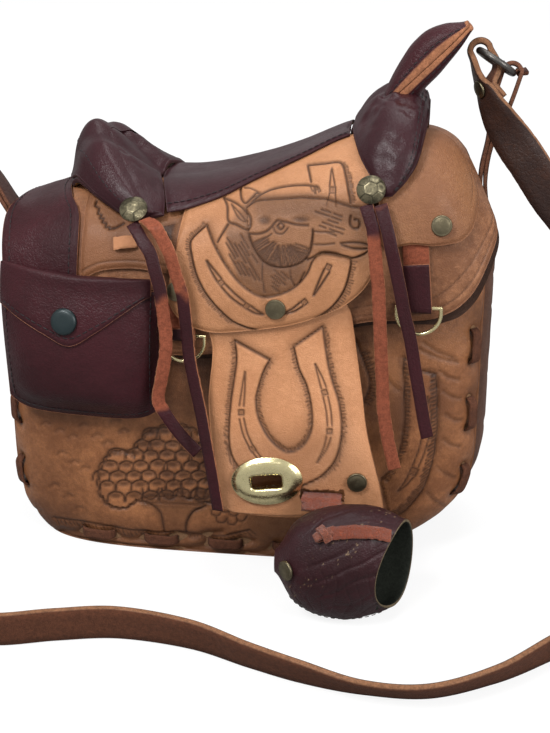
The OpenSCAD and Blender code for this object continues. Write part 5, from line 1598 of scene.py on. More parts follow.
        def surface(u: Array, v: Array, off: Array) -> Array:
            """Point of the gusset, u from mouth to mouth round the base and v across it."""
            deep = inset + HIDE.hide_t - off
            lift = HIDE.hide_t - off
            right = side_point(1.0, BAG.mouth_h * (1 - u / edge).clip(0, 1) ** 1.4, v, -deep)
            left = side_point(
                -1.0, BAG.mouth_h * ((u - 1 + edge) / edge).clip(0, 1) ** 1.4, v, -deep
            )
            zero = np.zeros_like(u)
            a, b = side_point(1.0, zero, v, -deep), side_point(-1.0, zero, v, -deep)
            ends = side_point(1.0, zero, zero, -deep), side_point(-1.0, zero, zero, -deep)
            f = ((u - edge) / (1 - 2 * edge)).clip(0, 1)
            x, ex = lerp(a[..., 0], b[..., 0], f), lerp(ends[0][..., 0], ends[1][..., 0], f)
            swell = (self.face_depth(ex) - deep) / (self.face_depth(ends[0][..., 0]) - deep)
            base = np.stack([x, a[..., 1] * swell, zero], axis=-1)
            p = np.where(
                (u < edge)[..., None], right, np.where((u > 1 - edge)[..., None], left, base)
            )
            return np.stack([p[..., 0], p[..., 1], np.maximum(p[..., 2], lift)], axis=-1)

        def creases(p: Array) -> tuple[Array, Array]:
            """Folds across the gusset where it bends."""
            folds = np.abs(np.sin(p[..., 2] / 9.0 + 1.5 * noise(p, 20.0, 21)))
            height = -0.5 * bell(folds, 0.25) * smooth(p[..., 2] / 20) + 0.3 * noise(p, 8.0, 22)
            return height, 0 * folds

        mesh = hide_sheet(surface, even(260), even(60), HIDE.hide_t, creases, coarse=4)
        self.shop.piece("gusset_bowed", mesh, Finish.EDGE, "bag", ["gusset"])

    @staticmethod
    def face_depth(x: Array) -> Array:
        """Depth of the bag's front face at the place x at its base."""
        q = np.minimum(np.abs(x) / BAG.width(np.zeros_like(x), x), 1)
        return BAG.depth(0.0) * (1 - q**BAG.plan_power) ** (1 / BAG.plan_power)

    def hinge(self) -> None:
        """Strip that carries the flap on the back panel."""
        top, drop, thick, share = 149.4, 18.0, 1.6, 0.74

        def surface(u: Array, v: Array, off: Array) -> Array:
            """Point of the strip, u along it and v up it."""
            x, z = lerp(-1.0, 1.0, u) * share * BAG.half_w, lerp(top - drop, top, v)
            q = np.abs(x) / BAG.width(z, x)
            y = BAG.depth(z) * (1 - q**BAG.plan_power) ** (1 / BAG.plan_power) + HIDE.gap
            return np.stack([x, y + off, z], axis=-1)

        mesh = hide_sheet(surface, even(180), even(22), thick, lumps(0.15, 8.0, 31))
        self.shop.piece("hinge_strip_leather", mesh, Finish.EDGE, "bag", ["hinge_strip"])
        u = even(240)
        for k, z in enumerate((top - 3.0, top - drop + 3.0)):
            line = surface(u, np.full_like(u, (z - top + drop) / drop), np.full_like(u, thick))
            row = stitches(line, np.tile([0.0, 1.0, 0.0], (len(u), 1)), HINGE_SEWING)
            self.shop.piece(f"hinge_stitches_{k + 1}", row, Finish.BROWN_THREAD, "bag")

    def lacing(self, mid: float, node: str) -> None:
        """Suede lace that shows beside the seams and over the base, its ends sunk into holes."""
        laces = [self.lace(*ends) for ends in self.lace_places(mid)]
        self.shop.piece(f"{node}_suede", reduce(MeshData.joined, laces), Finish.LACE, "bag", [node])

    def lace(self, start: tuple[float, float], end: tuple[float, float]) -> MeshData:
        """One stitch of lace between two holes, each an angle and a height on the wall."""
        f = np.linspace(-0.02, 1.02, 17)
        bend = np.abs(2 * f - 1)
        a, z = lerp(start[0], end[0], f), lerp(start[1], end[1], f)
        path = BAG.wall(a, z, 2 * HIDE.gap + self.lace_t / 2 - self.lace_sink * bend**6)
        out = unit(BAG.wall(a, z, np.ones(len(f))) - BAG.wall(a, z, np.zeros(len(f))))
        wides = np.cross(np.gradient(path, axis=0), out)
        return strip(path, wides, self.lace_w * (1 - 0.15 * bend**4), self.lace_t, 0.25)


class Tack:
    """Rings, tabs and the long strap."""

    loop_wide = unit(np.array([0.0, -0.95, 0.3]))
    ring_dir = unit(np.array([-0.84, 0.0, 0.54]))
    ring_r = 9.2
    ring_wire_r = 1.6
    loop_w = 7.6
    tab_w = 15.0
    tab_t = 2.0
    strap_w = 19.0
    strap_t = 2.8
    rivet_size = (4.0, 1.6)
    right_route = ((0, -0.11), (-0.05, 0.13), (-0.3, 0.38), (0, 0.6), (0.5, 0.81), (1, 1))
    left_route = ((0, -0.22), (0, 0.06), (0.17, 0.3), (0.36, 0.56), (0.66, 0.78), (1, 1))
    right_reach = (8.0, 80.5)
    left_reach = (-34.0, 40.0)
    narrow = (0.4, 0.54, 0.68, 0.78, 0.88, 0.95)
    strap_rows: tuple[tuple[Point, Point], ...] = (
        ((103, 2, 240.5), (0.1, -0.9, 0.3)), ((105, 0.5, 235), (0.2, -0.9, 0.3)),
        ((108, -1, 229.5), (0.4, -0.8, 0.4)), ((111.5, -5.6, 223.6), (0.6, -0.6, 0.5)),
        ((115, -7.5, 218.5), (0.7, -0.4, 0.5)), ((119, -8, 212.5), (0.8, -0.3, 0.5)),
        ((124, -10, 206), (0.8, -0.2, 0.6)), ((131, -14, 197.5), (0.8, -0.2, 0.6)),
        ((140.5, -18, 184.5), (0.8, -0.2, 0.6)), ((154, -22, 169), (0.8, -0.2, 0.6)),
        ((168, -27, 150), (0.8, -0.2, 0.5)), ((182, -34, 125), (0.9, -0.2, 0.4)),
        ((193, -44, 98), (0.9, -0.3, 0.4)), ((199, -56, 72), (0.8, -0.4, 0.5)),
        ((199, -68, 48), (0.6, -0.5, 0.7)), ((192, -80, 29), (0.4, -0.4, 0.9)),
        ((181, -92, 16), (0.2, -0.3, 0.9)), ((167, -105, 10.5), (0.1, -0.3, 1)),
        ((150, -120, 9.8), (0, -0.4, 0.9)), ((126, -141, 9), (0, -0.6, 0.8)),
        ((98, -156, 8.5), (0, -0.7, 0.8)), ((70, -157, 8.5), (0, -0.7, 0.8)),
        ((42, -150, 9), (0, -0.5, 0.9)), ((18, -141, 9.5), (0, -0.4, 0.9)),
        ((-10, -129, 9.8), (0, -0.3, 1)), ((-44, -124, 9.8), (0, -0.2, 1)),
        ((-72, -129, 9.8), (0, -0.2, 1)), ((-98, -136, 9.8), (0, -0.2, 1)),
        ((-130, -137, 9.8), (0, -0.2, 1)), ((-160, -124, 11), (0, -0.2, 1)),
        ((-182, -101, 19), (-0.2, -0.2, 0.9)), ((-195, -73, 42), (-0.4, -0.3, 0.8)),
        ((-200, -48, 76), (-0.5, -0.5, 0.6)), ((-196, -26, 114), (-0.4, -0.7, 0.6)),
        ((-187, -11, 148), (-0.2, -0.8, 0.6)), ((-179, -3, 172), (-0.1, -0.8, 0.6)),
        ((-174.5, 1, 185), (-0.1, -0.8, 0.6)), ((-171, 3.5, 197), (0, -0.7, 0.7)),
    )

    def __init__(self, shop: Workshop) -> None:
        """Work out the rings' loops."""
        self.shop = shop
        self.sag = self.ring_r - np.sqrt(self.ring_r**2 - self.loop_w**2 / 4)
        self.hole_r = self.ring_wire_r + self.sag / 2 + 4 * HIDE.gap
        foot = {1: self.foot(1), -1: self.foot(-1)}
        self.right = self.route(foot[1], self.right_route, *self.right_reach)
        self.left = self.route(foot[-1], self.left_route, *self.left_reach)
        self.places = np.array([q[0] for q in self.strap_rows], float)
        self.wides = unit(np.array([q[1] for q in self.strap_rows], float))
        w = self.wides[:, 2]
        low = HIDE.gap + self.strap_w / 2 * w + self.strap_t / 2 * np.sqrt(1 - w**2)
        self.places[:, 2] = np.maximum(self.places[:, 2], low)

    def build(self) -> None:
        """Make tabs, strap and rivets, and finish the rings."""
        self.tab(self.right, "right")
        self.tab(self.left, "left")
        self.strap()
        self.shop.dress(Finish.STEEL, "strap_ring_right", "strap_ring_left")

    def foot(self, side: int) -> float:
        """Place along X of the middle of a tab's foot, inside the gusset at the mouth."""
        off = -(HIDE.hide_t + HIDE.gap) - HIDE.hide_t - 1.4 - self.tab_t + 3.0
        angle = 0.0 if side > 0 else 180.0
        return float(BAG.wall(np.array(angle), np.array(BAG.mouth_h), np.array(off))[0])

    @staticmethod
    def route(foot: float, shares: Sequence, out: float, rise: float) -> Array:
        """Way of a tab from its foot to its loop."""
        q = np.array(shares, float)
        return np.stack([
            foot + q[:, 0] * out, lerp(2.0, 5.0, smooth(2 * q[:, 1])), BAG.mouth_h + q[:, 1] * rise
        ], axis=-1)

    def loop(self, place: Array, away: Array, radius: float) -> Array:
        """Points of leather that goes half round a wire."""
        out = unit(away - np.dot(away, self.loop_wide) * self.loop_wide)
        side = unit(np.cross(self.loop_wide, out))
        a = np.radians(np.linspace(-90, 90, 9))[:, None]
        return place + radius * (np.cos(a) * out + np.sin(a) * side)

    def tab(self, route: Array, side: str) -> None:
        """Tab of two thicknesses of leather whose loop holds a ring."""
        last = len(route) - 1
        radius = self.hole_r + self.tab_t / 2
        spread = np.array(
            [0.9 * radius if i == last - 1 else self.tab_t / 2 + HIDE.gap / 2 for i in range(last)]
        )
        wide = np.array([
            lerp(np.array([0.0, -1.0, 0.0]), self.loop_wide, smooth(i / last)) for i in range(last)
        ])
        across = unit(np.cross(wide, route[1:] - route[:-1]))
        width = np.array(
            [lerp(self.tab_w, self.loop_w, smooth(2 * i / last - 1)) for i in range(last)]
        )
        up, down = route[:-1] - spread[:, None] * across, route[:-1] + spread[:, None] * across
        bend = self.loop(route[-1], route[-1] - route[-2], radius)
        path = np.vstack([up, bend, down[::-1]])
        wides = np.vstack([wide, np.tile(self.loop_wide, (9, 1)), wide[::-1]])
        widths = np.concatenate([width, np.full(9, self.loop_w), width[::-1]])
        mesh = strip(
            finer(path, 220), finer(wides, 220), finer(widths[:, None], 220)[:, 0], self.tab_t, 0.15
        )
        self.shop.piece(
            f"strap_tab_{side}_leather", mesh, Finish.STRAP_BACK, "bag", [f"strap_tab_{side}"]
        )

    def strap(self) -> None:
        """Shoulder strap through both rings, its short ends riveted to the long part."""
        n = len(self.places) - 1
        radius = self.hole_r + self.strap_t / 2
        apart = 2 * self.ring_r - self.sag
        right = self.loop(
            self.right[-1] + apart * self.ring_dir, np.array([-0.2, 0.0, 1.0]), radius
        )
        left = self.loop(self.left[-1] + apart * self.ring_dir, np.array([0.0, 0.0, 1.0]), radius)
        steps = np.array(
            [self.places[min(i + 1, n)] - self.places[max(i - 1, 0)] for i in range(n + 1)]
        )
        ups = unit(np.cross(self.wides, steps))
        gaps = (2.1 * radius, self.strap_t + HIDE.gap, self.strap_t + HIDE.gap)
        share = np.array(
            [self.narrow[min(i, n - i)] if min(i, n - i) < 6 else 1.0 for i in range(n + 1)]
        )
        first = [self.places[i] + gaps[i - 1] * ups[i] for i in (3, 2, 1)]
        end = [self.places[n - i] - gaps[i - 1] * ups[n - i] for i in (1, 2, 3)]
        ring = np.tile(self.loop_wide, (9, 1))
        path = np.vstack([first, right, self.places, left[::-1], end])
        wides = np.vstack(
            [self.wides[[3, 2, 1]], ring, self.wides, ring, self.wides[[n - 1, n - 2, n - 3]]]
        )
        widths = self.strap_w * np.concatenate(
            [share[[3, 2, 1]], np.full(9, share[0]), share, np.full(9, share[0]), share[[1, 2, 3]]]
        )
        count = 900
        mesh = strip(
            finer(path, count), finer(wides, count), finer(widths[:, None], count)[:, 0],
            self.strap_t, 0.12,
        )
        self.shop.piece("shoulder_strap_leather", mesh, Finish.STRAP, "bag", ["shoulder_strap"])
        caps = []
        for row, out in ((2, -ups[2]), (n - 2, ups[n - 2])):
            seat = Seat.of(self.places[row] + (self.strap_t / 2 + HIDE.gap) * out, out)
            caps.append(rivet(seat, *self.rivet_size))
        mesh = reduce(MeshData.joined, caps)
        self.shop.piece("strap_rivet_caps", mesh, Finish.RIVET, "bag", ["strap_rivets"])


def rivet(seat: Seat, radius: float = 4.7, height: float = 1.8) -> MeshData:
    """Rivet with a low domed cap, a thin raised rim and a short shank."""
    r, h, shank = radius, height, 1.2
    profile = [
        (0, h), (0.3 * r, 0.99 * h), (0.6 * r, 0.93 * h), (0.78 * r, 0.82 * h),
        (0.86 * r, 0.76 * h), (0.9 * r, 0.8 * h), (0.96 * r, 0.74 * h), (r, 0.5 * h), (r, 0.2 * h),
        (0.95 * r, 0.0), (shank, 0.0), (shank, -2.0), (0, -2.0),
    ]
    return turned(seat, profile, dark=0.5 * h)


class SaddleFlap:
    """Saddle that closes the bag: skirt, jockeys, fender, seat, cantle, pommel and horn."""

    skirt_back = ((-0.8, -0.99), (-0.4, -0.99), (0, -0.99), (0.4, -0.99), (0.8, -0.99))
    skirt_front = (
        (-0.84, -0.8), (-0.88, -0.4), (-0.91, 0), (-0.93, 0.4), (-0.92, 0.75), (-0.86, 0.92),
        (-0.7, 0.97), (-0.4, 0.95), (-0.14, 0.95), (0.15, 0.97), (0.43, 0.99), (0.68, 1),
        (0.8, 0.93), (0.89, 0.75), (0.955, 0.53), (0.98, 0.36), (0.95, 0.22), (0.875, 0.06),
        (0.86, -0.1), (0.84, -0.4), (0.82, -0.8),
    )
    rear_top = ((-0.6, 0.2), (-0.5, 0.22), (-0.38, 0.22), (-0.26, 0.24), (-0.17, 0.28))
    rear_low = ((-0.6, 0.67), (-0.52, 0.63), (-0.4, 0.61), (-0.27, 0.62), (-0.17, 0.63))
    front_inner = ((0.535, 0.24), (0.535, 0.38), (0.535, 0.5), (0.54, 0.6), (0.54, 0.7))
    front_outer = (
        (0.72, 0.1), (0.8, 0.14), (0.86, 0.2), (0.9, 0.3), (0.9, 0.42), (0.88, 0.53), (0.83, 0.63),
        (0.75, 0.69), (0.66, 0.7), (0.6, 0.71),
    )
    jockey_top = (
        (-0.2, 0.33), (-0.06, 0.28), (0.08, 0.24), (0.24, 0.18), (0.38, 0.15), (0.49, 0.22)
    )
    jockey_low = (
        (-0.24, 0.62), (-0.255, 0.7), (-0.21, 0.78), (-0.1, 0.84), (0.06, 0.866), (0.25, 0.895),
        (0.37, 0.9), (0.44, 0.88), (0.5, 0.835), (0.525, 0.77), (0.52, 0.6),
    )
    fender_left = (
        (-0.1, 0.5), (-0.11, 0.7), (-0.105, 0.82), (-0.085, 0.92), (-0.096, 1.08), (-0.1, 1.2),
        (-0.087, 1.4), (-0.062, 1.72), (0, 1.81),
    )
    fender_right = (
        (0.38, 0.5), (0.4, 0.7), (0.42, 0.86), (0.45, 0.95), (0.475, 1.15), (0.5, 1.36),
        (0.525, 1.575), (0.585, 1.9), (0.605, 2.1),
    )
    seat_front = (
        (-0.272, 0.4), (-0.2, 0.385), (-0.15, 0.37), (-0.06, 0.34), (0.06, 0.28), (0.2, 0.235),
        (0.33, 0.21), (0.405, 0.2),
    )
    cantle_rear = (
        (-0.35, 0.44), (-0.45, 0.42), (-0.58, 0.33), (-0.68, 0.17), (-0.71, 0), (-0.68, -0.22),
        (-0.58, -0.44), (-0.45, -0.56), (-0.35, -0.58),
    )
    cantle_seat = (
        (-0.285, 0.415), (-0.29, 0.35), (-0.315, 0.23), (-0.345, 0.1), (-0.355, 0), (-0.345, -0.12),
        (-0.315, -0.3), (-0.29, -0.48), (-0.285, -0.55),
    )
    pommel_seat = (
        (0.545, 0.545), (0.5, 0.465), (0.455, 0.37), (0.425, 0.24), (0.41, 0.1), (0.4, 0),
        (0.41, -0.12), (0.425, -0.3), (0.455, -0.46), (0.5, -0.58), (0.545, -0.66),
    )
    pommel_horn = (
        (0.585, 0.545), (0.637, 0.49), (0.675, 0.41), (0.695, 0.25), (0.7, 0.1), (0.7, 0),
        (0.7, -0.12), (0.695, -0.3), (0.675, -0.5), (0.637, -0.6), (0.585, -0.66),
    )
    fender_bow = 12.5
    cantle_rise = 24.0
    cantle_lean = 7.0
    pommel_rise = 15.0
    cantle_arch = (0.16, 0.22, 0.42, 0.72, 1, 0.72, 0.36, 0.2, 0.14)
    cantle_crown = (0.1, 0.62, 0.93, 1, 0.8, 0.42, 0.08)
    pommel_arch = (0.14, 0.22, 0.42, 0.72, 0.95, 1, 0.9, 0.66, 0.38, 0.2, 0.14)
    pommel_crown = (0.12, 0.6, 0.88, 1, 1, 0.9, 0.6)
    horn_x, horn_lift = 66.0, 13.8
    horn_slope = 44.5
    horn_length, horn_width = 48.0, 20.0
    horn_wide = (0.95, 1, 0.98, 0.94, 0.86, 0.74, 0.45)
    jockey_paper = ((180.0, 140.0), 1.658)
    slot_x, slot_z = 16.6, 55.2
    hanger_x, hanger_z = 42.8, 49.3

    def __init__(self, shop: Workshop) -> None:
        """Remember the workshop."""
        self.shop = shop

    def build(self) -> None:
        """Make all its pieces."""
        self.skirt()
        self.jockeys()
        self.fender()
        self.seat()
        self.cantle()
        self.pommel()
        self.horn()

    def bow(self, t: Array) -> Array:
        """Clearance of the fender from the skirt at t."""
        return self.fender_bow * smooth((t - 0.86) / 1.05)

    def skirt(self) -> None:
        """Skirt and its lining."""
        surface = sheet_between(self.skirt_back, self.skirt_front, 0.0)
        columns = np.concatenate(
            [np.linspace(0, 0.5, 60, endpoint=False), np.linspace(0.5, 1, 170)]
        )
        relief = together(self.skirt_work(), lumps(0.25, 20.0, 41), lumps(0.1, 6.0, 42))
        mesh = hide_sheet(surface, even(290), columns, HIDE.hide_t, relief)
        self.shop.piece("skirt_carved", mesh, Finish.SKIRT, "flap", ["flap_skirt"])
        low = -HIDE.lining_t - HIDE.gap
        lining = sheet_between(self.skirt_back, self.skirt_front, low)
        mesh = hide_sheet(
            lining, even(220), np.linspace(0, 1.015, 120), HIDE.lining_t, lumps(0.15, 5.0, 43)
        )
        self.shop.piece("skirt_lining_suede", mesh, Finish.LINING, "flap", ["skirt_lining"])

    def skirt_work(self) -> Relief:
        """Groove beside the free edge of the skirt."""
        u = even(400)
        edge = spline(self.skirt_front, u)
        back = spline(self.skirt_back, u)
        lines = []
        for share in (0.965, 0.985):
            p = lerp(back, edge, share)
            lines.append(DRAPE.point(p[:, 0], p[:, 1], HIDE.hide_t))
        return grooves(lines, 0.45, 0.5, 0.6)

    def jockeys(self) -> None:
        """Rear, front and seat jockeys."""
        rear = sheet_between(self.rear_top, self.rear_low, HIDE.layer_1)
        work = self.border_work(self.rear_top, self.rear_low, HIDE.layer_1)
        relief = together(work, self.rear_marks(), lumps(0.2, 14.0, 51))
        mesh = hide_sheet(rear, even(150), even(110), HIDE.hide_t, relief)
        self.shop.piece("rear_jockey_leather", mesh, Finish.JOCKEY, "flap", ["rear_jockey"])

        front = sheet_between(self.front_inner, self.front_outer, self.front_lift)
        relief = together(
            self.border_work(self.front_inner, self.front_outer, HIDE.layer_1), lumps(0.2, 14.0, 52)
        )
        mesh = hide_sheet(front, even(180), even(140), HIDE.hide_t, relief)
        self.shop.piece("front_jockey_leather", mesh, Finish.JOCKEY, "flap", ["front_jockey"])

        seat = sheet_between(self.jockey_top, self.jockey_low, 2 * HIDE.layer_1)
        relief = together(self.jockey_horseshoe(), self.horse(), lumps(0.15, 16.0, 53))
        mesh = hide_sheet(seat, even(300), even(200), HIDE.hide_t, relief)
        self.shop.piece("seat_jockey_carved", mesh, Finish.SADDLE, "flap", ["seat_jockey"])

    @staticmethod
    def front_lift(u: Array, _v: Array) -> Array:
        """Height of the front jockey over the drape, which grows towards its lower end."""
        return HIDE.layer_1 + 2.1 * smooth((u - 0.35) / 0.25)

    @staticmethod
    def rear_marks() -> Carving:
        """Row of dark thread, and a pressed triangle beside the lace filled with painted shadow,
        drawn on a close view.
        """
        c = Carving(LENS)
        row = [
            (95.4, 201.6), (99.5, 213.2), (102.8, 219.8), (107.8, 227.3), (114.4, 228.1),
            (122.7, 223.9),
        ]
        p = spline(np.array(row), np.linspace(0, 1, 17))
        c.straight([(x + 1.3 * (-1) ** k, y - 0.8 * (-1) ** k) for k, (x, y) in enumerate(p)])
        shadow_patch = [(161.7, 226.4), (174.1, 223.9), (170.8, 241.4)]
        # The triangle is pressed in and filled with painted shadow at full ink.
        return c.shape(shadow_patch, 0.9, 1.5).tone(shadow_patch, 1.0, 0.8)

    @staticmethod
    def border_work(edge_a: Sequence, edge_b: Sequence, off: float) -> Relief:
        """Groove round a jockey, beside its outer edge."""
        u = even(160)
        p = lerp(spline(edge_a, u), spline(edge_b, u), 0.93)
        return grooves([DRAPE.point(p[:, 0], p[:, 1], off + HIDE.hide_t)], 0.4, 0.5, 0.5)

    @staticmethod
    def jockey_horseshoe() -> Carving:
        """Horseshoe carved round the horse's head, drawn on squared paper."""
        c = Carving(LENS, *SaddleFlap.jockey_paper)
        outline = [
            (16, 51), (6.5, 60.5), (7, 70), (10, 82), (15, 92), (22, 101), (32, 110), (45, 115),
            (60, 117), (75, 112), (88, 104), (95, 97), (100, 88), (103, 73), (96, 70.5), (85, 69),
            (80, 73), (77, 80), (72, 86.5), (66, 91), (58, 94), (50, 95), (42, 91.5), (34, 84.5),
            (26, 73.5), (20, 62),
        ]
        c.curve(outline, closed=True)
        c.shape(outline, 0.8, 1.8)
        for line, halves in (
            (((16, 73), (20, 79.5), (23.5, 84.5)), (0.1, 1.0, 1.5)),
            (((26, 88), (31.5, 93.8), (38, 99)), (1.4, 1.6, 1.4)),
            (((42, 101.5), (45.5, 103.8), (50, 105.5)), (1.3, 1.0, 0.1)),
            (((80.5, 94), (85, 85.5), (88.5, 79)), (0.1, 1.2, 1.8)),
            (((62, 105), (68, 103), (73, 99.5)), (0.1, 0.9, 1.4)),
        ):
            c.ribbon(line, halves, Cut.KNIFE)
        for x, y, way in (
            (24.7, 86.2, (1, 1.1)), (40, 100.3, (1.4, 1)), (89.4, 76.8, (0.5, -1)),
            (75, 98, (1, -0.8)),
        ):
            c.nail((x, y), 1.5, way)
        arm = [(77, 15), (87, 14), (97, 13.5), (100, 22), (103, 38)]
        c.curve(arm).curve([(77, 15), (78, 20), (79, 25)])
        c.ribbon([(91.5, 17), (91.6, 23), (91.8, 28)], (0.1, 1.0, 1.7)).nail((92, 30), 1.7, (0, 1))
        c.ribbon([(91.8, 32), (91.5, 36), (91, 40)], (1.7, 2.4, 3.0))
        c.hatch([
            (16, 51), (6.5, 60.5), (7, 70), (10, 82), (15, 92), (22, 101), (32, 110)
        ], 2.4, 1.1, 0, Cut.HAIR, 61)
        c.hatch([
            (60, 117), (75, 112), (88, 104), (95, 97), (100, 88), (103, 73)
        ], 3.5, 1.6, 0, Cut.HAIR, 68)
        c.hatch([(97, 13.5), (100, 22), (103, 38)], -3, 1.1, 10, Cut.HAIR, 62)
        return c

    @staticmethod
    def horse() -> Carving:
        """Horse's head inside the horseshoe, a common figure on such leather, drawn as lines given
        one by one.
        """
        c = Carving(LENS, *SaddleFlap.jockey_paper)
        ear = [
            (26.5, 34.5), (28.5, 40), (29, 48.5), (34, 51), (41, 54), (42.5, 48), (40, 43), (34, 38)
        ]
        cheek = [
            (41.5, 56.5), (43, 62), (46, 68), (50, 73), (56, 76.5), (63, 77), (70, 75.5),
            (76, 71.5), (79, 65), (80, 58), (80, 54),
        ]
        jaw = [
            (114.5, 66), (111, 69), (104, 71.5), (99, 70.5), (93, 68.5), (86, 68), (80, 71),
            (76.5, 72.5),
        ]
        top = [
            (40.5, 40), (46, 36.5), (55, 35.5), (65, 35), (73, 34.5), (80, 35), (88, 35.5),
            (96, 38), (104, 40.5), (111, 41),
        ]
        c.curve(ear, closed=True).curve(
            [(31, 38.5), (36, 44), (39.5, 49), (35, 46.5)], Cut.FINE, closed=True
        )
        c.curve([(36.5, 29), (37, 35), (39.5, 37.5), (43, 34.5), (46, 31.5), (49, 32)])
        c.curve([(39, 28.5), (43, 29), (48, 32), (44, 34)], Cut.FINE)
        c.curve(top).curve(cheek).curve(jaw)
        c.curve([(42, 38.5), (47, 33.5), (55, 29.5), (65, 27.5), (75, 27), (83, 28)])
        c.fill([(78, 27), (86, 27), (86, 33), (78, 33)], (0.4, 1), 0.9, 4, 63)
        c.hatch([
            (43, 62), (46, 68), (50, 73), (56, 76.5), (63, 77), (70, 75.5), (76, 71.5), (79, 65)
        ], -12, 1.1, -5, Cut.FINE, 64)
        c.curve([(42, 56.5), (48, 56.5), (53, 54.5), (57, 50), (58, 49)])
        c.curve([(58.5, 48.5), (64, 49.5), (70, 51), (77, 51.5)])
        c.curve([(58.5, 52), (60.5, 50), (62.5, 52), (60.5, 54)], Cut.KNIFE, closed=True)
        c.curve([(56, 52.5), (58, 56), (62, 56.5), (65, 53)], Cut.FINE)
        c.shade((51, 48.5), (4.5, 3.2), 0.5, 0.8).shade((73, 48), (6, 2.2), 0.4, 0.8)
        c.curve([(80, 55), (86, 55.6), (93, 55.5)], Cut.FINE).curve(
            [(80.5, 63), (87, 63.2), (93, 62.5)], Cut.FINE
        )
        c.curve([
            (103, 46), (102.5, 50), (104, 53), (107, 53.5), (108.5, 51), (107.5, 48.5), (105.5, 48)
        ])
        c.curve([(111, 41), (111, 43.5), (113.5, 50), (114.5, 57), (114.5, 66)])
        c.curve([(97, 62.5), (104, 62), (110, 62.5), (114.5, 64)]).curve(
            [(97.5, 63.5), (104, 65.5), (110, 66), (114.5, 65.5)]
        )
        c.curve([(29, 50.5), (25, 57), (22.5, 61.5)])
        for line in (
            [(49.5, 74), (49.5, 82), (51, 92)], [(66, 78), (67, 84), (69, 88)],
            [(75, 80), (73.5, 83), (72, 86)],
        ):
            c.curve(line, Cut.FINE)
        c.fill(
            [(27, 55), (41, 57), (47, 72), (50, 92), (40, 88), (28, 70)], (0.5, 0.86), 2.0, 12, 65
        )
        c.fill([(50, 78), (65, 78), (68, 90), (52, 94)], (1, 0.9), 2.0, 8, 66)
        c.fill([(80, 40), (100, 42), (100, 60), (84, 58)], (1, 0.35), 2.4, 8, 67)
        c.shape([*top, (114.5, 60), *jaw, *cheek[::-1]], 0.75, 2.4)
        head = (
            (27, 52), (44, 34), (80, 33), (112, 41), (116, 66), (80, 70), (76, 82), (66, 92),
            (50, 96), (34, 84),
        )
        brow = ((44, 34), (80, 33), (112, 41), (114, 52), (96, 50), (80, 47), (60, 46), (46, 46))
        neck = ((27, 55), (41, 57), (46, 70), (60, 79), (76, 76), (70, 90), (50, 96), (34, 84))
        jowl = ((42, 58), (47, 70), (57, 77), (70, 76), (79, 66), (60, 62))
        for region, ink, blur in ((head, 0.5, 4), (brow, 0.4, 6), (neck, 0.4, 5), (jowl, 0.3, 6)):
            c.tone(region, ink, blur)
        return c

    def fender(self) -> None:
        """Fender with its horseshoe, the slot of the lock and the slit of the hanger."""

        def surface(u: Array, v: Array, off: Array) -> Array:
            """Point of the fender, u down it and v across it."""
            p = lerp(spline(self.fender_left, u), spline(self.fender_right, u), v[..., None])
            return DRAPE.point(p[..., 0], p[..., 1], HIDE.layer_1 + self.bow(p[..., 1]) + off)

        def holes(p: Array) -> Array:
            """Whether points lie in the lock's slot or in the hanger's slit."""
            slot = (np.abs(p[..., 0] - self.slot_x) < 8.0) & (np.abs(p[..., 2] - self.slot_z) < 4.2)
            ragged = 2.5 + 0.6 * noise(p, 2.0, 71)
            slit = (
                (np.abs(p[..., 0] - self.hanger_x) < 10.2)
                & (np.abs(p[..., 2] - self.hanger_z) < ragged)
            )
            return slot | slit

        relief = together(self.fender_horseshoe(), lumps(0.2, 18.0, 72), lumps(0.08, 5.0, 73))
        mesh = holed_sheet(surface, even(250), even(150), HIDE.hide_t, relief, holes)
        self.shop.piece("fender_carved", mesh, Finish.TAN, "flap", ["fender"])

    @staticmethod
    def fender_horseshoe() -> Carving:
        """Horseshoe with nail marks round the lock, drawn on a close view."""
        c = Carving(LENS)
        outer = [
            (234.7, 341.5), (236.4, 360), (233.6, 381.4), (230, 408.2), (228.6, 436.8),
            (230.9, 454.6), (238, 467), (250, 479), (270, 488), (290, 489), (303.2, 485.9),
            (321, 477), (333.6, 463.6), (339.8, 445.7), (341.6, 426), (338.9, 402.9),
            (331.8, 379.6), (327.3, 360), (322.6, 327.4),
        ]
        inner = [
            (269.5, 360.6), (263.9, 370.7), (258.6, 386.8), (255.9, 401), (258.6, 418.9),
            (267.5, 436.8), (280, 449.3), (290.7, 452.5), (303.2, 445.7), (311.3, 429.6),
            (311.3, 408.2), (306.8, 386.8), (298.8, 368.9), (293.6, 347.3),
        ]
        c.curve(outer).curve(inner)
        c.straight([outer[0], inner[0]]).straight([inner[-1], outer[-1]])
        c.shape([*outer, *inner[::-1]], 0.85, 2.0)
        for line, halves in (
            (((245, 372), (243.2, 390), (241.4, 406)), (0.2, 1.5, 2.2)),
            (((241.5, 419), (245, 434), (251, 447)), (2.2, 2.2, 2.0)),
            (((254, 451.5), (259, 458), (266, 465)), (1.9, 1.8, 1.6)),
            (((315, 364), (320, 377), (323.6, 388)), (0.2, 1.8, 2.6)),
            (((325.5, 397), (328.6, 412), (329.6, 426)), (2.4, 2.3, 2.3)),
            (((328.6, 437), (325, 449), (317, 463)), (2.4, 1.6, 0.2)),
        ):
            c.ribbon(line, halves)
        for x, y, way in (
            (241.2, 412.7, (0, 1)), (252.6, 449.6, (1, 1.4)), (324.6, 392.6, (0.3, 1)),
            (329.4, 431.6, (0, 1)),
        ):
            c.nail((x, y), 2.5, way)
        c.hatch(outer[:7], 4.5, 1.8, -10, Cut.HAIR, 74)
        c.hatch(outer[11:], 4.5, 1.8, 10, Cut.HAIR, 75)
        c.hatch(inner, -4, 1.7, 0, Cut.HAIR, 76)
        # Painted shade over the fender's lower part, and a painted shadow along its top under the
        # seat jockey's edge.
        c.tone([(222, 440), (345, 430), (372, 470), (390, 520), (215, 520)], 0.36, 24)
        c.tone([(200, 325), (345, 300), (360, 322), (210, 345)], 0.3, 10)
        return c

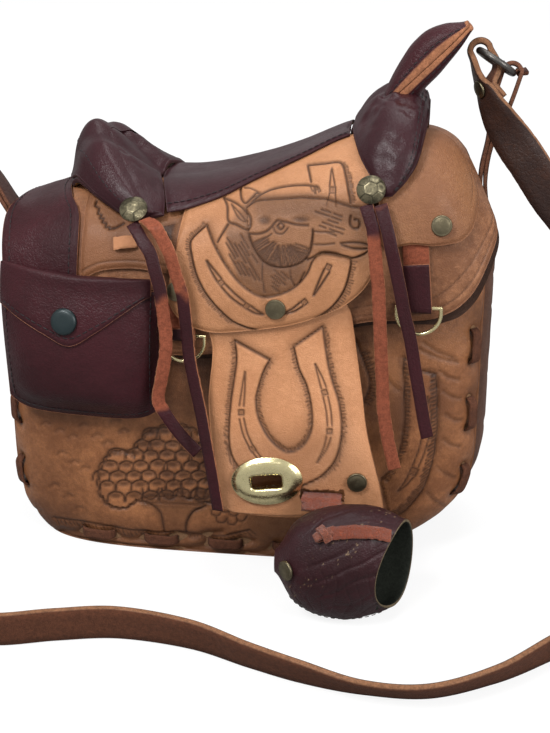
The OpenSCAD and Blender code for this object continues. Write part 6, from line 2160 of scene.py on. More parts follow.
    @staticmethod
    def rise(w: Array) -> Array:
        """Distance of the seat's underside from the drape, for w from 0 on the ridge to 1."""
        return lerp(HIDE.layer_1, HIDE.seat_base, smooth((w - 0.2) / 0.3))

    def seat(self) -> None:
        """Padded seat with a stitched edge over a layered tan edge."""
        front = self.seat_front
        back = tuple((x, -1.3 * t) for x, t in front)
        pad, fade, edge_t = 3.0, 0.45, 0.8 * HIDE.hide_t

        def at(u: Array, v: Array, share: Array, more: Array) -> Array:
            """Point of the seat at a share of its thickness, lifted by more."""
            p = lerp(spline(front, u), spline(back, u), v[..., None])
            bow = np.sin(np.pi * v) * (0.068 * smooth(1 - 3 * u) + 0.012 * smooth(4 * u - 3))
            w = np.abs(2 * v - 1)
            crown = HIDE.hide_t + pad * lerp(1.0, np.sin(np.pi * u), fade)
            top = lerp(HIDE.layer_1 + crown, HIDE.seat_base + edge_t, smooth(w))
            low = self.rise(w)
            return DRAPE.point(p[..., 0] - bow, p[..., 1], lerp(low, top, share) + more)

        def surface(u: Array, v: Array, off: Array) -> Array:
            """Point of the seat, u along the bag and v from front to back."""
            share = off / HIDE.hide_t
            return at(
                u, v, np.minimum(share, 1.0), np.maximum(off - HIDE.hide_t, 0) + np.minimum(off, 0)
            )

        def worn(p: Array) -> tuple[Array, Array]:
            """Soft hollows, and folds where the flap bends."""
            folds = -0.18 * bell(
                np.sin(p[..., 0] / 7.0 + 2.2 * noise(p, 16.0, 83)), 0.2
            ) * smooth((-p[..., 1] - 10) / 25)
            return (
                0.35 * noise(p, 26.0, 81) + 0.1 * noise(p, 7.0, 82) + folds, np.zeros(p.shape[:-1])
            )

        mesh = hide_sheet(surface, even(230), even(230), HIDE.hide_t, worn)
        obj = self.shop.piece("seat_padded", mesh, Finish.SEAT, "flap", ["seat"])
        u = even(300)
        for side, v in (("front", 0.035), ("back", 0.965)):
            q = surface(u, np.full_like(u, v), np.full_like(u, HIDE.hide_t + 0.15))
            n = DRAPE.normal(*lerp(spline(front, u), spline(back, u), v).T)
            self.shop.piece(
                f"seat_stitches_{side}", stitches(q, n, SEAT_SEWING), Finish.THREAD, "flap"
            )

    def cantle_at(self, u: Array, v: Array, off: Array, face: Array | float = 1.0) -> Array:
        """Point of the cantle, u along its arch and v across it, face 1 on its skin and 0 below."""
        p = lerp(spline(self.cantle_rear, u), spline(self.cantle_seat, u), v[..., None])
        pad = self.cantle_rise * spline(self.cantle_arch, u) * spline(self.cantle_crown, v) * face
        q = DRAPE.point(
            p[..., 0], p[..., 1],
            self.rise(np.abs(2 * u - 1) * 1.4) + HIDE.soft_t * face + pad + off,
        )
        return q - np.stack([self.cantle_lean * pad / self.cantle_rise, 0 * pad, 0 * pad], axis=-1)

    def cantle(self) -> None:
        """Cantle and its binding."""

        def pad(u: Array, v: Array, off: Array) -> Array:
            """Point of the padded roll."""
            share = np.minimum(off / HIDE.soft_t, 1.0)
            return self.cantle_at(
                u, v, np.maximum(off - HIDE.soft_t, 0) + np.minimum(off, 0), np.maximum(share, 0)
            )

        def wrinkles(p: Array) -> tuple[Array, Array]:
            """Uneven skin of the roll."""
            return 0.3 * noise(p, 12.0, 91) + 0.15 * noise(p, 4.0, 92), np.zeros(p.shape[:-1])

        mesh = hide_sheet(pad, even(200), even(90), HIDE.soft_t, wrinkles, coarse=3)
        obj = self.shop.piece("cantle_padded", mesh, Finish.SEAT, "flap", ["cantle"])

        def over(u: Array, v: Array, off: Array) -> Array:
            """Point of the binding over the rear of the roll."""
            return self.cantle_at(
                u, 0.6 * v, (HIDE.gap + off) * lerp(1.0, 0.2, smooth((v - 0.7) / 0.3))
            )

        mesh = hide_sheet(over, even(200), even(60), HIDE.soft_t, wrinkles, coarse=3)
        self.shop.piece("cantle_binding_leather", mesh, Finish.SEAT, "flap", ["cantle_binding"])
        u = np.linspace(0.02, 0.98, 260)
        row = seam(over, u, np.full_like(u, 0.3), HIDE.soft_t + 0.05, SEAT_SEWING)
        self.shop.piece("cantle_stitches", row, Finish.THREAD, "flap")

    def pommel(self) -> None:
        """Swells that carry the horn."""

        def at(u: Array, v: Array, off: Array) -> Array:
            """Point of the swells, u over their arch and v along the bag."""
            p = lerp(spline(self.pommel_seat, u), spline(self.pommel_horn, u), v[..., None])
            foot = self.rise(np.abs(2 * u - 1) * 2)
            rise = self.pommel_rise * spline(self.pommel_arch, u) * spline(self.pommel_crown, v)
            pad = (HIDE.soft_t + rise) * np.clip(off / HIDE.soft_t, 0, 1)
            more = np.maximum(off - HIDE.soft_t, 0) + np.minimum(off, 0)
            return DRAPE.point(p[..., 0], p[..., 1], foot + pad + more)

        relief = together(lumps(0.3, 11.0, 95), lumps(0.12, 4.0, 96))
        mesh = hide_sheet(at, even(190), even(100), HIDE.soft_t, relief, coarse=3)
        obj = self.shop.piece("pommel_padded", mesh, Finish.SEAT, "flap", ["pommel"])
        u = np.linspace(0.03, 0.97, 240)
        for k, v in enumerate((0.9, 0.95)):
            row = seam(at, u, np.full_like(u, v), HIDE.soft_t + 0.1, SEAT_SEWING)
            self.shop.piece(f"pommel_stitches_{k + 1}", row, Finish.THREAD, "flap")

    def horn(self) -> None:
        """Horn of two pieces of leather sewn together along their raw edges."""
        slope = np.radians(self.horn_slope)
        length, width = self.horn_length, self.horn_width
        way = np.array([np.cos(slope), 0.0, np.sin(slope)])
        up = np.array([-np.sin(slope), 0.0, np.cos(slope)])
        ridge = float(DRAPE.heights(DRAPE.ridge, np.array(self.horn_x / DRAPE.half_w)))
        foot = np.array([self.horn_x, 0.0, ridge + HIDE.layer_1 + self.horn_lift])
        for name, node, s, shares in (
            ("horn_top_half", "horn", 1.0, (0.16, 0.3, 0.42, 0.51, 0.5, 0.34, 0.05)),
            ("horn_low_half", "horn_facing", -1.0, (0.45, 0.4, 0.34, 0.32, 0.26, 0.18, 0.08)),
        ):
            f = even(90)[:, None]
            a = np.radians(np.linspace(0, 180, 41))[None]
            half = width / 2 * spline(self.horn_wide, f[:, 0])[:, None]
            rise = width * spline(shares, f[:, 0])[:, None]
            mid = foot + length * f[..., None] * way + s * HIDE.gap / 2 * up
            side = np.stack([0 * half * a, half * np.cos(a), 0 * half * a], axis=-1)
            lift = s * (rise * np.sin(a).clip(0) ** 0.8 + HIDE.soft_t / 2)
            skin = mid + side + lift[..., None] * up
            skin = skin + (0.25 * noise(skin, 8.0, 97) * np.sin(a))[..., None] * s * up
            flat = np.stack([0 * half, -half, 0 * half], axis=-1)
            rings = np.concatenate([skin, mid + flat, mid - flat], axis=1)
            raw = np.zeros(rings.shape[:2])
            raw[:, :3] = raw[:, 38:] = raw[-2:] = 1.0
            self.shop.piece(name, loft(rings, {"raw": raw}), Finish.WINE, "flap", [node])
            for k, sign in enumerate((-1, 1)):
                across = np.stack([0 * f[:, 0], side[:, 4, 1] * sign, 0 * f[:, 0]], axis=-1)
                line = mid[:, 0] + across + lift[:, 4, None] * up + s * 0.25 * up
                row = stitches(line[3:-6], np.tile(s * up, (len(line) - 9, 1)), HORN_SEWING)
                self.shop.piece(f"{name}_stitches_{k + 1}", row, Finish.THREAD, "flap")


def grooves(lines: Sequence[Array], depth: float, half: float, dark: float) -> Relief:
    """Grooves along lines of points on a skin."""

    def relief(p: Array) -> tuple[Array, Array]:
        """Height and ink of the grooves."""
        flat = p.reshape(-1, 3)
        near = np.full(len(flat), 99.0)
        for line in lines:
            low, high = line.min(0) - 4 * half, line.max(0) + 4 * half
            pick = np.flatnonzero(((flat > low) & (flat < high)).all(axis=1))
            for part in np.array_split(pick, max(len(pick) // 4000, 1)):
                gap = np.linalg.norm(flat[part][:, None] - line[None], axis=-1).min(axis=1)
                near[part] = np.minimum(near[part], gap)
        amount = bell(near, half).reshape(p.shape[:-1])
        return -depth * amount, dark * amount

    return relief


def holed_sheet(
    surface: Surface, rows: Array, columns: Array, thick: float, relief: Relief,
    holes: Callable[[Array], Array],
) -> MeshData:
    """Sheet of leather with holes through it.

    Both sides share one grid, and walls join them round the outline and round each hole.

    Args:
        surface: Point for u, v and the distance off the sheet's flesh side.
        rows: Values of u.
        columns: Values of v.
        thick: Thickness of the leather.
        relief: Height and ink of the carving at points of the skin.
        holes: Whether points of the skin lie in a hole.

    Returns:
        The mesh with its marks ink, raw, flesh and rim.
    """
    u, v = np.meshgrid(rows, columns, indexing="ij")
    face = surface(u, v, np.full_like(u, thick))
    height, ink = relief(face)
    near = edge_distance(face)
    height = height - 0.35 * thick * bell(near, 0.6 * thick)
    skin = surface(u, v, thick + height)
    mids = [surface(u, v, np.full_like(u, share * thick)) for share in (0.72, 0.25)]
    low = surface(u, v, np.zeros_like(u))
    m, n = u.shape
    size = m * n
    cut = holes(face)
    open_cell = (cut[:-1, :-1] | cut[1:, :-1] | cut[1:, 1:] | cut[:-1, 1:]).ravel()
    quads = grid_faces(m, n)[~open_cell]
    edges = np.concatenate([quads[:, [k, (k + 1) % 4]] for k in range(4)])
    known = set(map(tuple, edges.tolist()))
    border = np.array([e for e in edges.tolist() if (e[1], e[0]) not in known])
    walls = []
    for k in range(3):
        a, b = border[:, 0] + k * size, border[:, 1] + k * size
        walls.append(np.stack([b, a, a + size, b + size], axis=-1))
    points = np.vstack([g.reshape(-1, 3) for g in (skin, *mids, low)])
    faces = [quads, *walls, (quads + 3 * size)[:, ::-1]]
    used = np.zeros(len(points), bool)
    for f in faces:
        used[f.ravel()] = True
    index = np.cumsum(used) - 1
    zero, one = np.zeros(size), np.ones(size)
    marks = {
        "ink": np.concatenate([ink.ravel(), zero, zero, zero]),
        "raw": np.concatenate([zero, one, one, zero]),
        "flesh": np.concatenate([zero, zero, zero, one]),
        "rim": np.concatenate([bell(near.ravel(), 2.2), one, one, zero]),
    }
    return MeshData(
        points[used], [index[f] for f in faces], {k: q[used] for k, q in marks.items()}
    ).outward()


class Saddlebag:
    """Small pouch behind the saddle: yoke, back, pouch and snapped flap."""

    yoke_left = (
        (-0.88, -0.75), (-0.93, -0.4), (-0.965, 0), (-0.965, 0.2), (-0.95, 0.4), (-0.93, 0.5)
    )
    yoke_right = (
        (-0.66, -0.75), (-0.7, -0.4), (-0.715, 0), (-0.68, 0.25), (-0.625, 0.42), (-0.62, 0.5)
    )
    mouth_h = 142.5
    height = 64.0
    half_w = 39.0
    full = 13.0
    middle = -0.612
    lid_ends = (0.99, 0.91)
    lid_fall = 23.5
    lid_edge = (0.51, 0.65, 0.83, 1, 0.72, 0.38, 0.08)
    snap = (0.475, 0.55)
    snap_size = (6.3, 2.2)

    def __init__(self, shop: Workshop) -> None:
        """Remember the workshop."""
        self.shop = shop
        self.back_off = HIDE.layer_1 + HIDE.soft_t + HIDE.gap

    def build(self) -> None:
        """Make all its pieces."""
        self.yoke()
        self.pouch()
        self.lid()

    def yoke(self) -> None:
        """Yoke over the rear of the saddle, with a stitched border."""
        end = self.mouth_h + 2 * HIDE.gap
        left, right = [
            (*edge[:-1], (edge[-1][0], float(DRAPE.t_at(np.array(edge[-1][0]), np.array(end)))))
            for edge in (self.yoke_left, self.yoke_right)
        ]
        surface = sheet_between(left, right, HIDE.layer_1)
        relief = together(lumps(0.25, 12.0, 101), lumps(0.1, 4.0, 102))
        mesh = hide_sheet(surface, even(230), even(70), HIDE.soft_t, relief)
        self.shop.piece("yoke_leather", mesh, Finish.WINE, "flap", ["saddlebag_yoke"])
        u = np.linspace(0.01, 0.97, 300)
        for k, v in enumerate((0.1, 0.9)):
            row = seam(surface, u, np.full_like(u, v), HIDE.soft_t + 0.1, POUCH_SEWING)
            self.shop.piece(f"yoke_stitches_{k + 1}", row, Finish.THREAD, "flap")

    def half(self, v: Array) -> Array:
        """Half width of the pouch at v down it, as a share of the bag's half width."""
        return self.half_w / DRAPE.half_w * (1 - 0.05 * v)

    def swell(self, u: Array, v: Array) -> Array:
        """Distance of the pouch's front from its back."""
        full = np.maximum(spline((0.5, 0.78, 0.96, 1, 0.82, 0.1), np.clip(v, 0, 1)), 0)
        return self.full * (1 - np.minimum(np.abs(u), 1) ** 4) * full

    def place(self, u: Array, v: Array) -> tuple[Array, Array]:
        """Place on the drape at u across from -1 to 1 and v down."""
        xs = self.middle + u * self.half(v)
        deep = self.height * (1 - 0.09 * np.abs(u) ** 6)
        return xs, DRAPE.t_at(xs, self.mouth_h - v * deep)

    def pouch(self) -> None:
        """Back and full front of the pouch, sewn round its sides and bottom."""

        def back(u: Array, v: Array, off: Array) -> Array:
            """Point of the back, u across it and v down it."""
            return DRAPE.point(*self.place(2 * u - 1, v), HIDE.layer_1 + off)

        def front(u: Array, v: Array, off: Array) -> Array:
            """Point of the full front, u across it and v down it."""
            w = 2 * u - 1
            return DRAPE.point(*self.place(w, v), self.back_off + self.swell(w, v) + off)

        mesh = hide_sheet(back, even(90), even(70), HIDE.soft_t, lumps(0.1, 6.0, 111))
        self.shop.piece("pouch_back_leather", mesh, Finish.WINE, "flap", ["saddlebag_back"])
        relief = together(lumps(0.5, 16.0, 112), lumps(0.2, 6.0, 113))
        mesh = hide_sheet(front, even(170), even(140), HIDE.soft_t, relief)
        self.shop.piece("pouch_front_leather", mesh, Finish.WINE, "flap", ["saddlebag_pouch"])
        f = even(400)
        corners = [0, 0.33, 0.67, 1]
        u = np.interp(f, corners, [0.045, 0.045, 0.955, 0.955])
        v = np.interp(f, corners, [0.02, 0.95, 0.95, 0.02])
        row = seam(front, u, v, HIDE.soft_t + 0.15, POUCH_SEWING)
        self.shop.piece("pouch_stitches", row, Finish.THREAD, "flap")

    def lid_off(self, xs: Array, z: Array) -> Array:
        """Distance from the drape of the flap's inner face."""
        u = (xs - self.middle) / self.half(0.0)
        return (
            self.back_off + HIDE.soft_t + HIDE.gap + self.swell(u, (self.mouth_h - z) / self.height)
        )

    def lid_x(self, u: Array) -> Array:
        """Place along X at u across the flap."""
        reach = self.half(0.0)
        return lerp(
            self.middle - self.lid_ends[0] * reach, self.middle + self.lid_ends[1] * reach, u
        )

    def lid_at(self, u: Array, v: Array, off: Array) -> Array:
        """Point of the flap: u across, v from its rear edge over the mouth and down."""
        xs, fold = self.lid_x(u), 0.3
        top = self.mouth_h + 2 * (HIDE.soft_t + HIDE.gap) + off
        low = self.mouth_h - self.lid_fall * spline(self.lid_edge, u)
        down = np.clip((v - fold) / (1 - fold), 0, 1)
        z = lerp(top, low, down)
        start = HIDE.layer_1 + HIDE.hide_t + 2 * HIDE.gap
        out = self.lid_off(xs, z) + off
        back = np.clip(v / fold, 0, 1)
        return DRAPE.point(
            xs, DRAPE.t_at(xs, z),
            np.where(v < fold, lerp(start, np.maximum(out, start), back), out),
        )

    def lid(self) -> None:
        """Flap of the pouch with its snap."""

        def surface(u: Array, v: Array, off: Array) -> Array:
            """Point of the flap, with its fold rounded by a mean of five places."""
            return np.mean([
                self.lid_at(u, np.clip(v + d, 0, 1), off) for d in (-0.05, -0.025, 0, 0.025, 0.05)
            ], axis=0)

        relief = together(lumps(0.25, 12.0, 121), lumps(0.1, 4.0, 122))
        mesh = hide_sheet(surface, even(190), even(110), HIDE.soft_t, relief, coarse=3)
        self.shop.piece("pouch_lid_leather", mesh, Finish.WINE, "pouch_flap", ["saddlebag_flap"])
        u = even(400) * 0.94 + 0.03
        row = seam(surface, u, np.full_like(u, 0.9), HIDE.soft_t + 0.15, POUCH_SEWING)
        self.shop.piece("lid_stitches", row, Finish.THREAD, "pouch_flap")
        r, h = self.snap_size
        xs = self.lid_x(self.snap[0]) + np.array([0.02, -0.02, 0, 0, 0])
        z = self.mouth_h - self.lid_fall * self.snap[1] + np.array([0, 0, r, -r, 0])
        p = DRAPE.point(xs, DRAPE.t_at(xs, z), self.lid_off(xs, z))
        n = unit(np.cross(p[0] - p[1], p[2] - p[3]))
        cap = turned(
            Seat.of(p[4] + (HIDE.soft_t + HIDE.gap) * n, n),
            [
                (0, h), (0.4 * r, 0.99 * h), (0.7 * r, 0.93 * h), (0.88 * r, 0.78 * h),
                (0.97 * r, 0.5 * h), (r, 0.2 * h), (0.97 * r, 0), (3.6, 0), (3.6, 0.8), (0, 0.8),
            ],
        )
        self.shop.piece("snap_cap_enamel", cap, Finish.ENAMEL, "pouch_flap", ["snap_cap"])
        self.shop.dress(Finish.RIVET, "snap_stud")


class Stirrup:
    """Covered stirrup: a hood of soft leather that hangs by a suede strap."""

    nose = np.array([23.5, -91.0, 27.5])
    length = 58.0
    mouth = np.array([81.5, -89.0, 29.5])
    half_d = 20.0
    half_h = 28.5
    skew = 9.0
    sizes = (0.2, 0.66, 0.87, 0.97, 1, 0.98, 0.9, 0.76)
    string_w = 6.0
    string_t = 1.4

    def __init__(self, shop: Workshop, flap: SaddleFlap) -> None:
        """Remember the workshop and the fender it hangs on."""
        self.shop = shop
        self.flap = flap

    def at(self, f: Array | float, b: Array | float, off: Array | float = 0.0) -> Array:
        """Point of the hood at f along it and b degrees round it from the front."""
        f, b, off = np.broadcast_arrays(*(np.asarray(q, float) for q in (f, b, off)))
        c = lerp(self.nose, self.mouth, f[..., None])
        r = spline(self.sizes, f)
        cos, sin = np.cos(np.radians(b)), np.sin(np.radians(b))
        return np.stack([
            c[..., 0] - self.skew / 2 * f**2 * cos, c[..., 1] - (self.half_d * r + off) * cos,
            c[..., 2] + (self.half_h * r + off) * sin,
        ], axis=-1)

    def build(self) -> None:
        """Make all its pieces."""
        self.hood()
        self.hanger()
        self.trim()

    def wrinkle(self, f: Array, b: Array) -> Array:
        """Height of the hood's folds: a fan from the knot, and a gathered place below."""
        p = np.stack([60 * f, 26 * np.radians(b), 0 * f], axis=-1)
        phase = (b - 60 * f) / 7.0 + 1.3 * noise(p, 14.0, 131)
        fan = (
            -0.55 * bell(np.sin(phase), 0.35) * smooth((f - 0.15) / 0.3) * bell((b - 20) / 60, 1.0)
        )
        across = -0.4 * bell(
            np.sin(f * 30 + 1.6 * noise(p, 10.0, 132)), 0.3
        ) * bell((b + 20) / 35, 1.0)
        gather = -1.2 * bell(np.hypot((f - 0.85) * 40, (b + 50) / 5), 4.0)
        return fan + across + gather + 0.35 * noise(p, 9.0, 133) + 0.15 * noise(p, 3.5, 134)

    def hood(self) -> None:
        """Hood: folded skin outside, a rolled raw rim and a dark suede inside."""
        f = even(150) ** 1.2
        b = np.arange(260) * 360 / 260
        fg, bg = np.meshgrid(f, b, indexing="ij")
        setback = 1 - 0.13 * bell(((b + 190) % 360 - 180) / 55, 1.0)
        fg = fg * lerp(1.0, setback[None], smooth(fg / 0.9))
        outer = self.at(fg, bg, self.wrinkle(fg, (bg + 180) % 360 - 180) * smooth(fg / 0.1))
        rim = [
            self.at(setback, b, -HIDE.soft_t * k) + np.array([s, 0, 0])
            for k, s in ((0.2, 0.35), (0.5, 0.5), (0.8, 0.35))
        ]
        inner = self.at(fg[::-2], bg[::-2], -HIDE.soft_t)[: len(f[::-2]) - 2]
        rings = np.concatenate([outer, np.array(rim), inner])
        speck = noise(outer, 1.2, 135) * 0.5 + noise(outer, 0.6, 136) * 0.5
        px = LENS.paper(outer)
        band = bell((px[..., 1] - 560 + 0.8 * (px[..., 0] - 330)) / 1.28, 14.0)
        ink = 0.6 * smooth((speck - 0.62 + 0.2 * band) / 0.1) * band
        marks = {
            "ink": np.concatenate([ink, np.zeros((3 + len(inner), len(b)))]),
            "raw": np.concatenate([0 * ink, np.ones((3, len(b))), np.zeros((len(inner), len(b)))]),
            "flesh": np.concatenate(
                [0 * ink, np.zeros((3, len(b))), np.ones((len(inner), len(b)))]
            ),
            "rim": np.concatenate([0 * ink, np.zeros((3 + len(inner), len(b)))]),
        }
        self.shop.piece("hood_folded", loft(rings, marks), Finish.HOOD, "stirrup", ["tapadero"])
        g = np.linspace(0.12, 0.96, 160)
        line = self.at(g, -62.0, 0.05)
        row = stitches(line, line - self.at(g, -62.0, -1.0), HOOD_SEWING)
        self.shop.piece("hood_stitches", row, Finish.BROWN_THREAD, "stirrup")

    def hanger(self) -> None:
        """Suede strap from the fender's slit to the hood."""
        x = self.flap.hanger_x
        xs = x / DRAPE.half_w
        t = float(DRAPE.t_at(np.array(xs), np.array(self.flap.hanger_z)))
        thick = 1.6
        slot = DRAPE.point(xs, t, HIDE.layer_1 + float(self.flap.bow(np.array(t))) + HIDE.hide_t)
        rest = self.at((x - self.nose[0]) / self.length, 140.0, 2 * HIDE.gap + thick / 2)
        start = np.array([x, slot[1] + HIDE.hide_t, self.flap.hanger_z])
        end = np.array([x, rest[1], rest[2] + HIDE.gap])
        mid = lerp(start, end, 0.6) + np.array([0, 0, thick / 2])
        path = finer([start, start - np.array([0, 2 * HIDE.hide_t, 0]), mid, end], 60)
        mesh = strip(path, np.tile([1.0, 0.0, 0.0], (60, 1)), 18.8, thick, 0.7)
        self.shop.piece("hanger_suede", mesh, Finish.SUEDE, "stirrup", ["stirrup_hanger"])

    def trim(self) -> None:
        """Lace with its knot, and the rivet near the nose."""
        f = np.linspace(0.36, 0.96, 60)
        turn = 46 + 10 * f
        path = self.at(f, turn, 2 * HIDE.gap + self.string_t / 2 + 0.25)
        mesh = strip(
            path, self.at(f, turn + 2) - self.at(f, turn - 2), self.string_w, self.string_t, 0.3
        )
        knot = path[6]
        out = unit(self.at(0.4, 50.0, 1.0) - self.at(0.4, 50.0, 0.0))
        side = unit(np.cross(out, [0.0, 0.0, 1.0]))
        for k, turned_by in enumerate((0.5, -0.9)):
            way = np.cos(turned_by) * side + np.sin(turned_by) * np.cross(out, side)
            g = np.linspace(-1, 1, 24)[:, None]
            loop = knot + way * g * (5.0 - k) + out * (1.6 + 0.5 * k) * np.cos(g * 1.5)
            mesh = mesh.joined(
                strip(loop, np.tile(np.cross(way, out), (24, 1)), 4.0, self.string_t, 0.35)
            )
        self.shop.piece("hood_lace_suede", mesh, Finish.SUEDE, "stirrup", ["tapadero_lace"])
        c = self.at(0.12, 8.0, HIDE.gap)
        n = np.cross(
            self.at(0.14, 8.0) - self.at(0.10, 8.0), self.at(0.12, 10.0) - self.at(0.12, 6.0)
        )
        n = -n if n[1] > 0 else n
        self.shop.piece(
            "hood_rivet_cap", rivet(Seat.of(c, n)), Finish.RIVET, "stirrup", ["tapadero_rivet"]
        )


@dataclass(frozen=True)
class SaddleString:
    """Hanging string: its route, the turn of its width, and where its flesh side shows."""

    node: str
    route: tuple[Point, ...]
    twist: float
    flesh: tuple[float, float]


STRINGS = (
    SaddleString(
        "front_string_long",
        (
            (65.5, -52.5, 189.5), (67.5, -55.5, 184), (69.5, -58, 178), (71, -59.5, 172),
            (72.5, -60, 166), (75.5, -60.5, 153), (78, -60.5, 141), (81, -60.5, 129),
            (83.5, -60, 115), (86, -60, 102), (88.5, -60, 89), (90.5, -60, 80),
        ),
        15.0, (0.0, 0.0),
    ),
    SaddleString(
        "front_string_short",
        (
            (59, -52.5, 189), (61, -55, 184), (63, -57, 178), (64.5, -59.5, 165), (66, -60, 152),
            (67, -60.5, 138), (68, -60.5, 123), (69, -60, 108), (70, -60, 93), (72.5, -59.5, 77),
            (76, -59, 62),
        ),
        10.0, (0.2, 1.1),
    ),
    SaddleString(
        "rear_string_long",
        (
            (-41.5, -47.5, 176), (-38.5, -50.5, 176), (-35, -53.5, 174.5), (-31.5, -56, 170),
            (-28, -58.5, 164), (-25, -59.5, 154), (-22.5, -60.5, 146), (-21.5, -61, 137),
            (-20.5, -61.5, 126), (-19.5, -62.5, 115), (-17, -64, 102), (-14, -66.5, 89),
            (-11.5, -69, 76), (-9, -70.5, 62), (-6, -71.5, 41),
        ),
        -20.0, (-0.1, 0.42),
    ),
    SaddleString(
        "rear_string_short",
        (
            (-47, -48, 174), (-44, -51.5, 171.5), (-41, -54.5, 168), (-37.5, -57, 164),
            (-35, -59.5, 157), (-32.5, -61, 147), (-31.5, -61.5, 137), (-30.5, -62, 128),
            (-30.5, -63, 118), (-32.5, -64, 106), (-34.5, -64, 94), (-31, -64, 86), (-25, -63, 76),
            (-17, -62, 66),
        ),
        30.0, (0.42, 0.8),
    ),
)


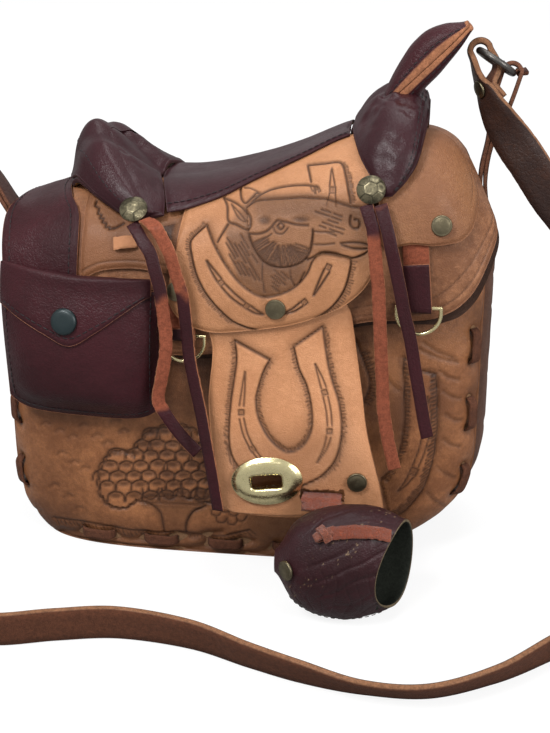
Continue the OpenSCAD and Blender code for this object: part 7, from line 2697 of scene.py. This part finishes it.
class Hardware:
    """Strings, conchos, rivets, dee rings and the turn lock."""

    string_w = 6.0
    string_t = 1.4
    fender_rivet = (59.0, 57.6)
    plate_half = (17.0, 12.0)
    plate_turn = 7.0
    slot_half = (7.2, 3.2)

    def __init__(self, shop: Workshop, flap: SaddleFlap) -> None:
        """Remember the workshop and the flap that carries the parts."""
        self.shop = shop
        self.flap = flap

    def strings(self) -> None:
        """Four free strings, each made as a flat strip."""
        for s in STRINGS:
            count = 160
            path = finer(s.route, count)
            a = np.radians(s.twist * even(count))
            wides = np.stack([np.cos(a), np.sin(a), np.full(count, 0.1)], axis=-1)
            mesh = strip(
                path, wides, self.string_w, self.string_t, 0.1 + 0.2 * (s.flesh[1] > s.flesh[0])
            )
            near = np.linalg.norm(mesh.points[:, None] - path[None], axis=2).argmin(axis=1) / count
            near = near + 0.04 * noise(mesh.points, 5.0, 142)
            mesh.marks["flesh"] = (
                smooth((near - s.flesh[0]) / 0.04 + 0.5) * smooth((s.flesh[1] - near) / 0.04 + 0.5)
            )
            obj = self.shop.piece(f"{s.node}_leather", mesh, Finish.WINE, "flap", [s.node])
            float(along(path)[-1] * METRES)

    def build(self) -> None:
        """Make the small parts."""
        self.conchos()
        self.rivets()
        self.dees()
        self.plate()
        self.tab_lace()
        self.shop.dress(Finish.GOLD, "turn_lock_base", "turn_lock_knob", "eyelet_backing")
        self.shop.dress(Finish.GOLD, "dee_ring_front", "dee_ring_rear")

    def conchos(self) -> None:
        """Two hammered conchos."""
        r, h = 6.4, 3.6
        profile = [
            (0, h), (0.2 * r, 0.98 * h), (0.4 * r, 0.91 * h), (0.6 * r, 0.78 * h),
            (0.75 * r, 0.62 * h), (0.88 * r, 0.42 * h), (0.96 * r, 0.27 * h), (r, 0.2 * h),
            (r, 0.06 * h), (0.96 * r, 0), (1.6, 0), (1.6, -3), (0, -3),
        ]
        fine = np.array(profile)
        fine = np.vstack([spline(fine[:9], even(40)), fine[9:]])

        def hammered(x: Array, y: Array, z: Array) -> tuple[Array, Array]:
            """Height and tarnish: a flat top and six slopes, with webs between them."""
            facets = [np.full_like(z, 0.84 * h)]
            for a in np.radians(np.arange(0, 360, 60) + 12):
                out = x * np.cos(a) + y * np.sin(a)
                facets.append(0.8 * h - 0.62 * (out - 0.5 * r))
            facets = np.sort(facets, axis=0)
            web = bell(facets[1] - facets[0], 0.2)
            flat = np.minimum(z, facets[0]) - 0.14 * web
            tarnish = np.maximum(
                0.9 * web, 0.6 * smooth((noise(np.stack([x, y, z], -1), 1.6, 141) - 0.1) / 0.5)
            )
            return np.where(z > 0.15 * h, flat, z), tarnish * (z > 0.15 * h)

        base = HIDE.seat_base
        for node, xs, t, off in (
            ("concho_rear", -0.392, 0.425, base + 2 * HIDE.soft_t + 0.17 * self.flap.cantle_rise),
            ("concho_front", 0.508, 0.52, base + HIDE.hide_t + 2 * HIDE.gap + HIDE.soft_t),
        ):
            n = DRAPE.normal(xs, t)
            mesh = turned(Seat.of(DRAPE.point(xs, t, off), n), fine, 96, hammered, 0.3 * h)
            self.shop.piece(f"{node}_hammered", mesh, Finish.OLD, "flap", [node])

    def rivets(self) -> None:
        """Rivets of the jockeys and of the fender."""
        two = 2 * HIDE.layer_1 + HIDE.hide_t
        caps = [
            rivet(Seat.of(DRAPE.point(xs, t, off + HIDE.gap), DRAPE.normal(xs, t)))
            for xs, t, off in (
                (0.163, 0.808, two), (-0.217, 0.68, two), (0.771, 0.615, HIDE.layer_1 + 4.0)
            )
        ]
        mesh = reduce(MeshData.joined, caps)
        self.shop.piece("jockey_rivet_caps", mesh, Finish.RIVET, "flap", ["jockey_rivets"])
        xs, z = self.fender_rivet[0] / DRAPE.half_w, self.fender_rivet[1]
        t = float(DRAPE.t_at(np.array(xs), np.array(z)))
        q = self.on_fender(
            np.array([xs, xs, xs + 0.02, xs - 0.02]), np.array([t - 0.02, t + 0.02, t, t])
        )
        n = np.cross(q[2] - q[3], q[0] - q[1])
        place = self.on_fender(np.array(xs), np.array(t)) + HIDE.gap * unit(n)
        self.shop.piece(
            "fender_rivet_cap", rivet(Seat.of(place, n)), Finish.RIVET, "flap", ["fender_rivet"]
        )

    def on_fender(self, xs: Array, t: Array) -> Array:
        """Place on the fender's outer face."""
        return DRAPE.point(xs, t, HIDE.layer_1 + self.flap.bow(t) + HIDE.hide_t)

    def dees(self) -> None:
        """Straps that carry the dee rings."""
        radius = 0.9 + HIDE.gap + HIDE.soft_t / 2
        first = HIDE.layer_1 + HIDE.gap + HIDE.soft_t / 2
        for side, top, bar, tail in (
            ("front", (0.667, 0.6), (0.70, 0.93), 0.5),
            ("rear", (-0.215, 0.67), (-0.198, 0.85), 0.82),
        ):
            top_a, bar_a = np.array(top), np.array(bar)
            middle = DRAPE.point(bar[0], bar[1], first + radius)
            down = unit(
                DRAPE.point(bar[0], bar[1] + 0.02, first) - DRAPE.point(bar[0], bar[1], first)
            )
            out = DRAPE.normal(bar[0], bar[1])
            a = np.radians(np.arange(-60, 91, 30))[:, None]
            bend = middle + radius * (np.cos(a) * down + np.sin(a) * out)
            inner = [DRAPE.point(*lerp(top_a, bar_a, f), first) for f in (0, 0.25, 0.5, 0.75, 1)]
            outer = [DRAPE.point(*lerp(top_a, bar_a, f), first + 2 * radius) for f in (0.93, tail)]
            path = np.vstack([inner, bend, outer])
            across = unit(
                DRAPE.point(top[0] + 0.02, top[1], 0.0) - DRAPE.point(top[0] - 0.02, top[1], 0.0)
            )
            wides = np.array(
                [lerp(across, np.array([1.0, 0, 0]), smooth(i / 4)) for i in range(len(path))]
            )
            mesh = strip(finer(path, 120), -finer(wides, 120), 12.0, HIDE.soft_t, 0.1)
            self.shop.piece(
                f"dee_strap_{side}_leather", mesh, Finish.WINE, "flap", [f"dee_strap_{side}"]
            )

    def plate(self) -> None:
        """Oval plate of the turn lock with a bevelled slot."""
        x, z = self.flap.slot_x, self.flap.slot_z
        xs, reach = x / DRAPE.half_w, self.plate_half[0]
        t = float(DRAPE.t_at(np.array(xs), np.array(z)))
        ends = np.array([xs, xs, (x - reach) / DRAPE.half_w, (x + reach) / DRAPE.half_w])
        q = self.on_fender(ends, np.array([t - 0.1, t + 0.1, t, t]))
        lean = np.arctan2(q[0, 1] - q[1, 1], q[0, 2] - q[1, 2])
        yaw = np.arctan2(q[3, 1] - q[2, 1], q[3, 0] - q[2, 0])
        place = self.on_fender(np.array(xs), np.array(t))
        axes = np.array(
            Matrix.Rotation(yaw, 3, "Z") @ Matrix.Rotation(np.pi / 2 - lean, 3, "X")
            @ Matrix.Rotation(np.radians(self.plate_turn), 3, "Z")
        )
        out, across = axes[:, 2], axes[:, 0]
        seat = Seat.of(np.array([place[0], place[1], z]) + 0.6 * out, out, across)
        profile = [
            (0, -2.9), (0, 1.4), (0.03, 1.9), (0.09, 2.35), (0.16, 2.55), (0.3, 2.6), (0.45, 2.5),
            (0.6, 2.25), (0.75, 1.8), (0.87, 1.2), (0.95, 0.75), (0.985, 0.5), (1.0, 0.3),
            (0.99, 0.08), (0.96, 0), (0.5, 0), (0.08, 0), (0.08, -2.9),
        ]
        a = np.arange(120) * 2 * np.pi / 120
        cos, sin = np.cos(a), np.sin(a)
        r = (np.abs(cos) ** 7 + np.abs(sin) ** 7) ** (-1 / 7)
        hole = np.stack([self.slot_half[0] * r * cos, self.slot_half[1] * r * sin], axis=-1)
        rim = np.stack([self.plate_half[0] * cos, self.plate_half[1] * sin], axis=-1)
        top = np.array(profile)
        fine = np.vstack([top[:2], spline(top[1:13], even(60)), top[13:]])
        flat = lerp(hole[None], rim[None], fine[:, 0, None, None])
        rings = np.concatenate(
            [flat, np.broadcast_to(fine[:, 1, None, None], (*flat.shape[:2], 1))], axis=-1
        )
        self.shop.piece(
            "lock_plate_oval", loft(seat.lay(rings), wrap=True), Finish.GOLD, "flap",
            ["eyelet_plate"],
        )

    def tab_lace(self) -> None:
        """Lace tied through the rear jockey."""
        start, end = np.array([-0.47, 0.53]), np.array([-0.385, 0.515])
        f = even(40)
        q = lerp(start, end, f[:, None])
        off = (
            HIDE.layer_1 + HIDE.hide_t + HIDE.gap + self.string_t / 2
            + self.string_t * np.sin(np.pi * f)
        )
        path = DRAPE.point(q[:, 0], q[:, 1], off)
        wides = (
            DRAPE.point(q[:, 0], q[:, 1] - 0.02, off) - DRAPE.point(q[:, 0], q[:, 1] + 0.02, off)
        )
        mesh = strip(path, wides, self.string_w, self.string_t, 0.3)
        self.shop.piece("jockey_lace_suede", mesh, Finish.TAN_LACE, "flap", ["jockey_lace"])


class Studio:
    """Pale floor and soft lights."""

    def build(self) -> None:
        """Make floor, world and lights."""
        self.floor()
        self.world()
        for name, place, size, power in (
            ("key", (-0.6, -1.0, 1.45), 0.5, 22.0), ("fill", (1.2, -0.9, 0.9), 0.6, 15.0),
            ("top", (0.15, 0.35, 1.5), 0.7, 9.0),
        ):
            self.light(name, np.array(place), size, power)

    @staticmethod
    def light(name: str, place: Array, size: float, power: float) -> None:
        """Add an area light that faces the bag."""
        data = bpy.data.lights.new(name, "AREA")
        data.size = size
        data.energy = power
        obj = bpy.data.objects.new(name, data)
        bpy.context.collection.objects.link(obj)
        z = unit(place - np.array([0.0, -0.03, 0.1]))
        x = unit(np.cross([0.0, 0.0, 1.0], z))
        matrix = np.eye(4)
        matrix[:3, :3] = np.column_stack([x, np.cross(z, x), z])
        matrix[:3, 3] = place
        obj.matrix_world = Matrix(matrix.tolist())

    @staticmethod
    def floor() -> None:
        """White floor that keeps the bag's shadow."""
        data = bpy.data.meshes.new("floor")
        s = 8.0
        data.from_pydata([(-s, -s, 0), (s, -s, 0), (s, s, 0), (-s, s, 0)], [], [(0, 1, 2, 3)])
        obj = bpy.data.objects.new("floor", data)
        bpy.context.collection.objects.link(obj)
        mat, g = new_material("white_floor")
        path = g.add("ShaderNodeLightPath")
        seen = path.outputs["Is Camera Ray"]
        diffuse = g.add(
            "ShaderNodeBsdfDiffuse", {"Color": g.mix(seen, (0.3, 0.3, 0.3), (0.9, 0.9, 0.9))}
        )
        glow = g.add("ShaderNodeEmission", {"Color": (1.0, 1.0, 1.0, 1.0), "Strength": 1.06})
        share = g.times(seen, 0.8)
        mix = g.add("ShaderNodeMixShader", {0: share, 1: diffuse.outputs[0], 2: glow.outputs[0]})
        g.output("ShaderNodeOutputMaterial", mix.outputs[0])
        data.materials.append(mat)

    @staticmethod
    def world() -> None:
        """White sky for the camera and for reflections, and a softer one for light."""
        world = bpy.data.worlds.new("studio")
        bpy.context.scene.world = world
        world.use_nodes = True
        g = Graph(world.node_tree)
        path = g.add("ShaderNodeLightPath")
        seen = g.math("MAXIMUM", path.outputs["Is Camera Ray"], path.outputs["Is Transmission Ray"])
        seen = g.math("MAXIMUM", seen, g.times(path.outputs["Is Glossy Ray"], 0.15))
        level = g.plus(0.5, g.times(seen, 0.5))
        back = g.add("ShaderNodeBackground", {"Color": (1.0, 1.0, 1.0, 1.0), "Strength": level})
        g.output("ShaderNodeOutputWorld", back.outputs[0])


def main() -> None:
    """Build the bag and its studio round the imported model."""
    logging.basicConfig(level=logging.INFO, format="%(name)s: %(message)s")
    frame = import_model()
    LENS.camera()
    shop = Workshop(frame)
    flap = SaddleFlap(shop)
    hardware = Hardware(shop, flap)
    hardware.strings()
    BagBody(shop).build()
    Tack(shop).build()
    flap.build()
    Saddlebag(shop).build()
    Stirrup(shop, flap).build()
    hardware.build()
    Studio().build()
    bpy.context.scene.view_settings.view_transform = "Standard"


if __name__ == "__main__":
    main()
